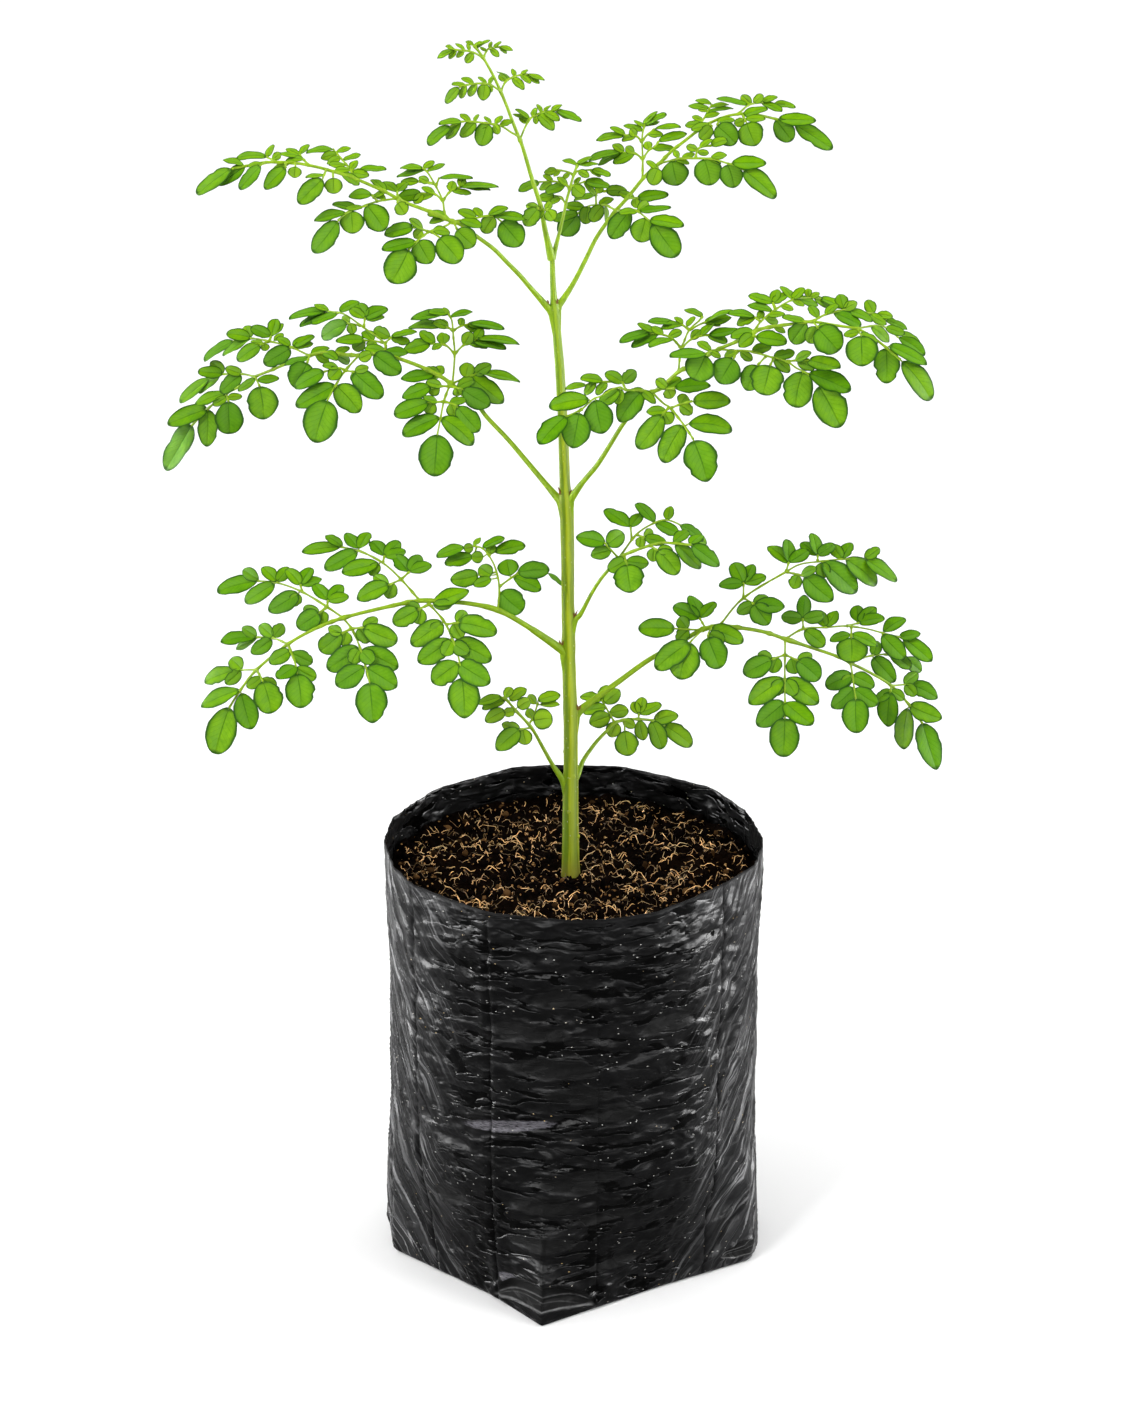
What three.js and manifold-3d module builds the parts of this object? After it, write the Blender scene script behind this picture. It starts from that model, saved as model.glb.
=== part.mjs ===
// A moringa seedling in a black film nursery bag: the bag, the potting soil in it, the main stem and
// eleven feathery fronds, each frond with its stalks and leaflets grown together in one solid.
// Millimetres, +Z up. The origin lies on the floor under the middle of the bag.
// A viewer standing in front of the plant is on the -Y side.
import * as THREE from 'three';
import { mergeVertices } from 'three/addons/utils/BufferGeometryUtils.js';
import Module from 'manifold-3d';

const wasm = await Module();
wasm.setup();

// Bag
const BAG_HEIGHT = 210;
const RIM_RADIUS = 90;
const BODY_RADIUS = 87.9;
const FILM = 0.9;
const BAG_SIDES = 40;
const WALL_HEIGHTS = [20, 45, 78, 150];
const FRONT_CORNER_DEG = -98.74;
const CORNER_BLEND_HEIGHT = 78;
const SEAT_GAP = 0.3;

// Soil
const SOIL_HEIGHT = 193;
const SOIL_RELIEF = 1.5;

// Main stem: height, middle x, radius
const STEM_SIDES = 8;
const STEM_FOOT = 118;
const STEM = [
  [118, -1.4, 3.6], [188, -1.4, 4.9], [222, -1.5, 4.3], [240, -1.5, 4.1], [248, -1.4, 3.7],
  [270, -1.4, 3.6], [277, -1.5, 3.8], [284, -1.7, 3.5], [304, -2.5, 3.5], [311, -2.7, 3.6],
  [318, -2.9, 3.4], [324, -3.1, 3.5], [331, -3.4, 3.2], [356, -3.8, 3.1], [376, -4.0, 3.3],
  [383, -4.0, 3.5], [390, -4.2, 2.5], [425, -5.3, 2.25], [450, -6.6, 2.15], [470, -8.2, 1.95],
  [477, -8.9, 2.2], [482, -9.2, 1.6], [490, -9.7, 1.35], [502.5, -9.95, 1.2],
];

// Small pointed scales beside the leaf bases: foot x, foot z, tip x, tip z
const SCALES = [
  [-5.8, 385, -8.3, 390.6], [-2.3, 384.6, -0.2, 389.6], [-10.4, 479.4, -12.2, 482.6],
  [-7.9, 479.4, -7.2, 483.2], [-1.4, 331.2, 0.7, 335], [-5.4, 309, -7.6, 312.6], [0.6, 283, 2.6, 286.4],
];

// Leaves and stalks
const BLADE = 0.66;
const END_ROOT = 0.9;
const FOOT_HALF = 0.4;
const LONG_PETIOLE = 3.2;
const COLLAR = 1.7;
const SMALL_LENGTH = 13;
const LARGE_LENGTH = 18;
const PATH_TOLERANCE = 1;
const BENDS = [0, 0.25, -0.25, 0.5, -0.5, 0.8, -0.8];

// Where the viewer stands. The fronds are laid out as seen from there: each point is given as
// x and z on the upright plane through the bag's axis, and is then moved towards the viewer
// by its nearness along the line of sight.
const VIEWER = new THREE.Vector3(0, -2371.4, 1276);

// Every frond: its own curve, how near its tip comes, its thickness at the foot and at the tip, and the
// least length times width of a leaflet that is built. The finest leaflets stay out of this solid model.
// A path is a run of x, z pairs. A leaflet is the x, z of its foot, the x, z of its tip, and its width.
const FRONDS = [
  {name: 'frond_base_left', near: [0, 18], girth: [2.0, 0.9], least: 24,
   rachis: [-1.5, 236, -5.1, 241.3, -9.9, 249.1, -15, 259, -20, 268.4, -27.3, 277.1, -31.6, 282.6,
              -33.4, 283.8],
   leaves: [[-33.4, 283.8, -44.1, 280.6, 5], [-33, 283.4, -41.5, 277.5, 4.5], [-33, 283.8, -37.5, 288.5, 4],
              [-29, 280.5, -23.5, 288, 5], [-25.8, 275.5, -21.5, 281, 5.5]],
   sprays: [
    {near: 4, path: [-27.3, 277.1, -31.5, 275.5],
     leaves: [[-31.5, 275.5, -40.6, 272.4, 6], [-30.5, 276, -31, 270.5, 4.5], [-31.5, 275.5, -36, 278.5, 3.5]]},
    {near: -10, path: [-20, 268.4, -18, 273, -17, 278],
     leaves: [[-17, 278, -18.5, 287.5, 5], [-17, 278, -8.5, 285, 5], [-17.5, 276, -22, 279.5, 3.5],
                [-18.8, 272, -11, 268.5, 7]]},
    {near: 5, path: [-20, 268.4, -25.5, 267.5],
     leaves: [[-25.5, 267.5, -36, 257.5, 8.5], [-24, 267.7, -22.5, 260.5, 6], [-25.5, 267.5, -33, 270, 4.5]]}]},

  {name: 'frond_base_right', near: [0, -45], girth: [2.0, 0.9], least: 30,
   rachis: [-1.2, 238, 2.1, 244.5, 4.6, 251.5, 9, 258.6, 12.6, 263.3, 16.6, 267.6, 19.5, 270.8, 24.2, 272.4,
              30.7, 272.8, 37.6, 272, 43, 269.6],
   leaves: [[43, 269.6, 55.3, 259.4, 8.5], [20.5, 271, 17.5, 264.5, 6], [23.5, 272.2, 28.5, 269, 4],
              [31.3, 272.5, 33, 263, 5.5], [37, 271.9, 41.6, 258.4, 8], [38, 272, 48.5, 274.5, 6]],
   sprays: [
    {near: -14, path: [19.5, 270.8, 16.6, 276.3, 13.3, 282.6],
     leaves: [[13.5, 282.3, 4, 284, 4.5], [15.5, 278.5, 5.5, 276.5, 5], [17.5, 274.5, 8.5, 271, 7],
                [14.3, 281, 21, 287, 6], [13.3, 282.6, 16, 289, 5], [16.8, 276, 25, 277, 5.5]]},
    {near: 4, path: [24.2, 272.4, 24.2, 267], leaves: [[24.2, 267, 26, 255, 10]]},
    {near: -4, path: [30.7, 272.8, 30.9, 275.5],
     leaves: [[30.9, 275.5, 28.5, 281, 4], [30.9, 275.5, 32.5, 283, 5], [30.9, 275.5, 40.5, 280, 5]]}]},

  {name: 'frond_low_left', near: [0, 48], girth: [2.6, 1.0], least: 42,
   rachis: [-1.6, 305.5, -4, 310, -19.5, 320.2, -35, 328.6, -49, 331.7, -60, 332.5, -72.2, 333, -87.8, 329.8,
              -107.9, 324.4, -121.2, 318.9, -134.5, 310.9, -149.5, 297.9, -157.4, 287.4, -162.8, 278.6],
   leaves: [[-162.8, 278.6, -170, 255, 14], [-157.6, 287.6, -176, 279, 8], [-157, 286, -152.8, 268, 11]],
   sprays: [
    {near: -30, path: [-35.4, 329, -34.5, 342, -38, 353, -45, 360],
     leaves: [[-45, 360, -62.8, 354.5, 7], [-34, 339, -25, 328, 10], [-35, 343, -46, 338, 6],
                [-36, 346, -47, 345, 6], [-38, 353, -49, 348, 6], [-37, 350, -28, 355, 6],
                [-38.5, 354, -30, 361, 5], [-42, 357.5, -40, 366, 5], [-41, 356.5, -54, 352, 5]]},
    {near: -6, path: [-34.5, 342, -28, 345.5, -18, 347.5, -12, 346.3],
     leaves: [[-29, 345, -16, 338.5, 7], [-12, 346.3, -6, 340.7, 4], [-20, 347.3, -17, 353, 4]]},
    {near: -35, path: [-72.2, 333.6, -80.8, 343.7, -89.3, 352, -100.2, 358, -109, 360],
     leaves: [[-109, 360, -126.5, 356.8, 6], [-91, 351.5, -108, 347, 8], [-91, 351.5, -95, 346.5, 4.5],
                [-100.5, 359, -106, 366, 5], [-100.5, 359, -96, 366.5, 5], [-101, 357.5, -116, 349, 7.5],
                [-108, 360.3, -115, 365, 4]]},
    {near: -5, path: [-80.8, 343.7, -77, 347.5],
     leaves: [[-77, 347.5, -83, 355, 6], [-77, 347.5, -72, 355, 6], [-77, 347.5, -67.5, 350.5, 5]]},
    {near: 6, path: [-80.8, 343.7, -86.5, 341],
     leaves: [[-86.5, 341, -101, 334, 8], [-84.5, 342, -87, 335, 5.5], [-86.5, 341, -93, 345, 4.5]]},
    {near: -5, path: [-89.3, 352, -88.5, 355.5],
     leaves: [[-88.5, 355.5, -94, 362, 5.5], [-88.5, 355.5, -82, 362, 5.5], [-88.5, 355.5, -79.5, 357.5, 4.5]]},
    {near: 20, path: [-69, 332, -60, 321, -54.4, 305, -52.6, 294],
     leaves: [[-52.6, 294, -51.7, 273.5, 15], [-66, 331, -49.5, 338, 8], [-66, 331, -58, 331, 4.5],
                [-61.5, 322, -76, 311, 10], [-62, 322, -66.5, 316, 6], [-58, 313.5, -73, 302, 10.5],
                [-57.5, 313, -61, 306, 6], [-56.5, 312, -39, 303, 11], [-56.5, 311.5, -50, 307, 6],
                [-54.2, 301.5, -66, 292, 10.5], [-54, 301, -40, 291.5, 11]]},
    {near: 5, path: [-68, 331, -73, 328.5],
     leaves: [[-73, 328.5, -84, 322, 8], [-71.5, 329, -73, 322, 5.5], [-72, 329, -78, 331, 4.5]]},
    {near: 4, path: [-60, 321, -54, 322],
     leaves: [[-54, 322, -36.5, 317, 10], [-56.5, 321.5, -53, 315, 6], [-55, 322, -51, 327, 5]]},
    {near: -35, path: [-108.3, 324.4, -115.7, 329.8, -127.3, 337.4, -138.9, 342, -148.1, 342.9],
     leaves: [[-148.1, 342.9, -166.7, 337, 8], [-129, 336.5, -142.5, 328, 8.5], [-129, 336.5, -131.5, 331, 5],
                [-139, 342.5, -145, 349, 5], [-139, 342.5, -134, 349, 5], [-140, 341.5, -153.6, 332.5, 7.5],
                [-147.5, 343.5, -154, 348, 5]]},
    {near: -4, path: [-115.7, 329.8, -115.3, 333],
     leaves: [[-115.3, 333, -121, 340.5, 5.5], [-115.3, 333, -109, 340, 5.5], [-115.3, 333, -106.5, 335, 4.5]]},
    {near: 5, path: [-115.7, 329.8, -119.5, 326.8],
     leaves: [[-119.5, 326.8, -129, 320, 8.5], [-118, 328, -118.5, 321.5, 5.5], [-119.5, 326.8, -126, 329, 4.5]]},
    {near: -4, path: [-127.3, 337.4, -128, 341],
     leaves: [[-128, 341, -134, 348, 5], [-128, 341, -123, 348.5, 5], [-128, 341, -119, 343.5, 4]]},
    {near: 22, path: [-108.3, 324.4, -103.7, 317.6, -99.6, 306, -96.3, 291.5],
     leaves: [[-96.3, 291.5, -95, 271, 14.8], [-101, 309, -115.5, 298.5, 10.5], [-101, 308.5, -104.5, 302, 6],
                [-100, 308, -83, 299, 11], [-100, 307.5, -95, 302, 6], [-98.5, 299.5, -111.5, 290.5, 10],
                [-97.8, 299, -84, 289.5, 11]]},
    {near: 4, path: [-104.5, 318.8, -109, 316.5],
     leaves: [[-109, 316.5, -118.5, 308, 9], [-107, 317.5, -108.5, 311, 6], [-109, 316.5, -114.5, 319, 4.5]]},
    {near: 4, path: [-104.5, 318.8, -99, 319.5],
     leaves: [[-99, 319.5, -83.5, 312.5, 10], [-101, 319.2, -97, 312.5, 6], [-99, 319.5, -93, 323.5, 4.5]]},
    {near: -25, path: [-134.5, 311, -141.4, 314, -150, 314.5],
     leaves: [[-150, 314.5, -165.3, 311.8, 5.5], [-149, 314.8, -155, 319, 4.5], [-149, 314, -158, 309, 4.5],
                [-141.4, 314.5, -147, 320, 5], [-141.4, 314.5, -137, 320, 5], [-142, 313.5, -151, 307, 6]]},
    {near: 15, path: [-134.5, 311, -131.5, 302.5, -130.4, 296],
     leaves: [[-130.4, 296, -128.9, 279.2, 12.8], [-133.4, 307.5, -142.5, 302, 6], [-133, 306.5, -124, 302, 6],
                [-131, 299.8, -139.5, 293.5, 6], [-130.8, 299, -122.5, 294, 6]]},
    {near: -12, path: [-149.5, 298, -159.7, 297.7],
     leaves: [[-159.7, 297.7, -173.6, 292, 7], [-156.5, 298, -161, 303, 6], [-157, 297.8, -163.5, 291.5, 5]]},
    {near: 10, path: [-149.5, 298, -146.6, 292],
     leaves: [[-146.6, 292, -143.2, 276.5, 12.5], [-147.5, 294, -153.5, 289.5, 4.5],
                [-147.2, 293.2, -141, 290, 4.5]]}]},

  {name: 'frond_low_right', near: [0, -62], girth: [2.6, 1.0], least: 42,
   rachis: [-1.4, 273, 1.7, 276.1, 8.9, 282.2, 22.6, 293.1, 35.5, 303.2, 50, 311.9, 58.4, 317.6, 62.9, 319.3,
              68.5, 320.5, 79.3, 319.3, 90.2, 317.2, 99.5, 313.8, 113.7, 308.8, 124.3, 304.9, 130.5, 301.6,
              140, 296.6, 150, 290, 158.6, 280.3, 165, 271],
   leaves: [[165, 271, 172, 247, 12], [158.8, 280, 173.5, 273.5, 9], [158, 278.8, 156.5, 257.7, 10]],
   sprays: [
    {near: 12, path: [60.5, 318.3, 55.5, 313],
     leaves: [[55, 312, 50, 293.6, 15], [54.5, 312, 38.8, 298.8, 11.5]]},
    {near: 10, path: [64.5, 319.6, 63, 315.5],
     leaves: [[63, 314.5, 68.5, 299.7, 12], [63.5, 316.5, 70, 312.5, 6], [64.5, 319, 79, 312.3, 8]]},
    {near: 4, path: [60.5, 318.3, 54, 318.6, 47.5, 319],
     leaves: [[47.5, 319, 31, 319, 9], [54, 318.6, 49, 313.5, 5.5], [53.5, 318.8, 50, 324, 5.5]]},
    {near: -10, path: [62, 319.2, 59.2, 324.2],
     leaves: [[59.2, 324.2, 47.5, 330, 7], [59.2, 324.2, 55, 335, 6], [59.2, 324.2, 66, 331.5, 5]]},
    {near: -35, path: [68.5, 321, 79.6, 334.6, 99.3, 347.7, 105.9, 351.5, 114, 352.8, 125.4, 354.1,
                           136.2, 354.1],
     leaves: [[136.2, 354.1, 151, 343.2, 7], [116, 352.8, 132, 337.6, 12], [116, 352.5, 117, 345.5, 6],
                [125.5, 354.3, 120.5, 361, 5], [125.5, 354.3, 129, 361.5, 5], [127, 354, 141.6, 341.3, 10],
                [136, 354.4, 142, 359, 4.5]]},
    {near: -5, path: [79.6, 334.6, 79.5, 342],
     leaves: [[79.5, 342, 69, 340.5, 5], [79.5, 342, 89, 345, 5], [79.5, 342, 75, 351, 7],
                [79.5, 342, 83.5, 350.5, 5.5]]},
    {near: 5, path: [79.6, 334.6, 84.5, 331.5],
     leaves: [[84, 331.5, 77.5, 327.5, 5], [84, 331.5, 90.5, 334.5, 5], [84.5, 331.5, 91, 322, 9],
                [85, 331.3, 98, 330, 7]]},
    {near: -5, path: [99.3, 347.7, 100.5, 352.3],
     leaves: [[100.5, 352.3, 91.5, 360, 6], [100.5, 352.3, 100, 363, 6], [100.5, 352.3, 109, 358, 5.5]]},
    {near: 6, path: [99.3, 347.7, 108, 345.6],
     leaves: [[108, 345.6, 121, 333.7, 11], [105, 346.3, 103, 340, 5.5], [106.5, 346, 113, 349, 4]]},
    {near: -4, path: [114, 352.8, 114, 356],
     leaves: [[114, 356, 107, 362, 5], [114, 356, 111.5, 366, 5.5], [114, 356, 121, 361, 5]]},
    {near: 20, path: [99.4, 313.8, 99.5, 305.8, 99.6, 293.5, 99.9, 282, 100, 273.4],
     leaves: [[100, 273.4, 99.5, 253.8, 14.2], [99.3, 293.5, 83, 281, 11], [99, 293, 95, 286, 6],
                [100, 293.5, 115.5, 281, 11], [100, 293, 104.5, 286, 6], [99.7, 281.5, 87.3, 270, 10.5],
                [100, 281.5, 113, 269.5, 10.5]]},
    {near: 4, path: [99.5, 305.8, 93.5, 303.5],
     leaves: [[93.5, 303.5, 80.8, 296.5, 9.5], [96, 304.5, 93.5, 297.5, 6], [93.5, 303.5, 87.5, 306, 4.5]]},
    {near: 4, path: [99.5, 305.8, 105.5, 303],
     leaves: [[105.5, 303, 115.3, 294, 9.5], [102.5, 304.2, 104.5, 297, 6], [105.5, 303, 111.5, 305.5, 4.5]]},
    {near: -32, path: [99.4, 313.8, 107.9, 318.9, 118.5, 319.7, 128.3, 320.4, 138.1, 318.9, 145, 317,
                           155, 314.4],
     leaves: [[155, 314.4, 168, 302.3, 8], [108.5, 318.3, 117.2, 311, 7], [118.5, 320, 114, 327, 5],
                [118.5, 320, 123, 327, 5], [145.5, 317.3, 155, 323.5, 6], [145, 316, 155.5, 304.5, 9],
                [153, 314.8, 162, 316.5, 4.5]]},
    {near: -5, path: [107.9, 318.9, 107.5, 324],
     leaves: [[107.5, 324, 108, 335, 6], [107.5, 324, 98.5, 325, 5.5], [107.5, 324, 116.5, 326, 5.5]]},
    {near: 8, path: [130.5, 320.2, 130.5, 314.6],
     leaves: [[130.5, 314.6, 130.7, 303, 13], [130.5, 316, 142, 310.4, 5], [130.3, 316, 121.5, 313, 4]]},
    {near: -5, path: [128.3, 320.4, 134, 322],
     leaves: [[134, 322, 133, 330, 6], [134, 322, 141, 329, 6], [134, 322, 145, 324, 5]]},
    {near: 15, path: [130.5, 301.6, 131.5, 295.2, 132.4, 289, 133.3, 283.5],
     leaves: [[133.3, 283.5, 134, 266.5, 12.3], [131.3, 295.8, 119.8, 290, 8], [131.3, 295.3, 127.5, 290.5, 4.5],
                [131.6, 295.2, 141, 290, 6.5], [132.4, 288.8, 122.7, 279.5, 8], [132.5, 288.5, 143, 281, 8]]},
    {near: -25, path: [130.5, 301.6, 138.6, 305, 146.9, 306, 155.5, 304],
     leaves: [[141, 304.5, 151, 292.6, 8.5], [141, 305.5, 143, 312, 5], [147.5, 306, 153, 311.5, 5],
                [155.5, 304, 163, 298, 6], [149, 305.8, 158, 299.5, 5.5]]},
    {near: -12, path: [150, 290, 159, 291],
     leaves: [[159, 291, 171, 284, 7.5], [156, 290.8, 161.5, 296, 5], [156.5, 290.8, 161, 285.5, 5]]},
    {near: 8, path: [150, 290, 149.5, 287],
     leaves: [[149.5, 287, 148.5, 269.5, 10.5], [149.7, 288, 143.5, 283, 4.5],
                [149.6, 287.6, 155.5, 283.5, 4.5]]}]},

  {name: 'frond_small_right', near: [0, 28], girth: [1.8, 0.9], least: 28,
   rachis: [-2.4, 321, 0.4, 325.1, 2.8, 327.7, 7.8, 337, 12.5, 343.7, 16.8, 349.3, 21.1, 354.5, 26.8, 357.6,
              35.4, 360.8, 41.1, 362.2, 46.3, 362, 54.9, 361.2],
   leaves: [[54.9, 361.2, 67.3, 350.9, 7.5], [47.5, 361.7, 58.7, 349.8, 7], [46.5, 362.3, 53, 367.5, 4.5],
              [54.3, 361.5, 59.5, 365.8, 4]],
   sprays: [
    {near: 4, path: [23.5, 355.8, 24.9, 351.4],
     leaves: [[24.9, 351.4, 26.8, 338.2, 12.5], [24.3, 353.5, 17, 349, 6], [24.5, 353, 34, 352, 5.5]]},
    {near: 5, path: [20.6, 354.7, 14.4, 362.2],
     leaves: [[14.8, 362, 2, 364.8, 7], [15.5, 361, 22.5, 366.5, 7], [17.5, 358.5, 9, 356, 5.5]]},
    {near: -22, path: [21.1, 354.5, 29.2, 366.3, 37.3, 372, 43, 373.6, 49, 371.5, 54, 367.5],
     leaves: [[37.3, 372.2, 29.7, 381.3, 5], [38, 372, 48, 367, 5], [43.5, 373.6, 45, 379.5, 4],
                [54, 367.5, 61, 362, 4], [49.5, 371, 59.4, 363.5, 4.5]]},
    {near: -4, path: [27, 363.3, 26.5, 370],
     leaves: [[26.5, 370, 14.9, 378.2, 6.5], [26.5, 370, 31, 376, 4.5]]},
    {near: 3, path: [29.2, 366.3, 33, 364.8],
     leaves: [[33, 364.8, 42, 362.5, 4.5], [33, 364.8, 36, 368.5, 3.5], [31.5, 365.2, 31, 360.5, 4]]},
    {near: 4, path: [35.4, 360.8, 39.2, 358.5],
     leaves: [[39.2, 358.5, 48.2, 347.5, 9], [37.5, 359.6, 37, 353.5, 5], [39.2, 358.5, 45.5, 358.5, 4]]}]},
  {name: 'frond_mid_left', near: [0, -75], girth: [2.2, 1.0], least: 34,
   rachis: [-4.2, 380.5, -9.7, 387.2, -20.2, 400.5, -30.3, 413.2, -40, 424.1, -44.3, 430, -49.4, 433.5,
              -53.8, 438.2, -56.6, 440.5, -61, 444, -69, 448.3, -78.5, 452.2, -87.4, 455, -99, 454.5,
              -105.1, 454.9, -115, 455.9, -121.8, 454.3, -132.4, 450.3, -139.9, 447.1, -147, 444,
              -155.5, 438.6, -160.5, 435.7, -169.4, 428.2, -176.7, 420.3],
   leaves: [[-176.7, 420.3, -189.6, 398.5, 10.5], [-119, 455, -113.5, 451.5, 3.5], [-121, 455, -113.5, 457.5, 3],
              [-115, 456, -109.5, 452.5, 4], [-110, 455.2, -104, 458, 3], [-109.8, 455, -104.3, 451.5, 4],
              [-161, 436, -174.3, 430.8, 4.5], [-169.4, 428.4, -187.5, 420.2, 8.5],
              [-169.3, 428, -170.1, 410.4, 9.5]],
   sprays: [
    {near: -30, path: [-56.6, 440.5, -55.8, 442.9, -54.9, 455.2, -55.4, 463, -55.6, 466.5, -56.1, 471.5,
                           -57.6, 474.6],
     leaves: [[-57.6, 474.6, -74.5, 472, 4], [-57.2, 474, -60, 477, 2.5], [-56.5, 473, -47.5, 475.3, 2.5],
                [-57.6, 474.6, -66, 475.5, 3]]},
    {near: -4, path: [-54.9, 455.2, -59.2, 459.5, -66, 460.3],
     leaves: [[-60, 459.8, -60.5, 465, 5], [-60.5, 459.8, -64.8, 457.7, 2.5], [-66, 460.3, -77.5, 457, 6],
                [-64, 460.3, -70, 465.5, 4.5]]},
    {near: -4, path: [-54.9, 455.2, -50.6, 459.6, -46, 461.5],
     leaves: [[-50.8, 459.4, -47.5, 465.2, 5], [-49, 460.5, -40.8, 458.3, 3], [-46, 461.5, -32, 457.3, 5],
                [-46, 461.5, -42.5, 467, 4], [-44.5, 462.5, -25.3, 460, 4]]},
    {near: -4, path: [-55.6, 466.5, -58, 468, -62, 468.3],
     leaves: [[-58, 468, -64, 470.3, 3.5], [-58, 468, -60.5, 471.3, 3], [-61, 468.2, -75.5, 468.3, 4.5]]},
    {near: -4, path: [-55.6, 466.5, -52, 468.7, -49, 469.5],
     leaves: [[-52, 468.7, -51.5, 472.3, 3], [-50.5, 469, -44, 466.3, 3], [-49, 469.5, -39.5, 467.5, 3],
                [-48, 470, -32.7, 467, 3.5]]},
    {near: 24, path: [-56.6, 440.5, -57.5, 439.4, -60.1, 432, -61.6, 424.1, -63.2, 415.9],
     leaves: [[-63.2, 415.9, -64.8, 395.4, 16.1], [-62, 424.1, -79, 415.5, 9], [-61.3, 424.1, -46.8, 411, 9.5]]},
    {near: 4, path: [-57.5, 439.4, -60.8, 439.5, -66, 439],
     leaves: [[-61, 439.5, -67.5, 441.3, 3.5], [-62, 439.3, -66.5, 436.5, 5], [-66, 439.3, -78.5, 434.3, 6.5]]},
    {near: 5, path: [-57.3, 439.6, -53, 438.5, -51.5, 438],
     leaves: [[-54.5, 439, -52.8, 435.5, 4.5], [-54, 439, -47, 442.3, 4.5], [-51.5, 438, -39.5, 430.5, 9]]},
    {near: -4, path: [-56.6, 440.5, -50.5, 443.5, -44, 446],
     leaves: [[-50, 443.7, -48.5, 450, 6], [-46, 445.3, -39, 449.5, 5], [-44, 446, -25, 441.8, 4.5],
                [-48, 444.3, -32.8, 431.5, 10]]},
    {near: -4, path: [-58, 441, -64, 445.5],
     leaves: [[-62, 444, -68, 447.5, 5], [-64, 445.5, -79, 442.7, 5.5], [-63, 445, -61, 449, 4]]},
    {near: 4, path: [-60.1, 432, -63, 431.8, -66.5, 431.5],
     leaves: [[-63, 431.9, -69, 433.7, 3], [-64.5, 431.8, -68, 427, 5.5], [-67, 431.5, -82.5, 425.5, 8]]},
    {near: 4, path: [-60.1, 432, -57, 431.2, -54, 430],
     leaves: [[-57.5, 431.3, -50.5, 432.5, 3.5], [-57, 431.2, -55, 425.5, 5.5], [-54, 429.5, -44.5, 418, 9.5]]},
    {near: 22, path: [-99, 454.5, -105.4, 447.1, -109.9, 439.9, -113.8, 432.7],
     leaves: [[-113.8, 432.5, -120, 412.1, 16.4], [-110.2, 440, -128, 429.3, 9.5],
                [-109.6, 439.7, -99.5, 427.5, 11]]},
    {near: 4, path: [-105.4, 447.1, -108.5, 448.3, -115.2, 446.5],
     leaves: [[-108.5, 448.5, -115, 449.3, 3], [-108, 448.2, -112.5, 443.5, 5.5],
                [-115.2, 446.5, -128.2, 439, 7]]},
    {near: 4, path: [-105.4, 447.1, -101.5, 446.5],
     leaves: [[-101.7, 446.6, -99.3, 442, 5], [-101, 447, -95.3, 448.5, 3.5], [-101.5, 446.4, -88.8, 434.5, 10.5]]},
    {near: 8, path: [-89, 455.1, -93, 455.8],
     leaves: [[-92, 455.2, -80.5, 446.5, 9.5], [-93, 455.5, -98.3, 453, 4.5], [-86.5, 456, -95.5, 457.5, 3.5],
                [-88, 456, -77.3, 455.3, 4]]},
    {near: -32, path: [-88, 455.2, -87, 460.3, -96.6, 468, -105.8, 474.6, -113.5, 475.7],
     leaves: [[-113.5, 475.7, -130.4, 472.1, 4.5], [-113.5, 474.6, -125.2, 469, 4],
                [-108.4, 474.8, -119.8, 469.9, 3.5], [-107.5, 475.6, -99.3, 479.7, 3.5],
                [-112.5, 476.2, -118.5, 478.5, 2.5]]},
    {near: -5, path: [-87, 460.3, -84, 463.3],
     leaves: [[-84.5, 463.3, -91, 467, 5], [-84, 463.5, -73, 465.3, 3], [-84, 463, -76.5, 461, 3.5]]},
    {near: -3, path: [-87.5, 460.8, -92.5, 461.5, -97, 461.8],
     leaves: [[-92.5, 461.5, -96, 465.5, 4.5], [-91.5, 461.3, -93.5, 457.5, 5], [-96, 461.5, -101, 458, 5],
                [-96.5, 462, -108.5, 461, 4.5]]},
    {near: -5, path: [-96.6, 468, -96, 472.5],
     leaves: [[-96, 472.5, -98.5, 478.5, 6], [-96, 472.5, -86.3, 476.7, 5], [-96, 472.5, -88, 472.8, 3.5],
                [-96, 472.5, -102, 476.5, 4]]},
    {near: 5, path: [-98, 469, -104, 470],
     leaves: [[-104, 470, -115.5, 463.5, 7.5], [-103, 470, -101.5, 465.5, 4], [-103, 470.2, -106, 473, 3]]},
    {near: -30, path: [-121.8, 454.3, -129.2, 458.1, -133.5, 459.6, -140.1, 461.3, -148.6, 462.7,
                           -156.5, 461.3],
     leaves: [[-156.5, 461.3, -169.8, 452, 4], [-148.6, 462.5, -160.8, 454.3, 3.5],
                [-138, 461.6, -134, 464.5, 2.5], [-130.5, 459, -136, 462.5, 3], [-129.2, 458.6, -120.3, 463.5, 4],
                [-128.5, 458.2, -121, 460.3, 3.5], [-130.5, 457.8, -142, 450.8, 8], [-148.6, 463, -158.7, 464.5, 5],
                [-148.6, 463, -150.5, 468, 5]]},
    {near: -3, path: [-140.1, 461.3, -139.3, 463.6],
     leaves: [[-139.3, 463.6, -147.5, 467.5, 5], [-139.3, 463.6, -137, 471, 5],
                [-139.3, 463.6, -134.3, 469.3, 3.5]]},
    {near: 3, path: [-140.1, 461.3, -144.3, 459.6],
     leaves: [[-144.3, 459.4, -154.3, 452.5, 6], [-142.5, 460.2, -141.8, 457, 3.5], [-143, 460, -148, 461, 2]]},
    {near: 12, path: [-121.8, 454.3, -122.8, 451],
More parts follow.
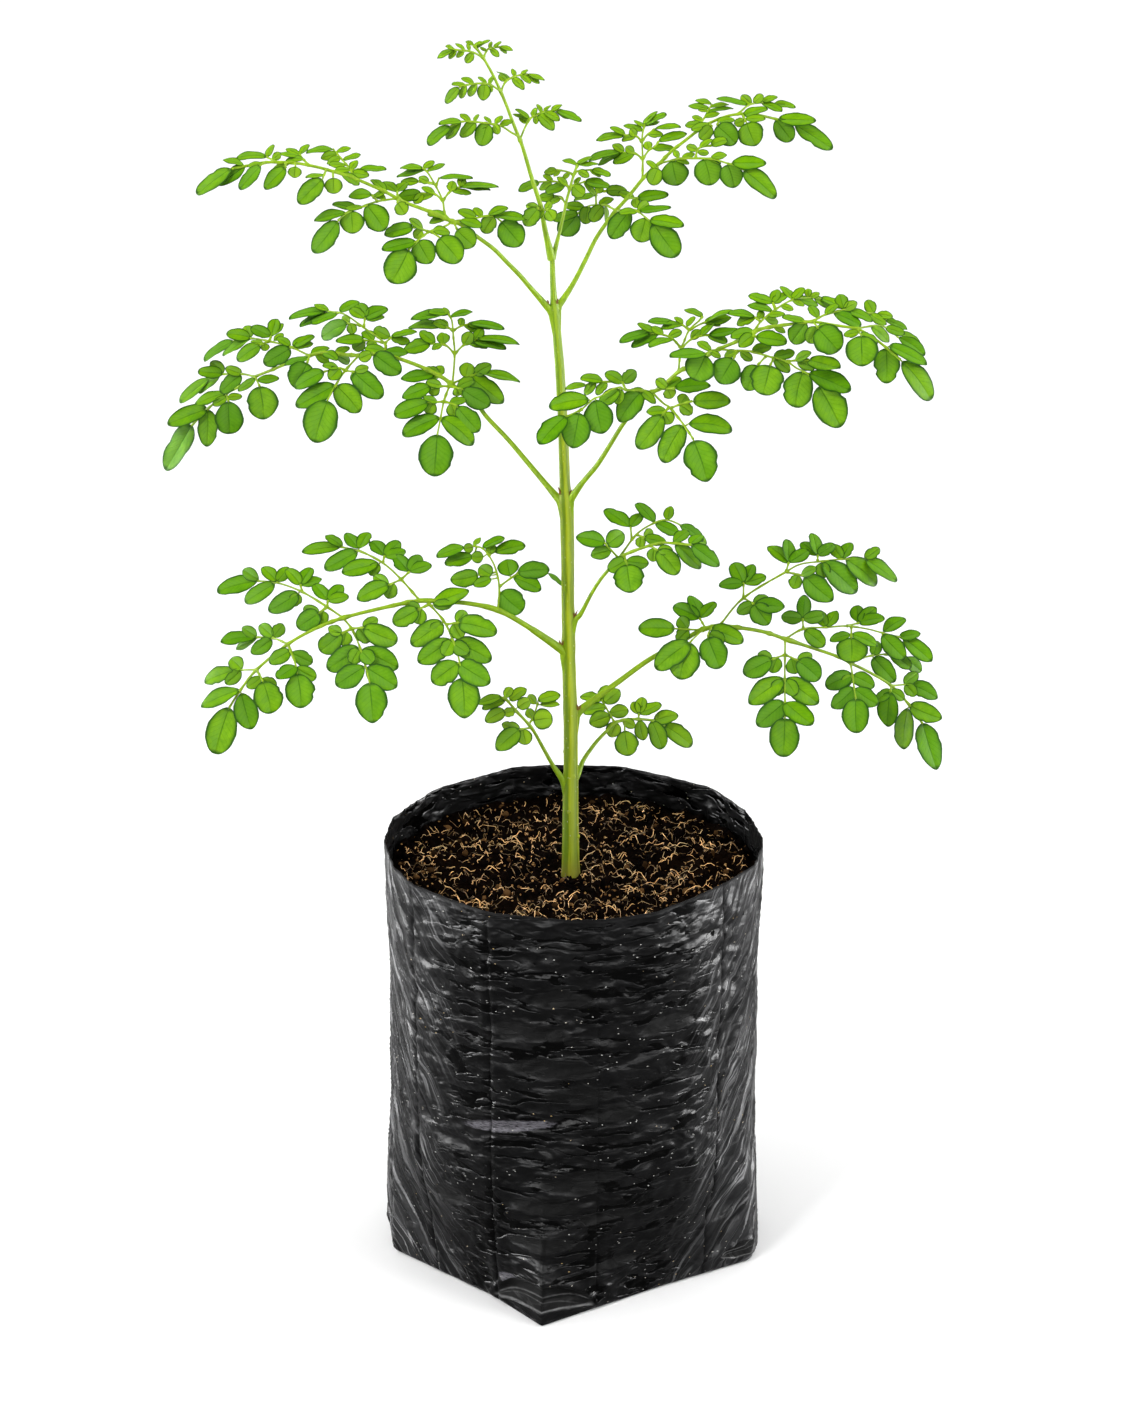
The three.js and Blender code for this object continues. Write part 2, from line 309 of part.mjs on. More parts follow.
     leaves: [[-122.8, 450.8, -128.5, 439.7, 11.5], [-122, 453.5, -132.3, 449.2, 3.5]]},
    {near: -22, path: [-147, 444, -152.9, 445.4, -161.3, 445.3, -164.7, 444.5, -168, 443.3],
     leaves: [[-168, 443.3, -181.7, 431.5, 5], [-163, 444.8, -172.2, 436.5, 4], [-161.8, 445.5, -172.3, 446.3, 5],
                [-161.8, 445.5, -166.3, 450.8, 5], [-153.2, 445.5, -159.7, 448, 4],
                [-153.5, 445, -162.3, 437, 6.5]]},
    {near: 12, path: [-147, 444, -145.1, 439.6],
     leaves: [[-145.1, 439.4, -143.6, 424, 13.5], [-146, 442.3, -137, 442.8, 3.5],
                [-146.7, 443, -154, 437.5, 3.5]]},
    {near: 8, path: [-160.5, 435.7, -159.6, 432.1],
     leaves: [[-159.6, 432.1, -159.3, 416.8, 12.5], [-160, 434, -154, 434.3, 3],
                [-160.3, 434, -166, 430.5, 3.5]]}]},

  {name: 'frond_mid_right', near: [0, 62], girth: [2.2, 1.0], least: 36,
   rachis: [-3.6, 380, 0, 389.6, 4.8, 395.7, 9.8, 401.7, 14.8, 409.3, 20.4, 418.3, 24, 422.8, 29, 429.6,
              31.7, 433.3, 35.2, 436.3, 39.1, 438.2, 44.8, 443.4, 48.4, 446.8, 54, 449.8, 60, 453.4, 66.7, 457.7,
              74.6, 461.3, 83.1, 466.3, 89.4, 468.3, 101, 470, 109.3, 471, 119.9, 469.3, 129.9, 467.6,
              135, 465, 138.7, 462.5, 143.7, 458.4, 150.4, 452.5],
   leaves: [[151, 451.9, 164.2, 433, 9.5], [145, 459.3, 162.3, 450.3, 6.5], [143.7, 458.2, 144.2, 442, 10.8],
              [83, 466, 73, 463.8, 4.5], [92, 468.6, 96.5, 466, 2.5], [106.7, 470.5, 100.8, 461.8, 8],
              [106, 471, 96.5, 473, 2.8]],
   sprays: [
    {near: 24, path: [36, 436.7, 41, 431.5, 44.6, 428.8, 50.6, 421, 55.2, 413.8],
     leaves: [[55.5, 413, 62, 392.9, 15.5], [53, 421.2, 73, 418, 9], [50.3, 420.5, 41.3, 402.5, 11.5]]},
    {near: 4, path: [44.6, 428.8, 48.5, 430.5, 54.5, 432.3],
     leaves: [[49, 430.7, 51.5, 435, 5], [49, 430.5, 54, 426.5, 5], [55, 432.3, 71.7, 432, 8]]},
    {near: 4, path: [44, 429.2, 41, 426],
     leaves: [[42.5, 427.5, 34.5, 427, 4], [42, 426.8, 44.5, 421.8, 5.5], [41, 425.5, 29.7, 409.3, 10.5]]},
    {near: 6, path: [38.6, 438, 43, 438.3, 46.5, 438.7],
     leaves: [[43, 438.7, 38.5, 442.5, 4], [42, 438.8, 48.5, 443, 3.5], [43, 438.3, 45, 434.2, 5],
                [46.5, 438.7, 62.3, 439.3, 6.5]]},
    {near: 24, path: [36, 436.7, 31.8, 437.5, 24, 437.8, 21, 439, 16.9, 437.7, 12.6, 434.8, 9, 433.3,
                          5, 429.5, 2.4, 427],
     leaves: [[2.4, 426.6, -0.5, 410, 12.4], [7, 433, -11, 429, 8.5], [10, 433, 13, 417.2, 12.5],
                [21, 438, 12.8, 431.5, 5.5], [22, 438, 20, 431.5, 4], [31, 437, 21.3, 422.8, 10.5],
                [33, 436.8, 25, 436, 3.5], [31.5, 437, 37, 431.8, 3.5]]},
    {near: 3, path: [4, 428.3, 0, 426.3, -3.7, 424.7], leaves: [[-3.7, 424.7, -15.7, 410.6, 9.5]]},
    {near: -8, path: [24, 438, 22.5, 441.3],
     leaves: [[22.5, 441.3, 15.3, 445.5, 4.5], [22.5, 441.3, 27.8, 446.5, 5]]},
    {near: -3, path: [22.5, 441.3, 13.5, 441.7, 5, 440],
     leaves: [[13.5, 441.7, 4, 443, 3.5], [5.5, 440, -3, 438, 2.5], [10, 441.5, 5.5, 436, 3.5],
                [15, 441.6, 11, 436, 3.5]]},
    {near: -26, path: [48.4, 446.8, 48.5, 451.2, 49.4, 458, 50.5, 461, 53, 467, 57.3, 471.3, 59, 473.5],
     leaves: [[59, 473.5, 51.5, 476.5, 2.5]]},
    {near: -5, path: [49.4, 458, 45.5, 462.5, 41.5, 464.5, 35, 465.5],
     leaves: [[45.5, 462.5, 35.5, 458.8, 3.5], [43.5, 463.5, 48.8, 466, 3.2], [41, 464.6, 36.3, 468, 3],
                [39, 464.8, 27.5, 458.7, 4], [35, 465.7, 22, 460.7, 4], [37, 465.5, 30, 469.3, 2.5]]},
    {near: -4, path: [53, 467, 49.5, 469.5, 46, 470.3],
     leaves: [[49.5, 469.5, 41, 467.5, 3], [50, 469.8, 46.5, 472.6, 2], [46, 470.3, 35, 470.3, 3],
                [52, 468.5, 55, 472.7, 2.3]]},
    {near: -5, path: [49.4, 458, 53.7, 462.3, 59, 464.2, 62, 464.5],
     leaves: [[53.7, 462.3, 57.5, 466.3, 3.5], [58.5, 464, 64, 469.8, 3], [62, 464.5, 74.8, 467, 4],
                [61.5, 464.3, 69.5, 461.3, 3.5]]},
    {near: -4, path: [53, 467, 58.5, 470, 62, 471],
     leaves: [[60, 470.6, 71.3, 472.3, 4], [61, 471, 72.8, 475, 2.5], [60, 470.3, 66.5, 469.3, 2]]},
    {near: 10, path: [66.7, 457.7, 62, 456.3, 60.5, 455],
     leaves: [[60.5, 454.8, 55.7, 443.7, 12], [61, 455.5, 44.3, 453.2, 5], [63, 456.7, 57.5, 460.5, 3],
                [63, 456.4, 67, 454, 2.5]]},
    {near: 24, path: [66.7, 457.7, 74.5, 456.9, 80.9, 456.7, 90.4, 453.9, 98, 451.7, 102.5, 448.5,
                          108, 445.6, 113, 440.4],
     leaves: [[113.2, 439.8, 123.3, 420, 15], [105.5, 446.8, 102.5, 430.1, 13], [108.3, 446, 127.4, 437.4, 9],
                [75, 456.8, 70, 454, 3], [76.5, 456.7, 81.5, 452.8, 3.5], [82, 456.8, 89.8, 458.5, 3.8],
                [92, 453.8, 100.5, 455.8, 4], [92, 453.3, 98.5, 447.2, 4.5]]},
    {near: 4, path: [98, 451.7, 103, 452.3, 108.3, 452.5],
     leaves: [[102, 452.3, 108.5, 455.5, 3.5], [103, 452.2, 110, 448.5, 4.5], [108.3, 452.5, 122.3, 448.2, 7]]},
    {near: 5, path: [92, 453.4, 90.5, 450], leaves: [[90.5, 449.8, 87.5, 436.4, 13.5]]},
    {near: -2, path: [88.5, 454.4, 84.7, 450], leaves: [[84.7, 449.8, 80, 438.6, 9.5]]},
    {near: 5, path: [75.5, 456.9, 73.6, 453.5], leaves: [[73.6, 453, 67.6, 442, 11.5]]},
    {near: -28, path: [83.1, 466.3, 85.7, 471, 92.5, 476.9, 100, 481.5, 107, 482.6, 113, 482.3],
     leaves: [[113, 482.3, 122.8, 477.2, 3.5], [110, 482.4, 116, 479, 3], [107.3, 482.8, 107, 486.5, 3],
                [108, 482.8, 112, 484.6, 2.5], [102.5, 481.8, 111, 479.5, 3.5], [100.3, 481.8, 95, 487, 3],
                [100.3, 481.8, 104.7, 486.5, 3.5], [100, 481.3, 105, 479, 2.2], [95, 478.5, 100, 476.9, 2.5],
                [91, 476, 80.5, 478.5, 3.2], [87.5, 472.5, 93, 470.8, 3], [89, 474, 96, 474.5, 2.5]]},
    {near: -4, path: [85.7, 471, 83.3, 473],
     leaves: [[83.3, 473, 75.8, 469.8, 3.8], [83, 473.3, 71.5, 474.3, 3], [84.3, 472.5, 86.5, 475.8, 3]]},
    {near: -4, path: [92.5, 476.9, 91.2, 480],
     leaves: [[91.2, 480, 81, 483.5, 4], [91.2, 480, 93, 485.8, 4], [91.2, 480, 96.8, 484, 3.5]]},
    {near: 8, path: [84, 466.5, 82.5, 464.5, 83.5, 463.8],
     leaves: [[83.5, 463.5, 97, 461.3, 6], [82.5, 464.5, 76.5, 459.5, 5]]},
    {near: -28, path: [109.3, 471, 114.4, 474, 117.7, 475.1, 123.3, 476.7, 128, 476.8, 134, 475.5, 139, 474.5,
                           145, 470.5, 150, 466],
     leaves: [[123.8, 477, 122, 483.5, 5], [123.8, 477, 129, 480, 4], [137.5, 475, 134.5, 480.5, 4.5],
                [139, 474.8, 145.5, 473.5, 3.2], [119, 475.3, 131, 469.5, 5], [126, 476.3, 136, 471.5, 3.5],
                [135.5, 474.8, 142.5, 470, 3.5], [143, 472, 152, 467.5, 3], [150, 466, 158.5, 459, 4],
                [115.5, 474.4, 120.5, 478.7, 2.8], [112, 472.7, 108.5, 478, 3.5]]},
    {near: 10, path: [109.8, 470.8, 112, 468.3],
     leaves: [[112, 468, 121.3, 457.8, 12], [111.5, 468.7, 108.3, 461.5, 6.5], [112, 468.6, 119.5, 467, 2.5]]},
    {near: 12, path: [129.9, 467.6, 132, 464.5],
     leaves: [[132, 464.3, 132.8, 450.5, 13], [131, 466, 124.8, 464.5, 3], [131.5, 465.3, 138.8, 461, 3.5]]},
    {near: -14, path: [129.9, 467.6, 134, 468.5, 139.5, 469.2, 144, 467.8, 149, 463.5],
     leaves: [[136.5, 468.8, 144, 462, 4.5], [149, 463.5, 160.5, 455, 5], [143, 468.2, 151, 465.5, 3.5]]}]},

  {name: 'frond_high_left', near: [0, 50], girth: [2.0, 0.9], least: 25,
   rachis: [-9.4, 476, -18.4, 486.5, -24.4, 493.5, -30.5, 499.3, -36.6, 505.8, -43.9, 511.5, -51.3, 517.3,
              -55.6, 519, -64.8, 523.3, -76.4, 527.8, -80.1, 529.7, -86.2, 533.3, -91.6, 535.8, -99.4, 539.3,
              -106.2, 541.7, -111.2, 543.2, -115.5, 544.5, -120.5, 545.6, -126.7, 546.6, -139.8, 547,
              -149.1, 545.2, -155.5, 544],
   leaves: [[-155.8, 543.9, -171.2, 531.8, 6.5], [-149.3, 545, -160.5, 536.5, 5.5], [-150, 545.2, -158.5, 547.6, 2.5],
              [-85.5, 533.2, -91, 530.3, 2.2], [-86, 533.4, -91.5, 538, 2.8], [-105.5, 541.3, -98.5, 537, 3.5],
              [-129, 546.5, -136, 543.8, 2.2]],
   sprays: [
    {near: -26, path: [-55.6, 519, -58.8, 522.4, -59.8, 528.8, -62.9, 535.8, -66.5, 542.2, -68.7, 544.1],
     leaves: [[-68, 543.5, -79.5, 540, 3], [-68.7, 544.1, -78, 544, 2.5], [-68.5, 544.2, -64, 547, 2.5],
                [-66.8, 542.7, -59.5, 545.6, 2], [-58, 521.5, -65.8, 522, 3], [-57.5, 521, -65, 518.5, 3]]},
    {near: -4, path: [-59.8, 528.8, -63.5, 532, -69.5, 532.3],
     leaves: [[-63.5, 532, -68.5, 534.8, 2.5], [-64, 532, -69, 529.8, 2.5], [-69.5, 532.3, -79.3, 530.3, 5],
                [-69, 532.2, -72.5, 528, 3.5]]},
    {near: -5, path: [-59.8, 528.8, -56.3, 533.3, -52, 535.3],
     leaves: [[-56.3, 533.3, -55, 537.5, 4], [-55.5, 533.7, -47.8, 532.3, 2.5], [-52, 535.3, -50.5, 539.7, 3.5],
                [-52, 535.3, -39, 534, 3], [-52, 535.6, -34.8, 535.6, 3.5]]},
    {near: -4, path: [-62.9, 535.8, -61.3, 539.7], leaves: [[-61.3, 539.7, -46.8, 539.3, 2.5]]},
    {near: -4, path: [-63.5, 537, -70.5, 538],
     leaves: [[-66, 537.5, -70, 539.6, 3], [-70.5, 538, -77.8, 537.8, 3]]},
    {near: 22, path: [-55.6, 519, -58.7, 516.8, -66.1, 514, -71.6, 509.6, -75.3, 505.7],
     leaves: [[-75.6, 505.6, -83.6, 490.3, 14], [-64.5, 514.6, -57.5, 513.5, 3.5], [-72, 509.3, -87, 505, 5.5],
                [-71.3, 509.7, -66, 500, 9.5]]},
    {near: 4, path: [-66.1, 514, -70, 515.5, -73.5, 516.3],
     leaves: [[-69, 515.2, -74.5, 519.5, 3], [-69.5, 515.3, -72.5, 511.5, 4], [-73.5, 516.3, -85.5, 512.7, 5.5]]},
    {near: 4, path: [-65.5, 514.2, -61.5, 511.5], leaves: [[-61.5, 511.3, -52.6, 500.6, 11]]},
    {near: 6, path: [-54.8, 518.8, -53.5, 515.5], leaves: [[-53.5, 515, -46.3, 508, 8.5]]},
    {near: -12, path: [-55.6, 519, -48, 520, -43.9, 520.8, -40.2, 521.7, -36.5, 521.5, -33.2, 519],
     leaves: [[-33.2, 519, -24.8, 508.4, 11], [-52, 519.5, -43, 516.3, 3.5], [-44.5, 520.8, -52, 523.5, 3.5],
                [-42, 521.3, -45.3, 525, 3], [-39, 521.8, -31, 525, 3], [-37, 521.7, -22.3, 520.3, 3.5],
                [-36.5, 521.3, -41, 514.5, 6]]},
    {near: 12, path: [-80.1, 529.7, -80.3, 528], leaves: [[-80.3, 527.8, -77.3, 523, 5.5]]},
    {near: 22, path: [-80.5, 530, -89.5, 528.5, -96.4, 526, -103.3, 523.3, -107.5, 519.5],
     leaves: [[-107.6, 519.1, -118.8, 504.5, 9.5], [-103.8, 523, -117.5, 519, 4.5], [-101.5, 524.1, -101, 514.3, 9],
                [-94.5, 526.8, -86.9, 515.6, 10], [-99, 525, -109, 526.8, 3.2], [-96.5, 526, -103.3, 524.6, 2.5],
                [-86, 529.2, -91, 531.2, 2.2]]},
    {near: 4, path: [-89.5, 528.5, -92, 531.5], leaves: [[-92, 531.7, -101.5, 530.8, 4]]},
    {near: -10, path: [-80.1, 529.7, -80.5, 533],
     leaves: [[-80.5, 533, -86.3, 537, 3.5], [-80.5, 533, -76.3, 537, 3.5]]},
    {near: -26, path: [-100.5, 539.8, -101.3, 543.1, -105, 548, -109.3, 553.2],
     leaves: [[-101.5, 543.5, -98.7, 547.3, 2.8], [-100.8, 542, -94, 540.8, 3.3], [-104.8, 548, -97.7, 550.3, 2],
                [-108, 551.5, -102, 553.5, 2], [-109.3, 553.2, -120.5, 551.5, 2.5], [-107.5, 551, -114, 549, 3.5],
                [-106, 549, -111.5, 546.5, 3], [-103.5, 546, -110.5, 545.3, 2.5], [-101.5, 543.3, -108, 543, 2.5]]},
    {near: -3, path: [-101.3, 543.1, -97.5, 543.7], leaves: [[-97.5, 543.7, -86.3, 543.3, 3]]},
    {near: 10, path: [-109.5, 542.7, -109.5, 540], leaves: [[-109.5, 539.7, -109.2, 533, 6.5]]},
    {near: 14, path: [-112.5, 543.6, -114, 540],
     leaves: [[-114.3, 539, -124.8, 528.3, 8], [-113.5, 541, -121, 539.5, 2]]},
    {near: -14, path: [-120.5, 545.6, -124.5, 550.5],
     leaves: [[-124.5, 550.5, -121, 555, 2.5], [-124.5, 550.5, -130, 552.8, 2.2], [-124, 550, -133.5, 550.3, 2],
                [-122.5, 548.2, -130, 547.8, 2.3]]},
    {near: 12, path: [-126.5, 546.6, -126.5, 545], leaves: [[-126.5, 545, -127, 540.2, 5]]},
    {near: 10, path: [-131, 546.7, -131, 544.5], leaves: [[-131, 544.3, -139.8, 535, 6]]},
    {near: -12, path: [-134.5, 546.9, -139.5, 549.5],
     leaves: [[-137, 548.3, -133.5, 551, 3], [-139, 549.5, -136.5, 554.5, 2.5], [-139.5, 549.5, -152.5, 548.8, 3]]},
    {near: 8, path: [-140, 547, -142.5, 545.6],
     leaves: [[-142.3, 545.5, -151.5, 535, 5.5], [-141, 546.3, -147.5, 544.8, 2]]}]},

  {name: 'frond_high_right', near: [0, -62], girth: [2.0, 0.9], least: 25,
   rachis: [-9, 476.5, -5.2, 481.4, 0, 490, 5.1, 500.4, 10, 510.9, 15, 518.7, 19.4, 524.6, 24.4, 530.5,
              30.6, 538.6, 33.7, 542.1, 39.3, 547.3, 44.3, 552.5, 50.5, 557.6, 57, 562.9, 61.6, 565.8, 68.5, 568.7,
              74, 569.8, 80, 570, 84.5, 569.2, 91, 567.6, 95, 566.6, 99.5, 564.9],
   leaves: [[99.8, 564.8, 116.4, 553, 8.5], [92.5, 567.6, 108.7, 566.2, 5.5], [91.2, 567.3, 98, 558.2, 8]],
   sprays: [
    {near: 12, path: [76, 570, 77.5, 566.5],
     leaves: [[78, 565.8, 82, 556, 10.5], [77, 567, 73, 565.3, 3.5], [77.3, 567.5, 85.5, 567.5, 3],
                [76.6, 569, 86.5, 572, 3.5]]},
    {near: 10, path: [66, 567.7, 64.8, 565],
     leaves: [[64.6, 564.4, 72.5, 556.7, 9], [65.2, 566, 71.5, 567, 2.5]]},
    {near: 6, path: [61, 565.4, 62.2, 564.2],
     leaves: [[62.2, 564, 57.5, 558.8, 5], [61.5, 564.8, 54, 562.5, 3.5]]},
    {near: -22, path: [74, 569.8, 78, 573.5, 81, 574.8, 85, 575.2, 90, 574.5],
     leaves: [[78.5, 573.8, 65, 576.5, 2.5], [81, 575, 84.5, 578.5, 3.5], [80, 574.5, 76, 578, 3.5],
                [85, 575.5, 91, 577.6, 2.5], [85, 575, 93, 571.3, 3], [90, 574.5, 99, 573, 2.8]]},
    {near: -22, path: [56.2, 562.3, 57.4, 565.8, 59.3, 568.7, 60.7, 571.6, 62.2, 574.4],
     leaves: [[61, 572.5, 52.5, 573.5, 2.3], [62, 574.4, 55.5, 576, 2], [60.5, 571.3, 56.5, 571.5, 1.8],
                [58, 566.8, 53.8, 568.5, 2.2], [57.3, 565.5, 51, 564.5, 3], [61.5, 573, 69, 573.8, 2],
                [59, 568.3, 65, 570, 2.3], [60.2, 570.5, 71, 571.8, 1.8]]},
    {near: -26, path: [31, 539.2, 31.1, 548.6, 30.8, 555.7, 31, 561, 32, 564.8],
     leaves: [[31, 561.8, 23.3, 564, 2.4], [31.5, 563.5, 27.5, 566.3, 1.5], [32, 564.3, 38, 565.8, 1.5],
                [32, 564.8, 41, 569, 2.5], [31.8, 564.8, 37, 570.3, 2]]},
    {near: -5, path: [31.1, 548.6, 27.5, 551.3, 21, 551.9],
     leaves: [[27.5, 551.3, 23.8, 554, 3.3], [27.3, 551.2, 18.7, 547, 4], [22.5, 551.9, 18, 555, 3],
                [21, 551.9, 7.5, 547.8, 3.5], [21, 551.7, 11.8, 546.3, 3]]},
    {near: -5, path: [31.1, 548.6, 34, 553, 36.5, 554.2, 38.3, 557],
     leaves: [[34, 553, 32.8, 556.5, 3.5], [35.5, 553.7, 44.3, 553.5, 3], [38.3, 557, 50.2, 560, 4]]},
    {near: -4, path: [31, 556.5, 28, 559.5, 22.5, 560],
     leaves: [[28, 559.5, 25.7, 562.5, 3.3], [28, 559.3, 22.3, 557.6, 2.7], [22.5, 559.9, 11, 557, 3.5],
                [23, 560, 17, 563, 2.5]]},
    {near: -4, path: [31, 557.3, 33.3, 560.3, 36.5, 562.8],
     leaves: [[33.3, 560.2, 39.5, 560.2, 2.7], [36.5, 562.8, 47.3, 563.3, 2.5]]},
    {near: 10, path: [35.5, 543.8, 38, 544.5],
     leaves: [[38.2, 544.3, 35.5, 537.3, 6], [37.2, 544.3, 33.3, 547.3, 2.3]]},
    {near: 20, path: [38.6, 546.7, 43, 547.7, 47, 548.8, 50.6, 549, 59, 549, 63.7, 548.5, 69.2, 546.8,
                          73.5, 545.6, 76.6, 543.7],
     leaves: [[77, 543.4, 91.4, 530.4, 9], [71.5, 546.8, 86.3, 546.4, 6], [69.7, 546.2, 72.6, 536.2, 9],
                [62, 549.3, 68.5, 550.3, 2.8], [59, 548.8, 62, 537.4, 11], [61, 548.6, 66, 546.6, 1.8],
                [47.5, 549, 45.7, 552.3, 2.5], [49, 549.3, 54, 551, 2.4], [46, 548.3, 51.5, 546.5, 2],
                [44.5, 548, 46.8, 537.2, 11]]},
    {near: -6, path: [55, 549.2, 56.5, 553.8, 62, 555],
     leaves: [[57, 553.9, 62, 557.5, 2.5], [62, 555, 68.5, 557.5, 3.5], [56.2, 553, 51.5, 554.5, 3],
                [56, 552, 60.5, 551.5, 2.5]]},
    {near: 20, path: [18.8, 523.8, 25, 524.6, 28.8, 524, 32.5, 521, 35.5, 518.5],
     leaves: [[36, 518.2, 47, 502.8, 12.5], [34.5, 519.8, 49.3, 517, 5.3], [32.7, 520.8, 30, 510.3, 9.5],
                [29, 524, 33, 527.8, 4], [29.5, 523.8, 43.3, 525, 3.3], [28.5, 523.8, 21.3, 522.6, 3],
                [25.5, 524.4, 17, 511.8, 9]]},
    {near: -6, path: [24, 530, 28.8, 530.1],
     leaves: [[27.5, 530, 21, 532.5, 3], [27.5, 530, 28.5, 526, 3.5], [28.8, 530.1, 42, 531.3, 4.8]]},
    {near: -22, path: [19, 524.2, 17, 525.5, 14.5, 526.7, 10, 526.8, 7, 526.5, 3, 524, 1.5, 522.5],
     leaves: [[1.5, 522.5, -5.5, 513.3, 9], [1.8, 523, -8.5, 519.5, 4], [11.5, 526.8, 17, 529.5, 3],
                [13, 526.7, 8, 520, 5.5], [14, 526.6, 14, 519.7, 2], [6.5, 526.3, 5, 518.8, 5.6],
                [5, 525.3, -3.5, 526.3, 3.7]]},
    {near: -4, path: [10, 526.8, 10.3, 532.5, 14.5, 533.5],
     leaves: [[10.3, 531.5, 1, 528.8, 2.5], [10.3, 532.5, 12, 536, 3.5], [14.5, 533.5, 23, 533.3, 4.5]]}]},

  {name: 'frond_top_small', near: [0, -18], girth: [1.5, 0.8], least: 13,
   rachis: [-9.6, 501, -9, 504.5, -8.4, 506.8, -7.2, 511.7, -5.8, 517.5, -4.4, 523.8, -3.5, 528.7, -2.1, 534,
              -0.7, 539.3, 0.5, 543.2, 1.6, 546.1],
   leaves: [[1.4, 545.8, -4.7, 547.8, 2], [1.6, 546.1, 7.5, 549.2, 1.9], [1.6, 546, 10, 545.8, 1.9]],
   sprays: [
    {near: -6, path: [-3.8, 527.2, -6, 530.5, -9, 531.3],
     leaves: [[-9, 531.3, -15.5, 530.3, 3.8], [-6, 530.5, -10.5, 527.6, 2.5]]},
    {near: -6, path: [-2.1, 534, -3.5, 536.3, -8.5, 538, -16, 537.8],
     leaves: [[-3.2, 536, -7.3, 539.5, 2.5], [-4, 536.4, -12, 533, 4], [-10, 538, -13.5, 540.8, 2],
                [-10, 537.9, -15, 534.5, 3], [-16, 537.8, -24.3, 533.8, 3.5]]},
    {near: -6, path: [-1.9, 534.6, -0.6, 536, 5, 538],
     leaves: [[-0.6, 536, 4, 531.8, 5.5], [0.5, 536.5, 2.5, 539.6, 2], [5, 538, 15.3, 535.3, 4],
                [4.5, 537.8, 9, 532, 2.5]]},
    {near: -4, path: [-0.2, 541, -3, 542.6, -8, 543.6],
     leaves: [[-8, 543.6, -13, 542.3, 3], [-2, 542, -4.8, 540, 2], [-6, 543.2, -9, 540.8, 1.5]]},
    {near: -4, path: [0, 541.6, 2, 543, 8, 543.6],
     leaves: [[2, 543, 6.3, 540.6, 3], [8, 543.6, 15.5, 540.8, 2.8], [7, 543.5, 11.5, 540.6, 2]]}]},

  {name: 'frond_top', near: [0, 14], girth: [2.2, 0.8], least: 14,
   rachis: [-10.2, 501, -13.2, 514.7, -14.8, 524.5, -15.5, 527.5, -19.4, 540.2, -21.6, 548.2, -23.7, 555.4,
              -25.8, 560.8, -28.6, 568.3, -30.7, 574.2, -33.3, 580.6, -36.4, 587.6, -39.5, 593.5, -41.1, 596.2,
              -43.2, 599.4, -45.3, 602],
   leaves: [[-45, 601.6, -41.3, 603.2, 1.4], [-44, 600.5, -38.5, 604, 1.3], [-45.3, 602, -48.5, 603.4, 1.6]],
   sprays: [
    {near: 5, path: [-14.8, 524.3, -16.5, 525.3],
     leaves: [[-16.3, 525.2, -22, 518, 6.5], [-16, 525.2, -21.3, 526.5, 3.5]]},
    {near: 4, path: [-14.8, 524, -12, 524.8],
     leaves: [[-12.3, 524.7, -9.5, 520, 5], [-13, 524.5, -11, 528, 3], [-13.5, 524.3, -16.2, 519.8, 1.8]]},
    {near: 18, path: [-24.5, 557.5, -25.6, 559.4, -28.7, 561.3, -32.8, 564, -38.5, 565.3, -44.7, 566.1,
                          -50.8, 566.2, -56, 564],
     leaves: [[-56, 564, -65.2, 555.6, 4.5], [-51.3, 566, -57.2, 558.8, 4], [-44.7, 566, -50.7, 559.8, 4.5],
                [-39.5, 565.4, -42.2, 555.9, 7], [-38.5, 565.3, -43.4, 563.6, 2.2], [-36, 564.7, -34.5, 560.8, 3.2],
                [-33.5, 564.2, -28.5, 566.3, 2.4], [-37.7, 565.3, -40.3, 568.3, 1.6], [-35.5, 564.7, -33, 568.5, 2.3],
                [-47, 566.1, -51, 569.3, 2.3], [-45, 566.1, -43.5, 569.2, 1.6], [-51, 566.2, -60.2, 564.8, 2.6]]},
    {near: -14, path: [-24.4, 557.8, -24, 559.2, -22, 564, -20.3, 567.2, -17.8, 569.1, -14, 570.7, -8, 571.5],
     leaves: [[-8, 571.5, 2.2, 566.5, 3], [-8.3, 571.4, -2.8, 568, 2.6], [-13.7, 570.8, -7.3, 567.3, 3],
                [-16.3, 569.7, -10, 563, 4.4], [-17.5, 569.2, -17.3, 565.5, 2.2], [-21.3, 565.4, -24.5, 567.5, 1.9],
                [-20.8, 566.4, -27, 569.3, 1.7], [-20.3, 567.2, -26, 571.3, 1.7], [-18.5, 568.6, -17.5, 572.3, 2.3],
                [-15, 570.3, -16.3, 574, 1.8], [-13.5, 570.8, -10.8, 573.4, 1.4], [-10.2, 571.2, -6, 573.8, 2]]},
    {near: 12, path: [-33, 579.8, -34, 581, -36.5, 582.8, -39, 583.8, -43.7, 584.1, -48.8, 583.3, -52, 582.3],
     leaves: [[-52, 582.3, -57.2, 575.5, 3.5], [-49, 583.2, -51, 577.8, 2.8], [-44, 584, -47.2, 578.8, 3],
                [-40.3, 583.9, -41.2, 577, 4.9], [-37.8, 583.3, -37.5, 580.3, 1.6], [-39.5, 583.9, -42.8, 586.8, 1.5],
                [-38, 583.4, -37.2, 586.9, 1.7], [-45.5, 583.8, -50.3, 586.2, 2], [-49, 583.2, -54.6, 583.4, 1.6]]},
    {near: -10, path: [-33.2, 580.4, -32.7, 581.4, -31, 584.9, -28.7, 586.5, -25.6, 587.8, -21, 588.4],
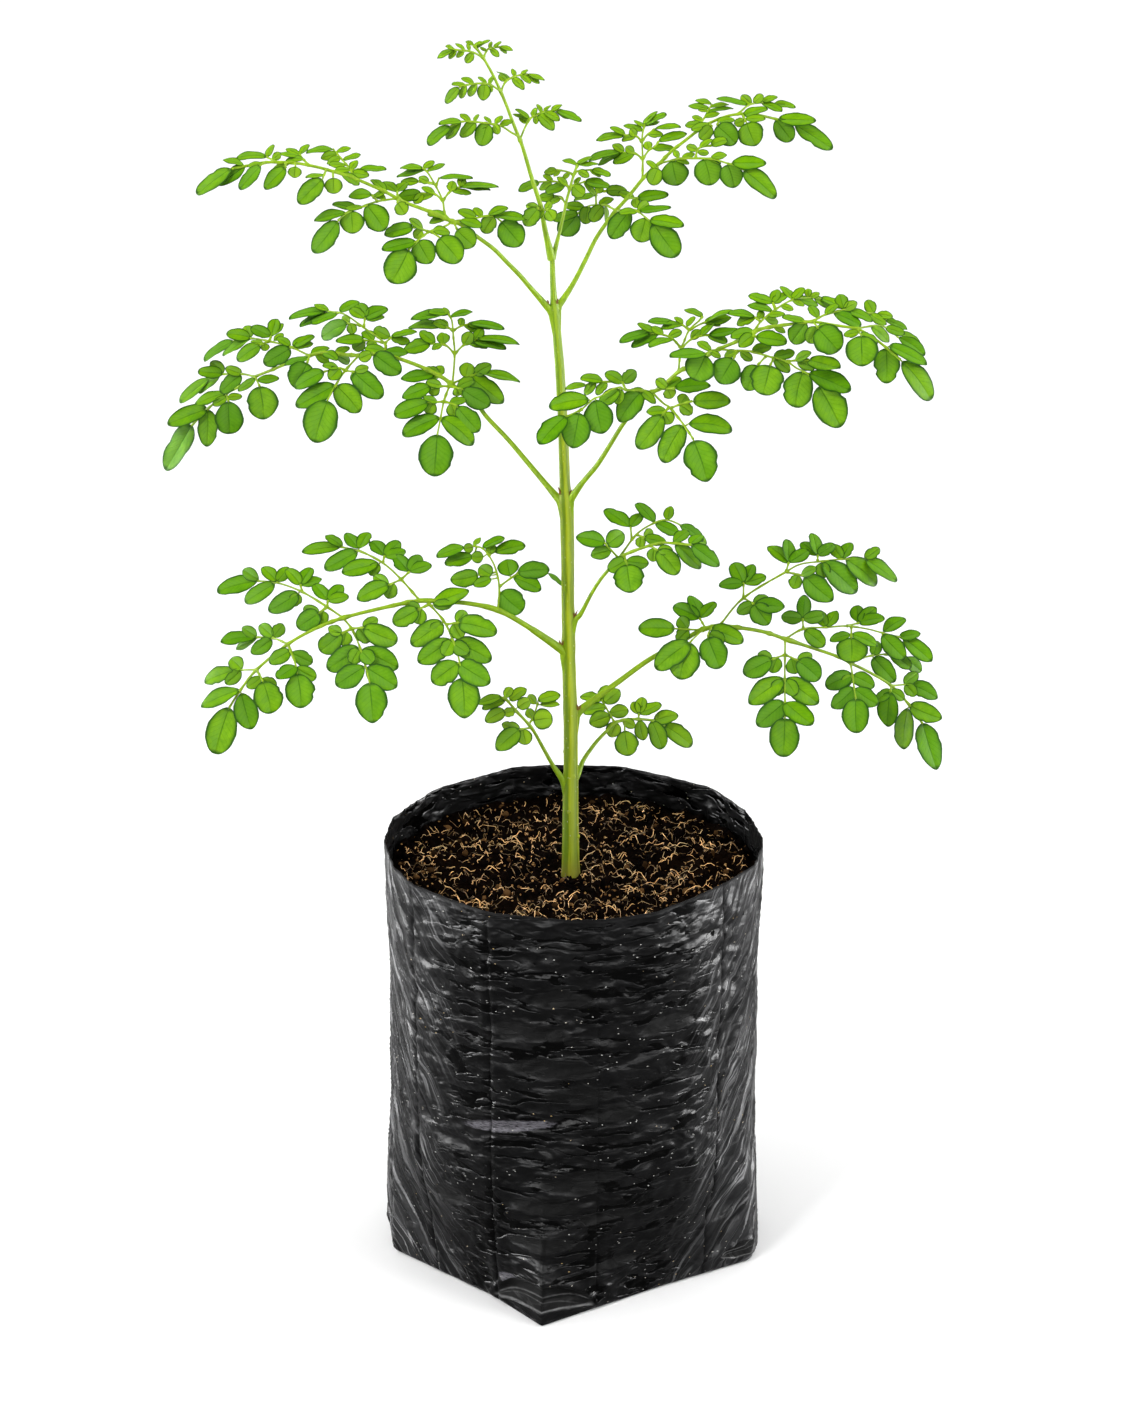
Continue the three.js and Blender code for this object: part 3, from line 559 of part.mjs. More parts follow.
     leaves: [[-21, 588.4, -14.3, 585.8, 1.8], [-21.5, 588.3, -16.5, 584.4, 2.3], [-24.3, 588, -20.2, 584.5, 2.2],
                [-28, 586.8, -23.3, 581.8, 3.2], [-30.3, 585.4, -33.5, 587.8, 2.6], [-29.8, 585.8, -34.3, 589.3, 1.5],
                [-27, 587.3, -27.8, 590.6, 1.9], [-24, 588, -21.3, 590.2, 1.4]]},
    {near: 8, path: [-41, 596, -44.2, 598, -47.3, 599.1, -49.4, 599.4, -54, 599.8],
     leaves: [[-54, 599.8, -60.7, 596, 2.2], [-53, 599.7, -56, 596, 2.2], [-49.6, 599.4, -52.6, 596.6, 2.2],
                [-45.5, 598.4, -48.5, 594.3, 3.2], [-49.5, 599.4, -53, 602.2, 1.4], [-53.5, 599.8, -57.5, 601, 1.5],
                [-47.5, 599.2, -47.8, 602.3, 1.5]]},
    {near: -8, path: [-41, 596, -39.5, 599.1, -38, 600.5, -33.5, 601.2],
     leaves: [[-38, 600.3, -34.3, 597, 2.4], [-39.6, 599, -42, 600.8, 1.3], [-37.8, 600.6, -37.3, 603.2, 1.5],
                [-36, 600.8, -33.2, 603.2, 1.4], [-34, 601.1, -30.8, 598.4, 1.8], [-33.5, 601.2, -28.3, 599.5, 1.8]]}]},
];

// Outline of the bag's foot on the floor: a square bag with two folded corners
const FOOT = [
  [-15.1, -98.2], [42, -59.1], [72.2, -40.5], [85.4, -32.4], [89, -18], [89, 8], [86.6, 22.7], [39, 68.3],
  [15.1, 98.2], [-42, 59.1], [-72.2, 40.5], [-85.4, 32.4], [-89, 18], [-89, -8], [-86.6, -22.7], [-39, -68.3],
];

// Solids

function solidOf(geometry) {
  geometry.deleteAttribute('normal');
  geometry.deleteAttribute('uv');
  const merged = mergeVertices(geometry, 1e-5);
  const corners = merged.index.array;
  const triangles = [];
  for (let i = 0; i < corners.length; i += 3) {
    const [a, b, c] = [corners[i], corners[i + 1], corners[i + 2]];
    if (a !== b && b !== c && c !== a) {
      triangles.push(a, b, c);
    }
  }
  return new wasm.Manifold(new wasm.Mesh({
    numProp: 3,
    vertProperties: new Float32Array(merged.attributes.position.array),
    triVerts: new Uint32Array(triangles),
  }));
}

function geometryOf(solid) {
  const mesh = solid.getMesh();
  const geometry = new THREE.BufferGeometry();
  geometry.setAttribute('position', new THREE.BufferAttribute(new Float32Array(mesh.vertProperties), 3));
  geometry.setIndex(new THREE.BufferAttribute(new Uint32Array(mesh.triVerts), 1));
  geometry.computeVertexNormals();
  return geometry;
}

function geometryFrom(points, faces) {
  const geometry = new THREE.BufferGeometry();
  const numbers = [];
  for (const p of points) {
    numbers.push(p.x, p.y, p.z);
  }
  geometry.setAttribute('position', new THREE.Float32BufferAttribute(numbers, 3));
  geometry.setIndex(faces);
  geometry.computeVertexNormals();
  return geometry;
}

// A closed skin over rings of equal count. Each end is a fan, from a middle point where one is given.
// Each four-sided patch is split from corner to corner, and from a given ring on the other way round.
function ringSolid(rings, startMiddle, endMiddle, otherWayFrom) {
  const points = [];
  const faces = [];
  const count = rings[0].length;
  for (const ring of rings) {
    points.push(...ring);
  }
  for (let r = 0; r + 1 < rings.length; r += 1) {
    for (let i = 0; i < count; i += 1) {
      const j = (i + 1) % count;
      const a = r * count + i;
      const b = r * count + j;
      const c = (r + 1) * count + j;
      const d = (r + 1) * count + i;
      if (otherWayFrom && r >= otherWayFrom) {
        faces.push(a, b, d, b, c, d);
      } else {
        faces.push(a, b, c, a, c, d);
      }
    }
  }
  const base = (rings.length - 1) * count;
  if (startMiddle === null) {
    for (let i = 1; i + 1 < count; i += 1) {
      faces.push(0, i + 1, i);
      faces.push(base, base + i, base + i + 1);
    }
    return geometryFrom(points, faces);
  }
  const first = points.push(startMiddle) - 1;
  const last = points.push(endMiddle) - 1;
  for (let i = 0; i < count; i += 1) {
    const j = (i + 1) % count;
    faces.push(first, j, i);
    faces.push(last, base + i, base + j);
  }
  return geometryFrom(points, faces);
}

// Bag

function footRadius(angle) {
  const dx = Math.cos(angle);
  const dy = Math.sin(angle);
  let best = BODY_RADIUS;
  for (let i = 0; i < FOOT.length; i += 1) {
    const [ax, ay] = FOOT[i];
    const [bx, by] = FOOT[(i + 1) % FOOT.length];
    const ex = bx - ax;
    const ey = by - ay;
    const cross = dx * ey - dy * ex;
    const t = (ax * ey - ay * ex) / cross;
    const s = (ax * dy - ay * dx) / cross;
    if (t > 0 && s >= -1e-9 && s <= 1 + 1e-9) {
      best = t;
    }
  }
  return best;
}

function smooth(edge, value) {
  const t = Math.min(1, Math.max(0, value / edge));
  return t * t * (3 - 2 * t);
}

function bagRadius(angle, height) {
  const blend = smooth(CORNER_BLEND_HEIGHT, height);
  const flare = Math.max(0, (height - 150) / (BAG_HEIGHT - 150));
  const body = BODY_RADIUS + (RIM_RADIUS - BODY_RADIUS) * flare;
  const flat = Math.exp(-(((angle + 0.6) / 0.16) ** 2));
  return footRadius(angle) * (1 - blend) + body * blend - 3.2 * flat * blend;
}

function bagRing(height, inset) {
  const ring = [];
  for (let i = 0; i < BAG_SIDES; i += 1) {
    let angle = THREE.MathUtils.degToRad(FRONT_CORNER_DEG) + (i / BAG_SIDES) * Math.PI * 2;
    if (angle > Math.PI) {
      angle -= Math.PI * 2;
    }
    const radius = bagRadius(angle, height) - inset;
    ring.push(new THREE.Vector3(radius * Math.cos(angle), radius * Math.sin(angle), height));
  }
  return ring;
}

// The inside of the wall is split into the same triangles as the outside, so the film is even
function buildBag() {
  const rings = [bagRing(0, 1.2), bagRing(1.6, 0)];
  for (const height of [...WALL_HEIGHTS, BAG_HEIGHT]) {
    rings.push(bagRing(height, 0));
  }
  for (const height of [BAG_HEIGHT, ...[...WALL_HEIGHTS].reverse()]) {
    rings.push(bagRing(height, FILM));
  }
  const floor = bagRing(1.6, FILM + 0.6);
  for (const p of floor) {
    p.z = FILM;
  }
  rings.push(floor);
  const inside = WALL_HEIGHTS.length + 3;
  return solidOf(ringSolid(rings, new THREE.Vector3(0, 0, 0), new THREE.Vector3(0, 0, FILM), inside));
}

// Main stem, grown outwards by a clearance where another piece has to keep clear of it

function stemAt(height) {
  let k = 1;
  while (k < STEM.length - 1 && STEM[k][0] < height) {
    k += 1;
  }
  const [z0, x0, r0] = STEM[k - 1];
  const [z1, x1, r1] = STEM[k];
  const t = (height - z0) / (z1 - z0);
  return { x: x0 + (x1 - x0) * t, r: r0 + (r1 - r0) * t };
}

function buildStem(clearance) {
  const rings = [];
  for (let k = 0; k < STEM.length; k += 1) {
    const [z, x, r] = STEM[k];
    const ring = [];
    const edge = k === STEM.length - 1 ? clearance : 0;
    const foot = k === 0 ? clearance : 0;
    for (let i = 0; i < STEM_SIDES; i += 1) {
      const angle = ((i + 0.5) / STEM_SIDES) * Math.PI * 2;
      const radius = (r + clearance) / Math.cos(Math.PI / STEM_SIDES / 2);
      ring.push(new THREE.Vector3(x + radius * Math.cos(angle), radius * Math.sin(angle), z + edge - foot));
    }
    rings.push(ring);
  }
  const [topZ, topX] = STEM[STEM.length - 1];
  const foot = new THREE.Vector3(STEM[0][1], 0, STEM_FOOT - clearance);
  const top = new THREE.Vector3(topX, 0, topZ + 0.5 + clearance);
  let solid = solidOf(ringSolid(rings, foot, top));
  for (const [x0, z0, x1, z1] of SCALES) {
    const from = new THREE.Vector3(x0, -1, z0);
    const to = new THREE.Vector3(x1, -2.6, z1);
    solid = solid.add(stalk([from, to], [0.8 + clearance, 0.35 + clearance], 3));
  }
  return solid;
}

// Soil: a plug that fills the bag, with a crumbly top and a plain hole for the stem.
// Its patches are split as those of the bag wall are, so the gap between them is even.

function crumb(x, y) {
  return Math.sin(x * 0.21 + 1.3) * Math.cos(y * 0.19 - 0.4) + 0.6 * Math.sin(x * 0.47 - y * 0.39 + 2.1)
    + 0.5 * Math.cos(x * 0.83 + y * 0.71);
}

function buildSoil(stemHole) {
  const inset = FILM + SEAT_GAP;
  const rings = [];
  const bottom = bagRing(1.6, inset + 1.6);
  for (const p of bottom) {
    p.z = FILM + SEAT_GAP;
  }
  rings.push(bottom);
  for (const height of WALL_HEIGHTS) {
    rings.push(bagRing(height, inset));
  }
  const top = bagRing(SOIL_HEIGHT, inset);
  for (const p of top) {
    p.z += SOIL_RELIEF * crumb(p.x, p.y) * 0.6;
  }
  rings.push(top);
  for (const share of [0.66, 0.3]) {
    const ring = bagRing(SOIL_HEIGHT, inset);
    for (const p of ring) {
      p.x *= share;
      p.y *= share;
      p.z = SOIL_HEIGHT + SOIL_RELIEF * crumb(p.x, p.y);
    }
    rings.push(ring);
  }
  const middle = new THREE.Vector3(0, 0, SOIL_HEIGHT + 0.4);
  const plug = ringSolid(rings, new THREE.Vector3(0, 0, FILM + SEAT_GAP), middle);
  return solidOf(plug).subtract(stemHole);
}

// Fronds

function spacePoint(x, z, near) {
  const point = new THREE.Vector3(x, 0, z);
  const sight = VIEWER.clone().sub(point).normalize();
  return point.addScaledVector(sight, near);
}

function pairsOf(numbers) {
  const pairs = [];
  for (let i = 0; i < numbers.length; i += 2) {
    pairs.push([numbers[i], numbers[i + 1]]);
  }
  return pairs;
}

// The nearest place on a path, as seen by the viewer, with its nearness
function nearestOn(path, x, z) {
  let best = null;
  for (let i = 0; i + 1 < path.length; i += 1) {
    const a = path[i];
    const b = path[i + 1];
    const dx = b.x - a.x;
    const dz = b.z - a.z;
    const t = Math.min(1, Math.max(0, ((x - a.x) * dx + (z - a.z) * dz) / (dx * dx + dz * dz)));
    const px = a.x + dx * t;
    const pz = a.z + dz * t;
    const gap = Math.hypot(x - px, z - pz);
    if (best === null || gap < best.gap) {
      best = { gap, x: px, z: pz, near: a.near + (b.near - a.near) * t, run: i + t };
    }
  }
  return best;
}

// Nearness runs evenly along a path from its start to its end
function laidPath(pairs, startNear, endNear) {
  const lengths = [0];
  for (let i = 1; i < pairs.length; i += 1) {
    const step = Math.hypot(pairs[i][0] - pairs[i - 1][0], pairs[i][1] - pairs[i - 1][1]);
    lengths.push(lengths[i - 1] + step);
  }
  const total = lengths[lengths.length - 1];
  return pairs.map(([x, z], i) => ({ x, z, near: startNear + (endNear - startNear) * (lengths[i] / total) }));
}

// Leaves out the points that lie within the tolerance of a straight run
function thinned(path) {
  if (path.length < 3) {
    return path;
  }
  const a = path[0];
  const b = path[path.length - 1];
  const A = spacePoint(a.x, a.z, a.near);
  const B = spacePoint(b.x, b.z, b.near);
  const line = new THREE.Line3(A, B);
  let worst = 0;
  let at = -1;
  for (let i = 1; i + 1 < path.length; i += 1) {
    const P = spacePoint(path[i].x, path[i].z, path[i].near);
    const gap = line.closestPointToPoint(P, true, new THREE.Vector3()).distanceTo(P);
    if (gap > worst) {
      worst = gap;
      at = i;
    }
  }
  if (worst < PATH_TOLERANCE) {
    return [a, b];
  }
  const front = thinned(path.slice(0, at + 1));
  const back = thinned(path.slice(at));
  return [...front, ...back.slice(1)];
}

// A closed tapering stalk along points in space
function stalk(points, radii, sides) {
  const rings = [];
  let side = null;
  for (let i = 0; i < points.length; i += 1) {
    const before = points[Math.max(0, i - 1)];
    const after = points[Math.min(points.length - 1, i + 1)];
    const along = after.clone().sub(before).normalize();
    if (side === null) {
      side = new THREE.Vector3(0, 1, 0).cross(along);
      if (side.length() < 0.2) {
        side = new THREE.Vector3(1, 0, 0).cross(along);
      }
    }
    side.addScaledVector(along, -side.dot(along)).normalize();
    const up = along.clone().cross(side);
    const ring = [];
    for (let k = 0; k < sides; k += 1) {
      const angle = (k / sides) * Math.PI * 2 + 0.3;
      const p = points[i].clone();
      p.addScaledVector(side, radii[i] * Math.cos(angle));
      p.addScaledVector(up, radii[i] * Math.sin(angle));
      ring.push(p);
    }
    rings.push(ring);
  }
  return solidOf(ringSolid(rings, null, null));
}

// Half widths of the leaflet outlines, as shares, from the foot to the tip
const OUTLINES = {
  small: [[0.48, 1], [1, 0]],
  middle: [[0.4, 1], [1, 0.42]],
  large: [[0.32, 1], [0.74, 0.8], [1, 0]],
};

// How a leaflet lies: it faces the viewer, or is tipped back to face upwards as far as its seen width asks for
function leafletPose(root, foot, tip, seenWidth) {
  const along = tip.clone().sub(foot);
  const length = along.length();
  along.normalize();
  const sight = VIEWER.clone().sub(foot).normalize();
  sight.addScaledVector(along, -sight.dot(along)).normalize();
  const across = along.clone().cross(sight);
  const width = Math.max(seenWidth, Math.min(0.56 * length, seenWidth / 0.36));
  const cos = seenWidth / width;
  const sin = Math.sqrt(1 - cos * cos);
  const lean = across.z > 0 ? 1 : -1;
  const face = sight.clone().multiplyScalar(cos).addScaledVector(across, sin * lean);
  const wide = along.clone().cross(face);
  let outline = OUTLINES.middle;
  if (length < SMALL_LENGTH) {
    outline = OUTLINES.small;
  } else if (length > LARGE_LENGTH) {
    outline = OUTLINES.large;
  }
  const rim = [];
  const back = [];
  if (root.distanceTo(foot) > LONG_PETIOLE) {
    rim.push(foot.clone().addScaledVector(wide, 0.4));
    back.push(foot.clone().addScaledVector(wide, -0.4));
  }
  for (const [share, half] of outline) {
    const middle = foot.clone().addScaledVector(along, length * share);
    if (half === 0) {
      rim.push(middle);
    } else {
      rim.push(middle.clone().addScaledVector(wide, half * width / 2));
      back.unshift(middle.clone().addScaledVector(wide, -half * width / 2));
    }
  }
  rim.push(...back);
  const testRim = [...rim, foot.clone().lerp(tip, 0.1)];
  return { root, foot, tip, face, rim, testRim };
}

// Whether a straight run passes through a triangle
function pierces(from, to, a, b, c) {
  const run = to.clone().sub(from);
  const e1 = b.clone().sub(a);
  const e2 = c.clone().sub(a);
  const h = run.clone().cross(e2);
  const det = e1.dot(h);
  if (Math.abs(det) < 1e-9) {
    return false;
  }
  const s = from.clone().sub(a);
  const u = s.dot(h) / det;
  const q = s.clone().cross(e1);
  const v = run.dot(q) / det;
  const t = e2.dot(q) / det;
  return u >= 0 && v >= 0 && u + v <= 1 && t >= 0 && t <= 1;
}

function runPierces(from, to, rim) {
  for (let k = 1; k + 1 < rim.length; k += 1) {
    if (pierces(from, to, rim[0], rim[k], rim[k + 1])) {
      return true;
    }
  }
  return false;
}

function rimsCross(p, q) {
  for (const [one, other] of [[p, q], [q, p]]) {
    for (let i = 0; i < one.length; i += 1) {
      if (runPierces(one[i], one[(i + 1) % one.length], other)) {
        return true;
      }
    }
  }
  return false;
}

// A leaflet that points upwards in the view runs away from the viewer, one that hangs comes a little nearer
function leafTipNear(near, dz) {
  return near + (dz > 0 ? -1.1 * dz : -0.25 * dz);
}

// The leaflets along one path. One that would cut through a leaflet or a stalk that is already there
// is bent nearer to the viewer or away until it is clear.
function posedLeaves(leaves, path, grown, stalks, least) {
  const poses = [];
  for (const [x0, z0, x1, z1, width] of leaves) {
    const length = Math.hypot(x1 - x0, z1 - z0);
    if (length * width < least) {
      continue;
    }
    const place = nearestOn(path, x0, z0);
    const end = path[path.length - 1];
    const before = path[path.length - 2];
    const root = spacePoint(place.x, place.z, place.near);
    const last = spacePoint(end.x, end.z, end.near);
    if (root.distanceTo(last) < END_ROOT) {
      const back = spacePoint(before.x, before.z, before.near).sub(last).normalize();
      root.copy(last).addScaledVector(back, END_ROOT);
    }
    const foot = spacePoint(x0, z0, place.near);
    const tipNear = leafTipNear(place.near, z1 - z0);
    for (const bend of BENDS) {
      const tip = spacePoint(x1, z1, tipNear + bend * length);
      const pose = leafletPose(root, foot, tip, width);
      pose.run = place.run;
      const blocked = grown.some((other) => rimsCross(pose.testRim, other.testRim))
        || stalks.some(([from, to]) => runPierces(from, to, pose.testRim));
      if (!blocked) {
        grown.push(pose);
        poses.push(pose);
        break;
      }
    }
  }
  return poses;
}

// Lengths along a path in space
function measured(points) {
  const lengths = [0];
  for (let i = 1; i < points.length; i += 1) {
    lengths.push(lengths[i - 1] + points[i].distanceTo(points[i - 1]));
  }
  return lengths;
}

function pointAlong(points, lengths, s) {
  let i = 1;
  while (i < points.length - 1 && lengths[i] < s) {
    i += 1;
  }
  const t = (s - lengths[i - 1]) / (lengths[i] - lengths[i - 1]);
  return points[i - 1].clone().lerp(points[i], t);
}

// Whether two convex outlines in the plane overlap
function outlinesOverlap(p, q) {
  for (const shape of [p, q]) {
    for (let i = 0; i < shape.length; i += 1) {
      const [x0, y0] = shape[i];
      const [x1, y1] = shape[(i + 1) % shape.length];
      const reach = ([x, y]) => (x - x0) * (y1 - y0) - (y - y0) * (x1 - x0);
      const pLow = Math.min(...p.map(reach));
      const pHigh = Math.max(...p.map(reach));
      const qLow = Math.min(...q.map(reach));
      const qHigh = Math.max(...q.map(reach));
      if (pHigh <= qLow || qHigh <= pLow) {
        return false;
      }
    }
  }
  return true;
}

// How the patch between a leaflet's foot and its first wide points is split, so that both halves face the viewer
function patchSplit(outline) {
  const turn = ([x0, y0], [x1, y1], [x2, y2]) => (x1 - x0) * (y2 - y1) - (y1 - y0) * (x2 - x1);
  const [a, first] = outline;
  const [last, b] = outline.slice(-2);
  const one = Math.min(turn(first, last, b), turn(first, b, a));
  const other = Math.min(turn(a, first, last), turn(a, last, b));
  if (Math.max(one, other) < 0.08) {
    return null;
  }
  return one > other ? 'one' : 'other';
}

// An outline drawn in a little towards its middle
function drawnIn(outline, by) {
  const cx = outline.reduce((sum, p) => sum + p[0], 0) / outline.length;
  const cy = outline.reduce((sum, p) => sum + p[1], 0) / outline.length;
  return outline.map(([x, y]) => {
    const share = by / Math.hypot(cx - x, cy - y);
    return [x + (cx - x) * share, y + (cy - y) * share];
  });
}

// A stalk with leaflets in one closed skin: two like faces, one in front of the other as the viewer sees them,
// and a wall between their edges. Leaflets whose outlines lie free of each other grow out of the left and
// right edges and the end of the stalk, and the others are given back. A side stalk starts from a point in
// the core of its parent and swells to its own thickness just outside it.
function leafyStalk(plan, seats) {
  const { path, poses, startHalf, endHalf, parent } = plan;
  const spine = path.map((p) => spacePoint(p.x, p.z, p.near));
  const lengths = measured(spine);
  const total = lengths[lengths.length - 1];
  const front = VIEWER.clone().sub(spine[0]).normalize();
  const e1 = new THREE.Vector3(1, 0, 0).addScaledVector(front, -front.x).normalize();
  const e2 = front.clone().cross(e1);
  const seen = (p) => [p.dot(e1), p.dot(e2)];
  const alongAt = (s) => {
    const from = pointAlong(spine, lengths, Math.max(0, s - 0.9));
    const to = pointAlong(spine, lengths, Math.min(total, s + 0.9));
    return to.sub(from).normalize();
  };
  const edgeAt = (s, sign) => {
    const half = startHalf + (endHalf - startHalf) * (s / total);
    const right = alongAt(s).cross(front).normalize();
    return pointAlong(spine, lengths, s).addScaledVector(right, sign * half);
  };
  const collar = parent ? Math.min(COLLAR, total * 0.5) : 0;
  const stripes = [];
  for (let i = 1; i < lengths.length; i += 1) {
    const from = i === 1 ? collar : lengths[i - 1];
    if (from < lengths[i]) {
      stripes.push([edgeAt(from, 1), edgeAt(lengths[i], 1), edgeAt(lengths[i], -1), edgeAt(from, -1)].map(seen));
    }
  }
  // Where each leaflet would stand
  const loose = [];
  const seated = { right: [], left: [], end: [] };
  const taken = [];
  const trySeat = (pose, side, a, b) => {
    const outline = [a, ...pose.rim, b].map(seen);
    const inner = drawnIn(outline, 0.35);
    pose.split = patchSplit(outline);
    const free = pose.split !== null && !taken.some((other) => outlinesOverlap(outline, other))
      && !stripes.some((stripe) => outlinesOverlap(inner, stripe));
    if (free) {
      taken.push(drawnIn(outline, 0.04));
      seated[side].push(pose);
    }
    return free;
  };
  for (const pose of poses) {
    const i = Math.min(path.length - 2, Math.floor(pose.run));
    pose.s = lengths[i] + (lengths[i + 1] - lengths[i]) * (pose.run - i);
    const way = pose.tip.clone().sub(pose.root).normalize();
    pose.forward = way.dot(alongAt(pose.s));
    pose.side = way.dot(alongAt(pose.s).cross(front)) > 0 ? 'right' : 'left';
  }
  const forward = [...poses].sort((p, q) => q.forward - p.forward).find((p) => p.s > total - 1 && p.forward > 0.6);
  let endPose = null;
  if (forward && seats.includes('end') && trySeat(forward, 'end', edgeAt(total, 1), edgeAt(total, -1))) {
    endPose = forward;
  }
  for (const side of ['right', 'left']) {
    const sign = side === 'right' ? 1 : -1;
    let last = collar + 0.2 - FOOT_HALF;
    const queue = poses.filter((pose) => pose !== endPose && pose.side === side);
    queue.sort((p, q) => p.s + 0.9 * p.forward - q.s - 0.9 * q.forward);
    for (const pose of queue) {
      const middle = Math.min(Math.max(pose.s, last + 2 * FOOT_HALF + 0.25), total - FOOT_HALF - 0.02);
      const fits = middle - last >= 2 * FOOT_HALF + 0.2 && Math.abs(middle - pose.s) < 2;
      const low = edgeAt(middle - FOOT_HALF, sign);
      const high = edgeAt(middle + FOOT_HALF, sign);
      const [a, b] = side === 'right' ? [low, high] : [high, low];
      if (fits && seats.includes(side) && trySeat(pose, side, a, b)) {
        pose.middle = middle;
        last = middle;
      } else {
        loose.push(pose);
      }
    }
  }
  // The skin
  const points = [];
  const faces = [];
  const put = (p, half) => points.push(p.clone().addScaledVector(front, half), p.clone().addScaledVector(front, -half));
  const add = (p, half) => put(p, half) / 2 - 1;
  const flat = (a, b, c) => {
    faces.push(2 * a, 2 * b, 2 * c);
    faces.push(2 * a + 1, 2 * c + 1, 2 * b + 1);
  };
  const wall = (a, b) => faces.push(2 * a + 1, 2 * b + 1, 2 * b, 2 * a + 1, 2 * b, 2 * a);
  const chain = (side) => {
    const sign = side === 'right' ? 1 : -1;
    const marks = [{ s: 0, pose: null }];
    for (const pose of seated[side]) {
      marks.push({ s: pose.middle - FOOT_HALF, pose: null }, { s: pose.middle + FOOT_HALF, pose });
    }
    const free = (s, room) => marks.slice(1).every((mark) => Math.abs(mark.s - s) > room);
    const inside = (s) => seated[side].some((pose) => Math.abs(s - pose.middle) < FOOT_HALF);
    if (free(total, 0.25)) {
      marks.push({ s: total, pose: null });
    }
    if (parent && free(collar, 0.15)) {
      marks.push({ s: collar, pose: null });
    }
    for (const s of lengths.slice(1, -1)) {
      if (s > collar + 0.8 && !inside(s) && free(s, 0.4)) {
        marks.push({ s, pose: null });
      }
    }
    marks.sort((p, q) => p.s - q.s);
    marks[marks.length - 1].s = total;
    for (const mark of marks) {
      if (mark.s === 0 && parent) {
        mark.at = add(spine[0], 0);
      } else {
        const half = startHalf + (endHalf - startHalf) * (mark.s / total);
        mark.at = add(edgeAt(mark.s, sign), 0.86 * half);
      }
    }
    return marks;
  };
  const grow = (a, pose, b) => {
    const rim = pose.rim.map((p) => add(p, (0.5 * BLADE) / Math.max(0.34, pose.face.dot(front))));
    const last = rim.length - 1;
    for (let k = 1; k + 1 < rim.length; k += 1) {
      flat(rim[0], rim[k], rim[k + 1]);
    }
    if (pose.split === 'one') {
      flat(rim[0], rim[last], b);
      flat(rim[0], b, a);
    } else {
      flat(a, rim[0], rim[last]);
      flat(a, rim[last], b);
    }
    wall(a, rim[0]);
    for (let k = 0; k < last; k += 1) {
      wall(rim[k], rim[k + 1]);
    }
    wall(rim[last], b);
  };
  const right = chain('right');
  const left = chain('left');
  for (let k = 1; k < right.length; k += 1) {
    if (right[k].pose) {
      grow(right[k - 1].at, right[k].pose, right[k].at);
    } else {
      wall(right[k - 1].at, right[k].at);
    }
  }
  for (let k = left.length - 1; k > 0; k -= 1) {
    if (left[k].pose) {
      grow(left[k].at, left[k].pose, left[k - 1].at);
    } else {
      wall(left[k].at, left[k - 1].at);
    }
  }
  const rightEnd = right[right.length - 1].at;
  const leftEnd = left[left.length - 1].at;
  if (endPose) {
    grow(rightEnd, endPose, leftEnd);
  } else {
    wall(rightEnd, leftEnd);
  }
  wall(left[0].at, right[0].at);
  let i = 0;
  let j = 0;
  while (i < left.length - 1 || j < right.length - 1) {
    const leftNext = i < left.length - 1 ? left[i + 1].s : Infinity;
    const rightNext = j < right.length - 1 ? right[j + 1].s : Infinity;
    if (rightNext <= leftNext) {
      flat(right[j].at, right[j + 1].at, left[i].at);
      j += 1;
    } else {
      flat(right[j].at, left[i + 1].at, left[i].at);
      i += 1;
    }
  }
  return { solid: solidOf(geometryFrom(points, faces)), loose };
}

// Whether an edge of a closed skin passes through one of its own faces
function crossesItself(solid) {
  const mesh = solid.getMesh();
  const triangles = [];
  for (let i = 0; i < mesh.triVerts.length; i += 3) {
    const ids = [...mesh.triVerts.slice(i, i + 3)];
    const corners = ids.map((k) => new THREE.Vector3().fromArray(mesh.vertProperties, 3 * k));
    triangles.push({ ids, corners, box: new THREE.Box3().setFromPoints(corners) });
  }
  return triangles.some((one, i) => triangles.slice(i + 1).some((other) => {
    if (!one.box.intersectsBox(other.box)) {
      return false;
    }
    return [[one, other], [other, one]].some(([edges, face]) => edges.ids.some((id, k) => {
      const next = edges.ids[(k + 1) % 3];
      return !face.ids.includes(id) && !face.ids.includes(next)
        && pierces(edges.corners[k], edges.corners[(k + 1) % 3], ...face.corners);
    }));
  }));
}

// The stalk with as many of its leaflets in its own skin as go without a crossing
function cleanStalk(plan) {
  for (const seats of [['end', 'right', 'left'], ['end', 'right'], ['end', 'left'], ['end']]) {
    const part = leafyStalk(plan, seats);
    if (!crossesItself(part.solid)) {
      return part;
    }
  }
  return leafyStalk(plan, []);
}

// A flat leaflet of one thickness, its root sunk in the core of the stalk
function leaflet(pose) {
  const rim = [...pose.rim, pose.root];
  const lower = rim.map((p) => p.clone().addScaledVector(pose.face, -BLADE / 2));
  const upper = rim.map((p) => p.clone().addScaledVector(pose.face, BLADE / 2));
  return solidOf(ringSolid([lower, upper], null, null));
}

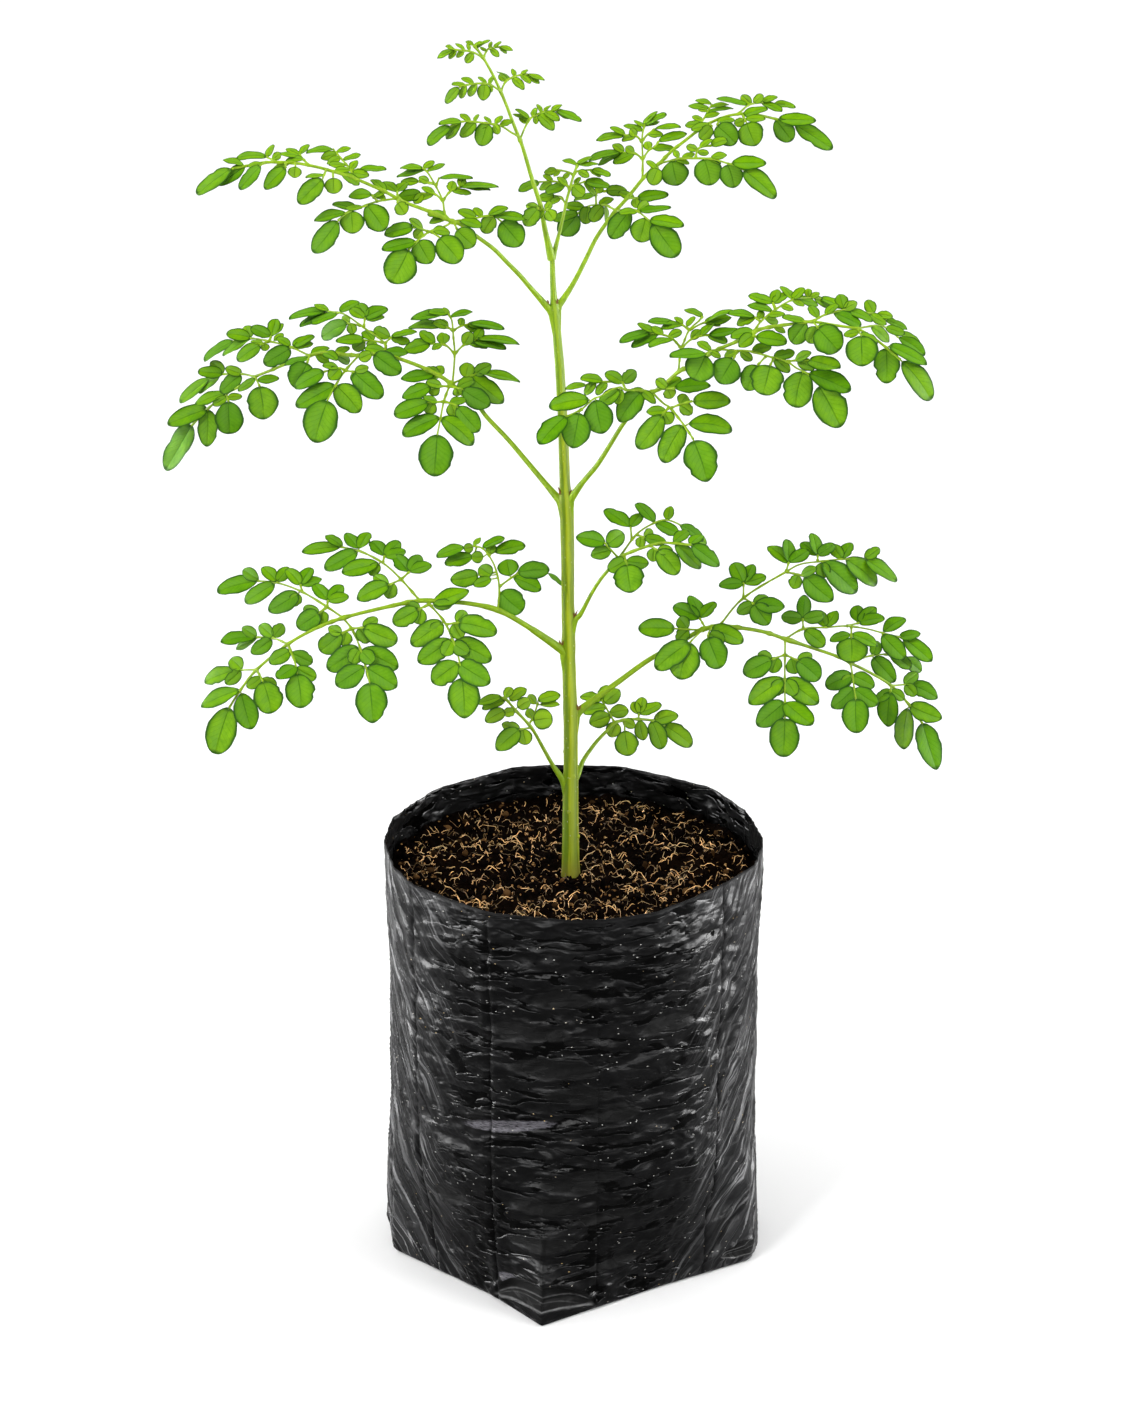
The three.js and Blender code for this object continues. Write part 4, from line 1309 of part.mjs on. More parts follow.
function buildFrond(frond) {
  const [thick, thin] = frond.girth;
  const grown = [];
  const stalks = [];
  const plans = [];
  const lay = (laid, leaves, parent, startHalf, endHalf) => {
    const path = thinned(laid);
    const spine = path.map((p) => spacePoint(p.x, p.z, p.near));
    for (let i = 1; i < spine.length; i += 1) {
      stalks.push([spine[i - 1], spine[i]]);
    }
    plans.push({ path, leaves, parent, startHalf, endHalf });
  };
  const main = laidPath(pairsOf(frond.rachis), frond.near[0], frond.near[1]);
  lay(main, frond.leaves, null, thick / 2, Math.max(0.55, thin / 2));
  for (const spray of frond.sprays) {
    const pairs = pairsOf(spray.path);
    let start = null;
    let parent = null;
    for (const plan of plans) {
      const place = nearestOn(plan.path, pairs[0][0], pairs[0][1]);
      if (start === null || place.gap < start.gap) {
        start = place;
        parent = plan;
      }
    }
    pairs[0] = [start.x, start.z];
    lay(laidPath(pairs, start.near, start.near + spray.near), spray.leaves, parent, 0.55, 0.5);
  }
  for (const plan of plans) {
    plan.poses = posedLeaves(plan.leaves, plan.path, grown, stalks, frond.least);
  }
  let solid = null;
  for (const plan of [...plans].reverse()) {
    if (plan.parent && (plan.poses.length > 0 || plan.bearing)) {
      plan.parent.bearing = true;
    }
    if (!plan.parent || plan.poses.length > 0 || plan.bearing) {
      const part = cleanStalk(plan);
      solid = solid === null ? part.solid : solid.add(part.solid);
      for (const pose of part.loose) {
        solid = solid.add(leaflet(pose));
      }
    }
  }
  return solid;
}

// The largest connected body, without scraps that a cut may leave
function mainBody(solid) {
  const bodies = solid.decompose();
  bodies.sort((a, b) => b.volume() - a.volume());
  return bodies[0];
}

// Assembly

const group = new THREE.Group();

function place(name, solid, color, roughness) {
  const material = new THREE.MeshStandardMaterial({ color, roughness, metalness: 0 });
  const mesh = new THREE.Mesh(geometryOf(solid), material);
  mesh.name = name;
  group.add(mesh);
}

place('bag', buildBag(), 0x0b0b0c, 0.28);
const clearedStem = buildStem(SEAT_GAP);
const topFrond = FRONDS.find((frond) => frond.name === 'frond_top');
const topStart = pairsOf(topFrond.rachis).slice(0, 3).map(([x, z]) => spacePoint(x, z, 0.4));
const clearedTop = stalk(topStart, [2.2, 2.2, 2.2], 8);
place('soil', buildSoil(clearedStem), 0x2a2018, 0.95);
place('main_stem', buildStem(0), 0x7d9a2c, 0.55);
for (const frond of FRONDS) {
  let solid = buildFrond(frond).subtract(clearedStem);
  if (frond.name === 'frond_top_small') {
    solid = solid.subtract(clearedTop);
  }
  place(frond.name, mainBody(solid), 0x4c8f1a, 0.5);
}

export default group;
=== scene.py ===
"""Looks of a young moringa tree in a black film grow bag: film, soil with coir, stem and leaves."""
import math
import random
from functools import cache

import bpy
import numpy as np
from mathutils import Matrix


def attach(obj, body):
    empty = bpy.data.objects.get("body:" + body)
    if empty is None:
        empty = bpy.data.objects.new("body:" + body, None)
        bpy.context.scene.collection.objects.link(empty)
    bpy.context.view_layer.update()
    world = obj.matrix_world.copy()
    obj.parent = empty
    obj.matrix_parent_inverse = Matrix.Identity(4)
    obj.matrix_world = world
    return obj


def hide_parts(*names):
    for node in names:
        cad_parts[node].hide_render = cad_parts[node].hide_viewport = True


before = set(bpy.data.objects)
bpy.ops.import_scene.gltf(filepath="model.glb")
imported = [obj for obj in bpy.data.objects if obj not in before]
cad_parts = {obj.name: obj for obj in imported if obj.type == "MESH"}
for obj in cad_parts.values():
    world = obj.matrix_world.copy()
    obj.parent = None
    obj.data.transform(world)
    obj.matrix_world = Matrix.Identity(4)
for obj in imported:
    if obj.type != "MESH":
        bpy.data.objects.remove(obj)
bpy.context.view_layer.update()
MM = 0.001
PI = math.pi
# Where the photo was taken from, in mm, and how the camera looks down and turns
VIEWER = np.array([0.0, -2371.4, 1276.0])
PITCH_DEG, YAW_DEG = 22.74, 0.144
FOCAL_PIXELS, FRAME_HEIGHT, SENSOR = 5441, 1402, 36
# Bag and soil
RIM_HEIGHT, SOIL_HEIGHT = 210, 193.0
BODY_RADIUS = 87.9
# Loose bits lie inside this square, and fibres end inside this circle
SOIL_REACH, FIBRE_REACH = 88, 84.5
FIBRES, CRUMBS = 1080, 1500
FIBRE_SEED, CRUMB_SEED, FROND_SEED = 41, 43, 700
# The stem's middle at the soil, the height it starts at, and the hole it stands in
STEM_X, STEM_FOOT, HOLE_RADIUS = -1.4, 117.5, 5.3
# Leaf stalks have no swollen foot above this height
BASE_LIMIT = 485
# Half the thickness of a leaflet at its middle
BLADE_THICK = 0.15
# Turn of a tube's first corner, in radians
TUBE_PHASE = 0.3
# Tone of the bag's inner wall, which has no side strands
INSIDE = -1
# Radii at which the film's creases, folds and pockets are laid out
CREASE_ARC, FOLD_ARC, POCKET_ARC = 88, 90, 93
# The film's pattern is this wide around the bag, and one unit is this many mm high
PATTERN_ROUND, PATTERN_UNIT = 5.53, 100
# No period, for waves that need not close, and what keeps the rows of all waves above zero
OPEN, ROW_SHIFT = 4096, 4096

# The fronds as seen from the viewer, in mm on the upright plane through the bag's axis. near: how near to the viewer
# the rachis starts and ends. girth: its thickness at both ends. least: length times width from which a leaflet is
# placed first. rachis: x, z pairs. leaves: x, z of the foot, x, z of the tip, width as seen. sprays: how much nearer
# the side stalk ends, its x, z pairs, its leaves.
FRONDS = [
    {"name": "frond_base_left", "near": (0, 18), "girth": (2, 0.9), "least": 24,
     "rachis": [-1.5, 236, -5.1, 241.3, -9.9, 249.1, -15, 259, -20, 268.4, -27.3, 277.1, -31.6, 282.6, -33.4, 283.8],
     "leaves": [(-34.1, 284.2, -44.1, 280.4, 3.7), (-32.3, 282.3, -42.1, 278, 3.7), (-32.5, 283.7, -29.7, 288.3, 3.7),
                (-30.1, 282.3, -23.3, 287.8, 4.7), (-26.6, 278.7, -21.2, 282.3, 5)],
     "sprays": [
        (4, [-26, 276.8, -27.9, 276.5],
         [(-27.9, 276.8, -32.8, 275.7, 3.9), (-32.5, 277.1, -40.9, 272.1, 5.5)]),
        (-10, [-20.6, 270.5, -19.1, 273.7, -17.4, 279.2, -16.9, 281.2],
         [(-17.8, 280.5, -20.9, 284.6, 3.4), (-16.9, 282.3, -7.3, 284.8, 4.7), (-15.9, 280.1, -7.6, 280.1, 2.9),
          (-19.1, 271.9, -11, 273, 8.1), (-19.4, 273, -21.4, 277.4, 3.7)]),
        (5, [-20, 268.4, -25.5, 267.5],
         [(-25.5, 267.5, -36, 257.5, 8.5), (-24, 267.7, -22.5, 260.5, 6), (-25.5, 267.5, -33, 270, 4.5)]),
     ]},
    {"name": "frond_base_right", "near": (0, -45), "girth": (2, 0.9), "least": 30,
     "rachis": [-1.2, 238, 2.1, 244.5, 4.6, 251.5, 9, 258.6, 12.6, 263.3, 16.6, 267.6, 19.5, 270.8, 24.2, 272.4, 30.7,
                272.8, 37.6, 272, 43, 269.6],
     "leaves": [(43, 269.6, 55.3, 259.4, 8.5), (20.5, 271, 17.5, 264.5, 6), (23.5, 272.2, 28.5, 269, 4),
                (31.3, 272.5, 33, 263, 5.5), (37, 271.9, 41.6, 258.4, 8), (38, 272, 48.5, 274.5, 6)],
     "sprays": [
        (-14, [19.5, 270.8, 16.6, 276.3, 13.3, 282.6],
         [(13.5, 282.3, 4, 284, 4.5), (15.5, 278.5, 5.5, 276.5, 5), (17.5, 274.5, 8.5, 271, 7),
          (14.3, 281, 21, 287, 6), (13.3, 282.6, 16, 289, 5), (16.8, 276, 25, 277, 5.5)]),
        (4, [24.2, 272.4, 24.2, 267],
         [(24.2, 267, 26, 255, 10)]),
        (-4, [30.7, 272.8, 30.9, 275.5],
         [(30.9, 275.5, 28.5, 281, 4), (30.9, 275.5, 32.5, 283, 5), (30.9, 275.5, 40.5, 280, 5)]),
     ]},
    {"name": "frond_low_left", "near": (0, 48), "girth": (2.6, 1), "least": 42,
     "rachis": [-2, 303.5, -5, 307.6, -19.5, 318.6, -35, 328, -49, 331.6, -60, 332.4, -72.2, 333, -87.8, 329.8,
                -107.9, 324.4, -121.2, 318.9, -134.5, 310.9, -149.5, 297.9, -157.4, 287.4, -162.8, 278.6],
     "leaves": [(-162.8, 278.6, -170, 255, 14), (-157.6, 287.6, -176, 279, 8), (-157, 286, -152.8, 268, 11)],
     "sprays": [
        (-30, [-35.5, 328.7, -34.9, 340.1, -36.7, 349.5, -39.7, 355.8, -42.6, 359.3, -46.7, 360.6],
         [(-50.9, 359.8, -63.1, 355, 4.7), (-46.7, 360.6, -43.9, 364.1, 2.1), (-46.9, 360.1, -50.9, 359.2, 3.9),
          (-42.5, 359.5, -33.2, 363.8, 3.4), (-46.9, 355.2, -59.4, 351.8, 6), (-42.2, 355.2, -47.4, 355, 4.7),
          (-44.7, 345.9, -56.7, 343.5, 7.3), (-38.3, 345.9, -43.5, 349.4, 6), (-38.5, 344, -46, 341, 4.2),
          (-34.3, 337.4, -24.8, 328.4, 11.2)]),
        (-4, [-39.7, 355.8, -38.2, 356.9],
         [(-39.2, 356.3, -38.2, 361.1, 4.4), (-37, 357.4, -23.5, 360.3, 5.7)]),
        (-6, [-34.9, 340.1, -31, 343.2, -26.4, 346.7],
         [(-29.8, 345.4, -31.2, 352.9, 8.1), (-26.3, 347.5, -12.3, 348.6, 7.8), (-28.3, 344.8, -16.3, 338.7, 6.8),
          (-12, 346.8, -5.7, 340.8, 2)]),
        (-35, [-72.2, 333.6, -80.8, 343.7, -89.3, 352, -100.2, 358, -109, 360],
         [(-109, 360, -126.5, 356.8, 6), (-91, 351.5, -108, 347, 8), (-91, 351.5, -95, 346.5, 4.5),
          (-100.5, 359, -106, 366, 5), (-100.5, 359, -96, 366.5, 5), (-101, 357.5, -116, 349, 7.5),
          (-108, 360.3, -115, 365, 4)]),
        (-5, [-80.8, 343.7, -77, 347.5],
         [(-77, 347.5, -83, 355, 6), (-77, 347.5, -72, 355, 6), (-77, 347.5, -67.5, 350.5, 5)]),
        (6, [-80.8, 343.7, -86.5, 341],
         [(-86.5, 341, -101, 334, 8), (-84.5, 342, -87, 335, 5.5), (-86.5, 341, -93, 345, 4.5)]),
        (-5, [-89.3, 352, -88.5, 355.5],
         [(-88.5, 355.5, -94, 362, 5.5), (-88.5, 355.5, -82, 362, 5.5), (-88.5, 355.5, -79.5, 357.5, 4.5)]),
        (20, [-69, 332, -60, 321, -54.4, 305, -52.6, 294],
         [(-52.6, 294, -51.7, 273.5, 15), (-66, 331, -49.5, 338, 8), (-66, 331, -58, 331, 4.5),
          (-61.5, 322, -76, 311, 10), (-62, 322, -66.5, 316, 6), (-58, 313.5, -73, 302, 10.5),
          (-57.5, 313, -61, 306, 6), (-56.5, 312, -39, 303, 11), (-56.5, 311.5, -50, 307, 6),
          (-54.2, 301.5, -66, 292, 10.5), (-54, 301, -40, 291.5, 11)]),
        (5, [-68, 331, -73, 328.5],
         [(-73, 328.5, -84, 322, 8), (-71.5, 329, -73, 322, 5.5), (-72, 329, -78, 331, 4.5)]),
        (4, [-60, 321, -54, 322],
         [(-54, 322, -36.5, 317, 10), (-56.5, 321.5, -53, 315, 6), (-55, 322, -51, 327, 5)]),
        (-35, [-108.3, 324.4, -115.7, 329.8, -127.3, 337.4, -138.9, 342, -148.1, 342.9],
         [(-148.1, 342.9, -166.7, 337, 8), (-129, 336.5, -142.5, 328, 8.5), (-129, 336.5, -131.5, 331, 5),
          (-139, 342.5, -145, 349, 5), (-139, 342.5, -134, 349, 5), (-140, 341.5, -153.6, 332.5, 7.5),
          (-147.5, 343.5, -154, 348, 5)]),
        (-4, [-115.7, 329.8, -115.3, 333],
         [(-115.3, 333, -121, 340.5, 5.5), (-115.3, 333, -109, 340, 5.5), (-115.3, 333, -106.5, 335, 4.5)]),
        (5, [-115.7, 329.8, -119.5, 326.8],
         [(-119.5, 326.8, -129, 320, 8.5), (-118, 328, -118.5, 321.5, 5.5), (-119.5, 326.8, -126, 329, 4.5)]),
        (-4, [-127.3, 337.4, -128, 341],
         [(-128, 341, -134, 348, 5), (-128, 341, -123, 348.5, 5), (-128, 341, -119, 343.5, 4)]),
        (22, [-108.3, 324.4, -103.7, 317.6, -99.6, 306, -96.3, 291.5],
         [(-96.3, 291.5, -95, 271, 14.8), (-101, 309, -115.5, 298.5, 10.5), (-101, 308.5, -104.5, 302, 6),
          (-100, 308, -83, 299, 11), (-100, 307.5, -95, 302, 6), (-98.5, 299.5, -111.5, 290.5, 10),
          (-97.8, 299, -84, 289.5, 11)]),
        (4, [-104.5, 318.8, -109, 316.5],
         [(-109, 316.5, -118.5, 308, 9), (-107, 317.5, -108.5, 311, 6), (-109, 316.5, -114.5, 319, 4.5)]),
        (4, [-104.5, 318.8, -99, 319.5],
         [(-99, 319.5, -83.5, 312.5, 10), (-101, 319.2, -97, 312.5, 6), (-99, 319.5, -93, 323.5, 4.5)]),
        (-25, [-134.5, 311, -141.4, 314, -150, 314.5],
         [(-150, 314.5, -165.3, 311.8, 5.5), (-149, 314.8, -155, 319, 4.5), (-149, 314, -158, 309, 4.5),
          (-141.4, 314.5, -147, 320, 5), (-141.4, 314.5, -137, 320, 5), (-142, 313.5, -151, 307, 6)]),
        (15, [-134.5, 311, -131.5, 302.5, -130.4, 296],
         [(-130.4, 296, -128.9, 279.2, 12.8), (-133.4, 307.5, -142.5, 302, 6), (-133, 306.5, -124, 302, 6),
          (-131, 299.8, -139.5, 293.5, 6), (-130.8, 299, -122.5, 294, 6)]),
        (-12, [-149.5, 298, -159.7, 297.7],
         [(-159.7, 297.7, -173.6, 292, 7), (-156.5, 298, -161, 303, 6), (-157, 297.8, -163.5, 291.5, 5)]),
        (10, [-149.5, 298, -146.6, 292],
         [(-146.6, 292, -143.2, 276.5, 12.5), (-147.5, 294, -153.5, 289.5, 4.5), (-147.2, 293.2, -141, 290, 4.5)]),
     ]},
    {"name": "frond_low_right", "near": (0, -62), "girth": (2.6, 1), "least": 42,
     "rachis": [-1.4, 273, 1.7, 276.1, 8.9, 282.2, 22.6, 293.1, 35.5, 303.2, 50, 311.9, 58.4, 317.6, 62.9, 319.3,
                68.5, 320.5, 79.3, 319.3, 90.2, 317.2, 99.5, 313.8, 113.7, 308.8, 124.3, 304.9, 130.5, 301.6, 140,
                296.6, 150, 290, 158.6, 280.3, 165, 271],
     "leaves": [(165, 271, 172, 247, 12), (158.8, 280, 173.5, 273.5, 9), (158, 278.8, 156.5, 257.7, 10)],
     "sprays": [
        (12, [60.5, 318.3, 55.5, 313],
         [(55, 312, 50, 293.6, 15), (54.5, 312, 38.8, 298.8, 11.5)]),
        (10, [64.5, 319.6, 63, 315.5],
         [(63, 314.5, 68.5, 299.7, 12), (63.5, 316.5, 70, 312.5, 6), (64.5, 319, 79, 312.3, 8)]),
        (4, [60.5, 318.3, 54, 318.6, 47.5, 319],
         [(47.5, 319, 31, 319, 9), (54, 318.6, 49, 313.5, 5.5), (53.5, 318.8, 50, 324, 5.5)]),
        (-10, [62, 319.2, 59.2, 324.2],
         [(59.2, 324.2, 47.5, 330, 7), (59.2, 324.2, 55, 335, 6), (59.2, 324.2, 66, 331.5, 5)]),
        (-35, [68.5, 321, 79.6, 334.6, 99.3, 347.7, 105.9, 351.5, 114, 352.8, 125.4, 354.1, 136.2, 354.1],
         [(136.2, 354.1, 151, 343.2, 7), (116, 352.8, 132, 337.6, 12), (116, 352.5, 117, 345.5, 6),
          (125.5, 354.3, 120.5, 361, 5), (125.5, 354.3, 129, 361.5, 5), (127, 354, 141.6, 341.3, 10),
          (136, 354.4, 142, 359, 4.5)]),
        (-5, [79.6, 334.6, 79.5, 342],
         [(79.5, 342, 69, 340.5, 5), (79.5, 342, 89, 345, 5), (79.5, 342, 75, 351, 7),
          (79.5, 342, 83.5, 350.5, 5.5)]),
        (5, [79.6, 334.6, 84.5, 331.5],
         [(84, 331.5, 77.5, 327.5, 5), (84, 331.5, 90.5, 334.5, 5), (84.5, 331.5, 91, 322, 9),
          (85, 331.3, 98, 330, 7)]),
        (-5, [99.3, 347.7, 100.5, 352.3],
         [(100.5, 352.3, 91.5, 360, 6), (100.5, 352.3, 100, 363, 6), (100.5, 352.3, 109, 358, 5.5)]),
        (6, [99.3, 347.7, 108, 345.6],
         [(108, 345.6, 121, 333.7, 11), (105, 346.3, 103, 340, 5.5), (106.5, 346, 113, 349, 4)]),
        (-4, [114, 352.8, 114, 356],
         [(114, 356, 107, 362, 5), (114, 356, 111.5, 366, 5.5), (114, 356, 121, 361, 5)]),
        (20, [99.4, 313.8, 99.5, 305.8, 99.6, 293.5, 99.9, 282, 100, 273.4],
         [(100, 273.4, 99.5, 253.8, 14.2), (99.3, 293.5, 83, 281, 11), (99, 293, 95, 286, 6),
          (100, 293.5, 115.5, 281, 11), (100, 293, 104.5, 286, 6), (99.7, 281.5, 87.3, 270, 10.5),
          (100, 281.5, 113, 269.5, 10.5)]),
        (4, [99.5, 305.8, 93.5, 303.5],
         [(93.5, 303.5, 80.8, 296.5, 9.5), (96, 304.5, 93.5, 297.5, 6), (93.5, 303.5, 87.5, 306, 4.5)]),
        (4, [99.5, 305.8, 105.5, 303],
         [(105.5, 303, 115.3, 294, 9.5), (102.5, 304.2, 104.5, 297, 6), (105.5, 303, 111.5, 305.5, 4.5)]),
        (-32, [99.4, 313.8, 107.9, 318.9, 118.5, 319.7, 128.3, 320.4, 138.1, 318.9, 145, 317, 155, 314.4],
         [(155, 314.4, 168, 302.3, 8), (108.5, 318.3, 117.2, 311, 7), (118.5, 320, 114, 327, 5),
          (118.5, 320, 123, 327, 5), (145.5, 317.3, 155, 323.5, 6), (145, 316, 155.5, 304.5, 9),
          (153, 314.8, 162, 316.5, 4.5)]),
        (-5, [107.9, 318.9, 107.5, 324],
         [(107.5, 324, 108, 335, 6), (107.5, 324, 98.5, 325, 5.5), (107.5, 324, 116.5, 326, 5.5)]),
        (8, [130.5, 320.2, 130.5, 314.6],
         [(130.5, 314.6, 130.7, 303, 13), (130.5, 316, 142, 310.4, 5), (130.3, 316, 121.5, 313, 4)]),
        (-5, [128.3, 320.4, 134, 322],
         [(134, 322, 133, 330, 6), (134, 322, 141, 329, 6), (134, 322, 145, 324, 5)]),
        (15, [130.5, 301.6, 131.5, 295.2, 132.4, 289, 133.3, 283.5],
         [(133.3, 283.5, 134, 266.5, 12.3), (131.3, 295.8, 119.8, 290, 8), (131.3, 295.3, 127.5, 290.5, 4.5),
          (131.6, 295.2, 141, 290, 6.5), (132.4, 288.8, 122.7, 279.5, 8), (132.5, 288.5, 143, 281, 8)]),
        (-25, [130.5, 301.6, 138.6, 305, 146.9, 306, 155.5, 304],
         [(141, 304.5, 151, 292.6, 8.5), (141, 305.5, 143, 312, 5), (147.5, 306, 153, 311.5, 5),
          (155.5, 304, 163, 298, 6), (149, 305.8, 158, 299.5, 5.5)]),
        (-12, [150, 290, 159, 291],
         [(159, 291, 171, 284, 7.5), (156, 290.8, 161.5, 296, 5), (156.5, 290.8, 161, 285.5, 5)]),
        (8, [150, 290, 149.5, 287],
         [(149.5, 287, 148.5, 269.5, 10.5), (149.7, 288, 143.5, 283, 4.5), (149.6, 287.6, 155.5, 283.5, 4.5)]),
     ]},
    {"name": "frond_small_right", "near": (0, 28), "girth": (1.8, 0.9), "least": 28,
     "rachis": [-2, 319.5, 1.2, 323.9, 3.6, 326.9, 8.2, 336.4, 12.5, 343.7, 16.8, 349.3, 21.1, 354.5, 26.8, 357.6,
                35.4, 360.8, 41.1, 362.2, 46.3, 362, 54.9, 361.2],
     "leaves": [(54.9, 361.2, 67.3, 350.9, 7.5), (47.5, 361.7, 58.7, 349.8, 7), (46.5, 362.3, 53, 367.5, 4.5),
                (54.3, 361.5, 59.5, 365.8, 4)],
     "sprays": [
        (4, [23.5, 355.8, 24.9, 351.4],
         [(24.9, 351.4, 26.8, 338.2, 12.5), (24.3, 353.5, 17, 349, 6), (24.5, 353, 34, 352, 5.5)]),
        (5, [20.6, 354.7, 14.4, 362.2],
         [(14.8, 362, 2, 364.8, 7), (15.5, 361, 22.5, 366.5, 7), (17.5, 358.5, 9, 356, 5.5)]),
        (-22, [21.1, 354.5, 29.2, 366.3, 37.3, 372, 43, 373.6, 49, 371.5, 54, 367.5],
         [(37.3, 372.2, 29.7, 381.3, 5), (38, 372, 48, 367, 5), (43.5, 373.6, 45, 379.5, 4), (54, 367.5, 61, 362, 4),
          (49.5, 371, 59.4, 363.5, 4.5)]),
        (-4, [27, 363.3, 26.5, 370],
         [(26.5, 370, 14.9, 378.2, 6.5), (26.5, 370, 31, 376, 4.5)]),
        (3, [29.2, 366.3, 33, 364.8],
         [(33, 364.8, 42, 362.5, 4.5), (33, 364.8, 36, 368.5, 3.5), (31.5, 365.2, 31, 360.5, 4)]),
        (4, [35.4, 360.8, 39.2, 358.5],
         [(39.2, 358.5, 48.2, 347.5, 9), (37.5, 359.6, 37, 353.5, 5), (39.2, 358.5, 45.5, 358.5, 4)]),
     ]},
    {"name": "frond_mid_left", "near": (0, -75), "girth": (2.2, 1), "least": 34,
     "rachis": [-4.2, 380.5, -9.7, 387.2, -20.2, 400.5, -30.3, 413.2, -40, 424.1, -44.3, 430, -49.4, 433.5, -53.8,
                438.2, -56.6, 440.5, -61, 444, -69, 448.3, -78.5, 452.2, -87.4, 455, -99, 454.5, -105.1, 454.9, -115,
                455.9, -121.8, 454.3, -132.4, 450.3, -139.9, 447.1, -147, 444, -155.5, 438.6, -160.5, 435.7, -169.4,
                428.2, -176.7, 420.3],
     "leaves": [(-176.7, 420.3, -189.6, 398.5, 10.5), (-119, 455, -113.5, 451.5, 3.5), (-121, 455, -113.5, 457.5, 3),
                (-115, 456, -109.5, 452.5, 4), (-110, 455.2, -104, 458, 3), (-109.8, 455, -104.3, 451.5, 4),
                (-161, 436, -174.3, 430.8, 4.5), (-169.4, 428.4, -187.5, 420.2, 8.5),
                (-169.3, 428, -170.1, 410.4, 9.5)],
     "sprays": [
        (-30, [-56.6, 440.5, -55.8, 442.9, -54.9, 455.2, -55.4, 463, -55.6, 466.5, -56.1, 471.5, -57.6, 474.6],
         [(-57.6, 474.6, -74.5, 472, 4), (-57.2, 474, -60, 477, 2.5), (-56.5, 473, -47.5, 475.3, 2.5),
          (-57.6, 474.6, -66, 475.5, 3)]),
        (-4, [-54.9, 455.2, -59.2, 459.5, -66, 460.3],
         [(-60, 459.8, -60.5, 465, 5), (-60.5, 459.8, -64.8, 457.7, 2.5), (-66, 460.3, -77.5, 457, 6),
          (-64, 460.3, -70, 465.5, 4.5)]),
        (-4, [-54.9, 455.2, -50.6, 459.6, -46, 461.5],
         [(-50.8, 459.4, -47.5, 465.2, 5), (-49, 460.5, -40.8, 458.3, 3), (-46, 461.5, -32, 457.3, 5),
          (-46, 461.5, -42.5, 467, 4), (-44.5, 462.5, -25.3, 460, 4)]),
        (-4, [-55.6, 466.5, -58, 468, -62, 468.3],
         [(-58, 468, -64, 470.3, 3.5), (-58, 468, -60.5, 471.3, 3), (-61, 468.2, -75.5, 468.3, 4.5)]),
        (-4, [-55.6, 466.5, -52, 468.7, -49, 469.5],
         [(-52, 468.7, -51.5, 472.3, 3), (-50.5, 469, -44, 466.3, 3), (-49, 469.5, -39.5, 467.5, 3),
          (-48, 470, -32.7, 467, 3.5)]),
        (24, [-56.6, 440.5, -57.5, 439.4, -60.1, 432, -61.6, 424.1, -63.2, 415.9],
         [(-63.2, 415.9, -64.8, 395.4, 16.1), (-62, 424.1, -79, 415.5, 9), (-61.3, 424.1, -46.8, 411, 9.5)]),
        (4, [-57.5, 439.4, -60.8, 439.5, -66, 439],
         [(-61, 439.5, -67.5, 441.3, 3.5), (-62, 439.3, -66.5, 436.5, 5), (-66, 439.3, -78.5, 434.3, 6.5)]),
        (5, [-57.3, 439.6, -53, 438.5, -51.5, 438],
         [(-54.5, 439, -52.8, 435.5, 4.5), (-54, 439, -47, 442.3, 4.5), (-51.5, 438, -39.5, 430.5, 9)]),
        (-4, [-56.6, 440.5, -50.5, 443.5, -44, 446],
         [(-50, 443.7, -48.5, 450, 6), (-46, 445.3, -39, 449.5, 5), (-44, 446, -25, 441.8, 4.5),
          (-48, 444.3, -32.8, 431.5, 10)]),
        (-4, [-58, 441, -64, 445.5],
         [(-62, 444, -68, 447.5, 5), (-64, 445.5, -79, 442.7, 5.5), (-63, 445, -61, 449, 4)]),
        (4, [-60.1, 432, -63, 431.8, -66.5, 431.5],
         [(-63, 431.9, -69, 433.7, 3), (-64.5, 431.8, -68, 427, 5.5), (-67, 431.5, -82.5, 425.5, 8)]),
        (4, [-60.1, 432, -57, 431.2, -54, 430],
         [(-57.5, 431.3, -50.5, 432.5, 3.5), (-57, 431.2, -55, 425.5, 5.5), (-54, 429.5, -44.5, 418, 9.5)]),
        (22, [-99, 454.5, -105.4, 447.1, -109.9, 439.9, -113.8, 432.7],
         [(-113.8, 432.5, -120, 412.1, 16.4), (-110.2, 440, -128, 429.3, 9.5), (-109.6, 439.7, -99.5, 427.5, 11)]),
        (4, [-105.4, 447.1, -108.5, 448.3, -115.2, 446.5],
         [(-108.5, 448.5, -115, 449.3, 3), (-108, 448.2, -112.5, 443.5, 5.5), (-115.2, 446.5, -128.2, 439, 7)]),
        (4, [-105.4, 447.1, -101.5, 446.5],
         [(-101.7, 446.6, -99.3, 442, 5), (-101, 447, -95.3, 448.5, 3.5), (-101.5, 446.4, -88.8, 434.5, 10.5)]),
        (8, [-89, 455.1, -93, 455.8],
         [(-92, 455.2, -80.5, 446.5, 9.5), (-93, 455.5, -98.3, 453, 4.5), (-86.5, 456, -95.5, 457.5, 3.5),
          (-88, 456, -77.3, 455.3, 4)]),
        (-32, [-88, 455.2, -87, 460.3, -96.6, 468, -105.8, 474.6, -113.5, 475.7],
         [(-113.5, 475.7, -130.4, 472.1, 4.5), (-113.5, 474.6, -125.2, 469, 4), (-108.4, 474.8, -119.8, 469.9, 3.5),
          (-107.5, 475.6, -99.3, 479.7, 3.5), (-112.5, 476.2, -118.5, 478.5, 2.5)]),
        (-5, [-87, 460.3, -84, 463.3],
         [(-84.5, 463.3, -91, 467, 5), (-84, 463.5, -73, 465.3, 3), (-84, 463, -76.5, 461, 3.5)]),
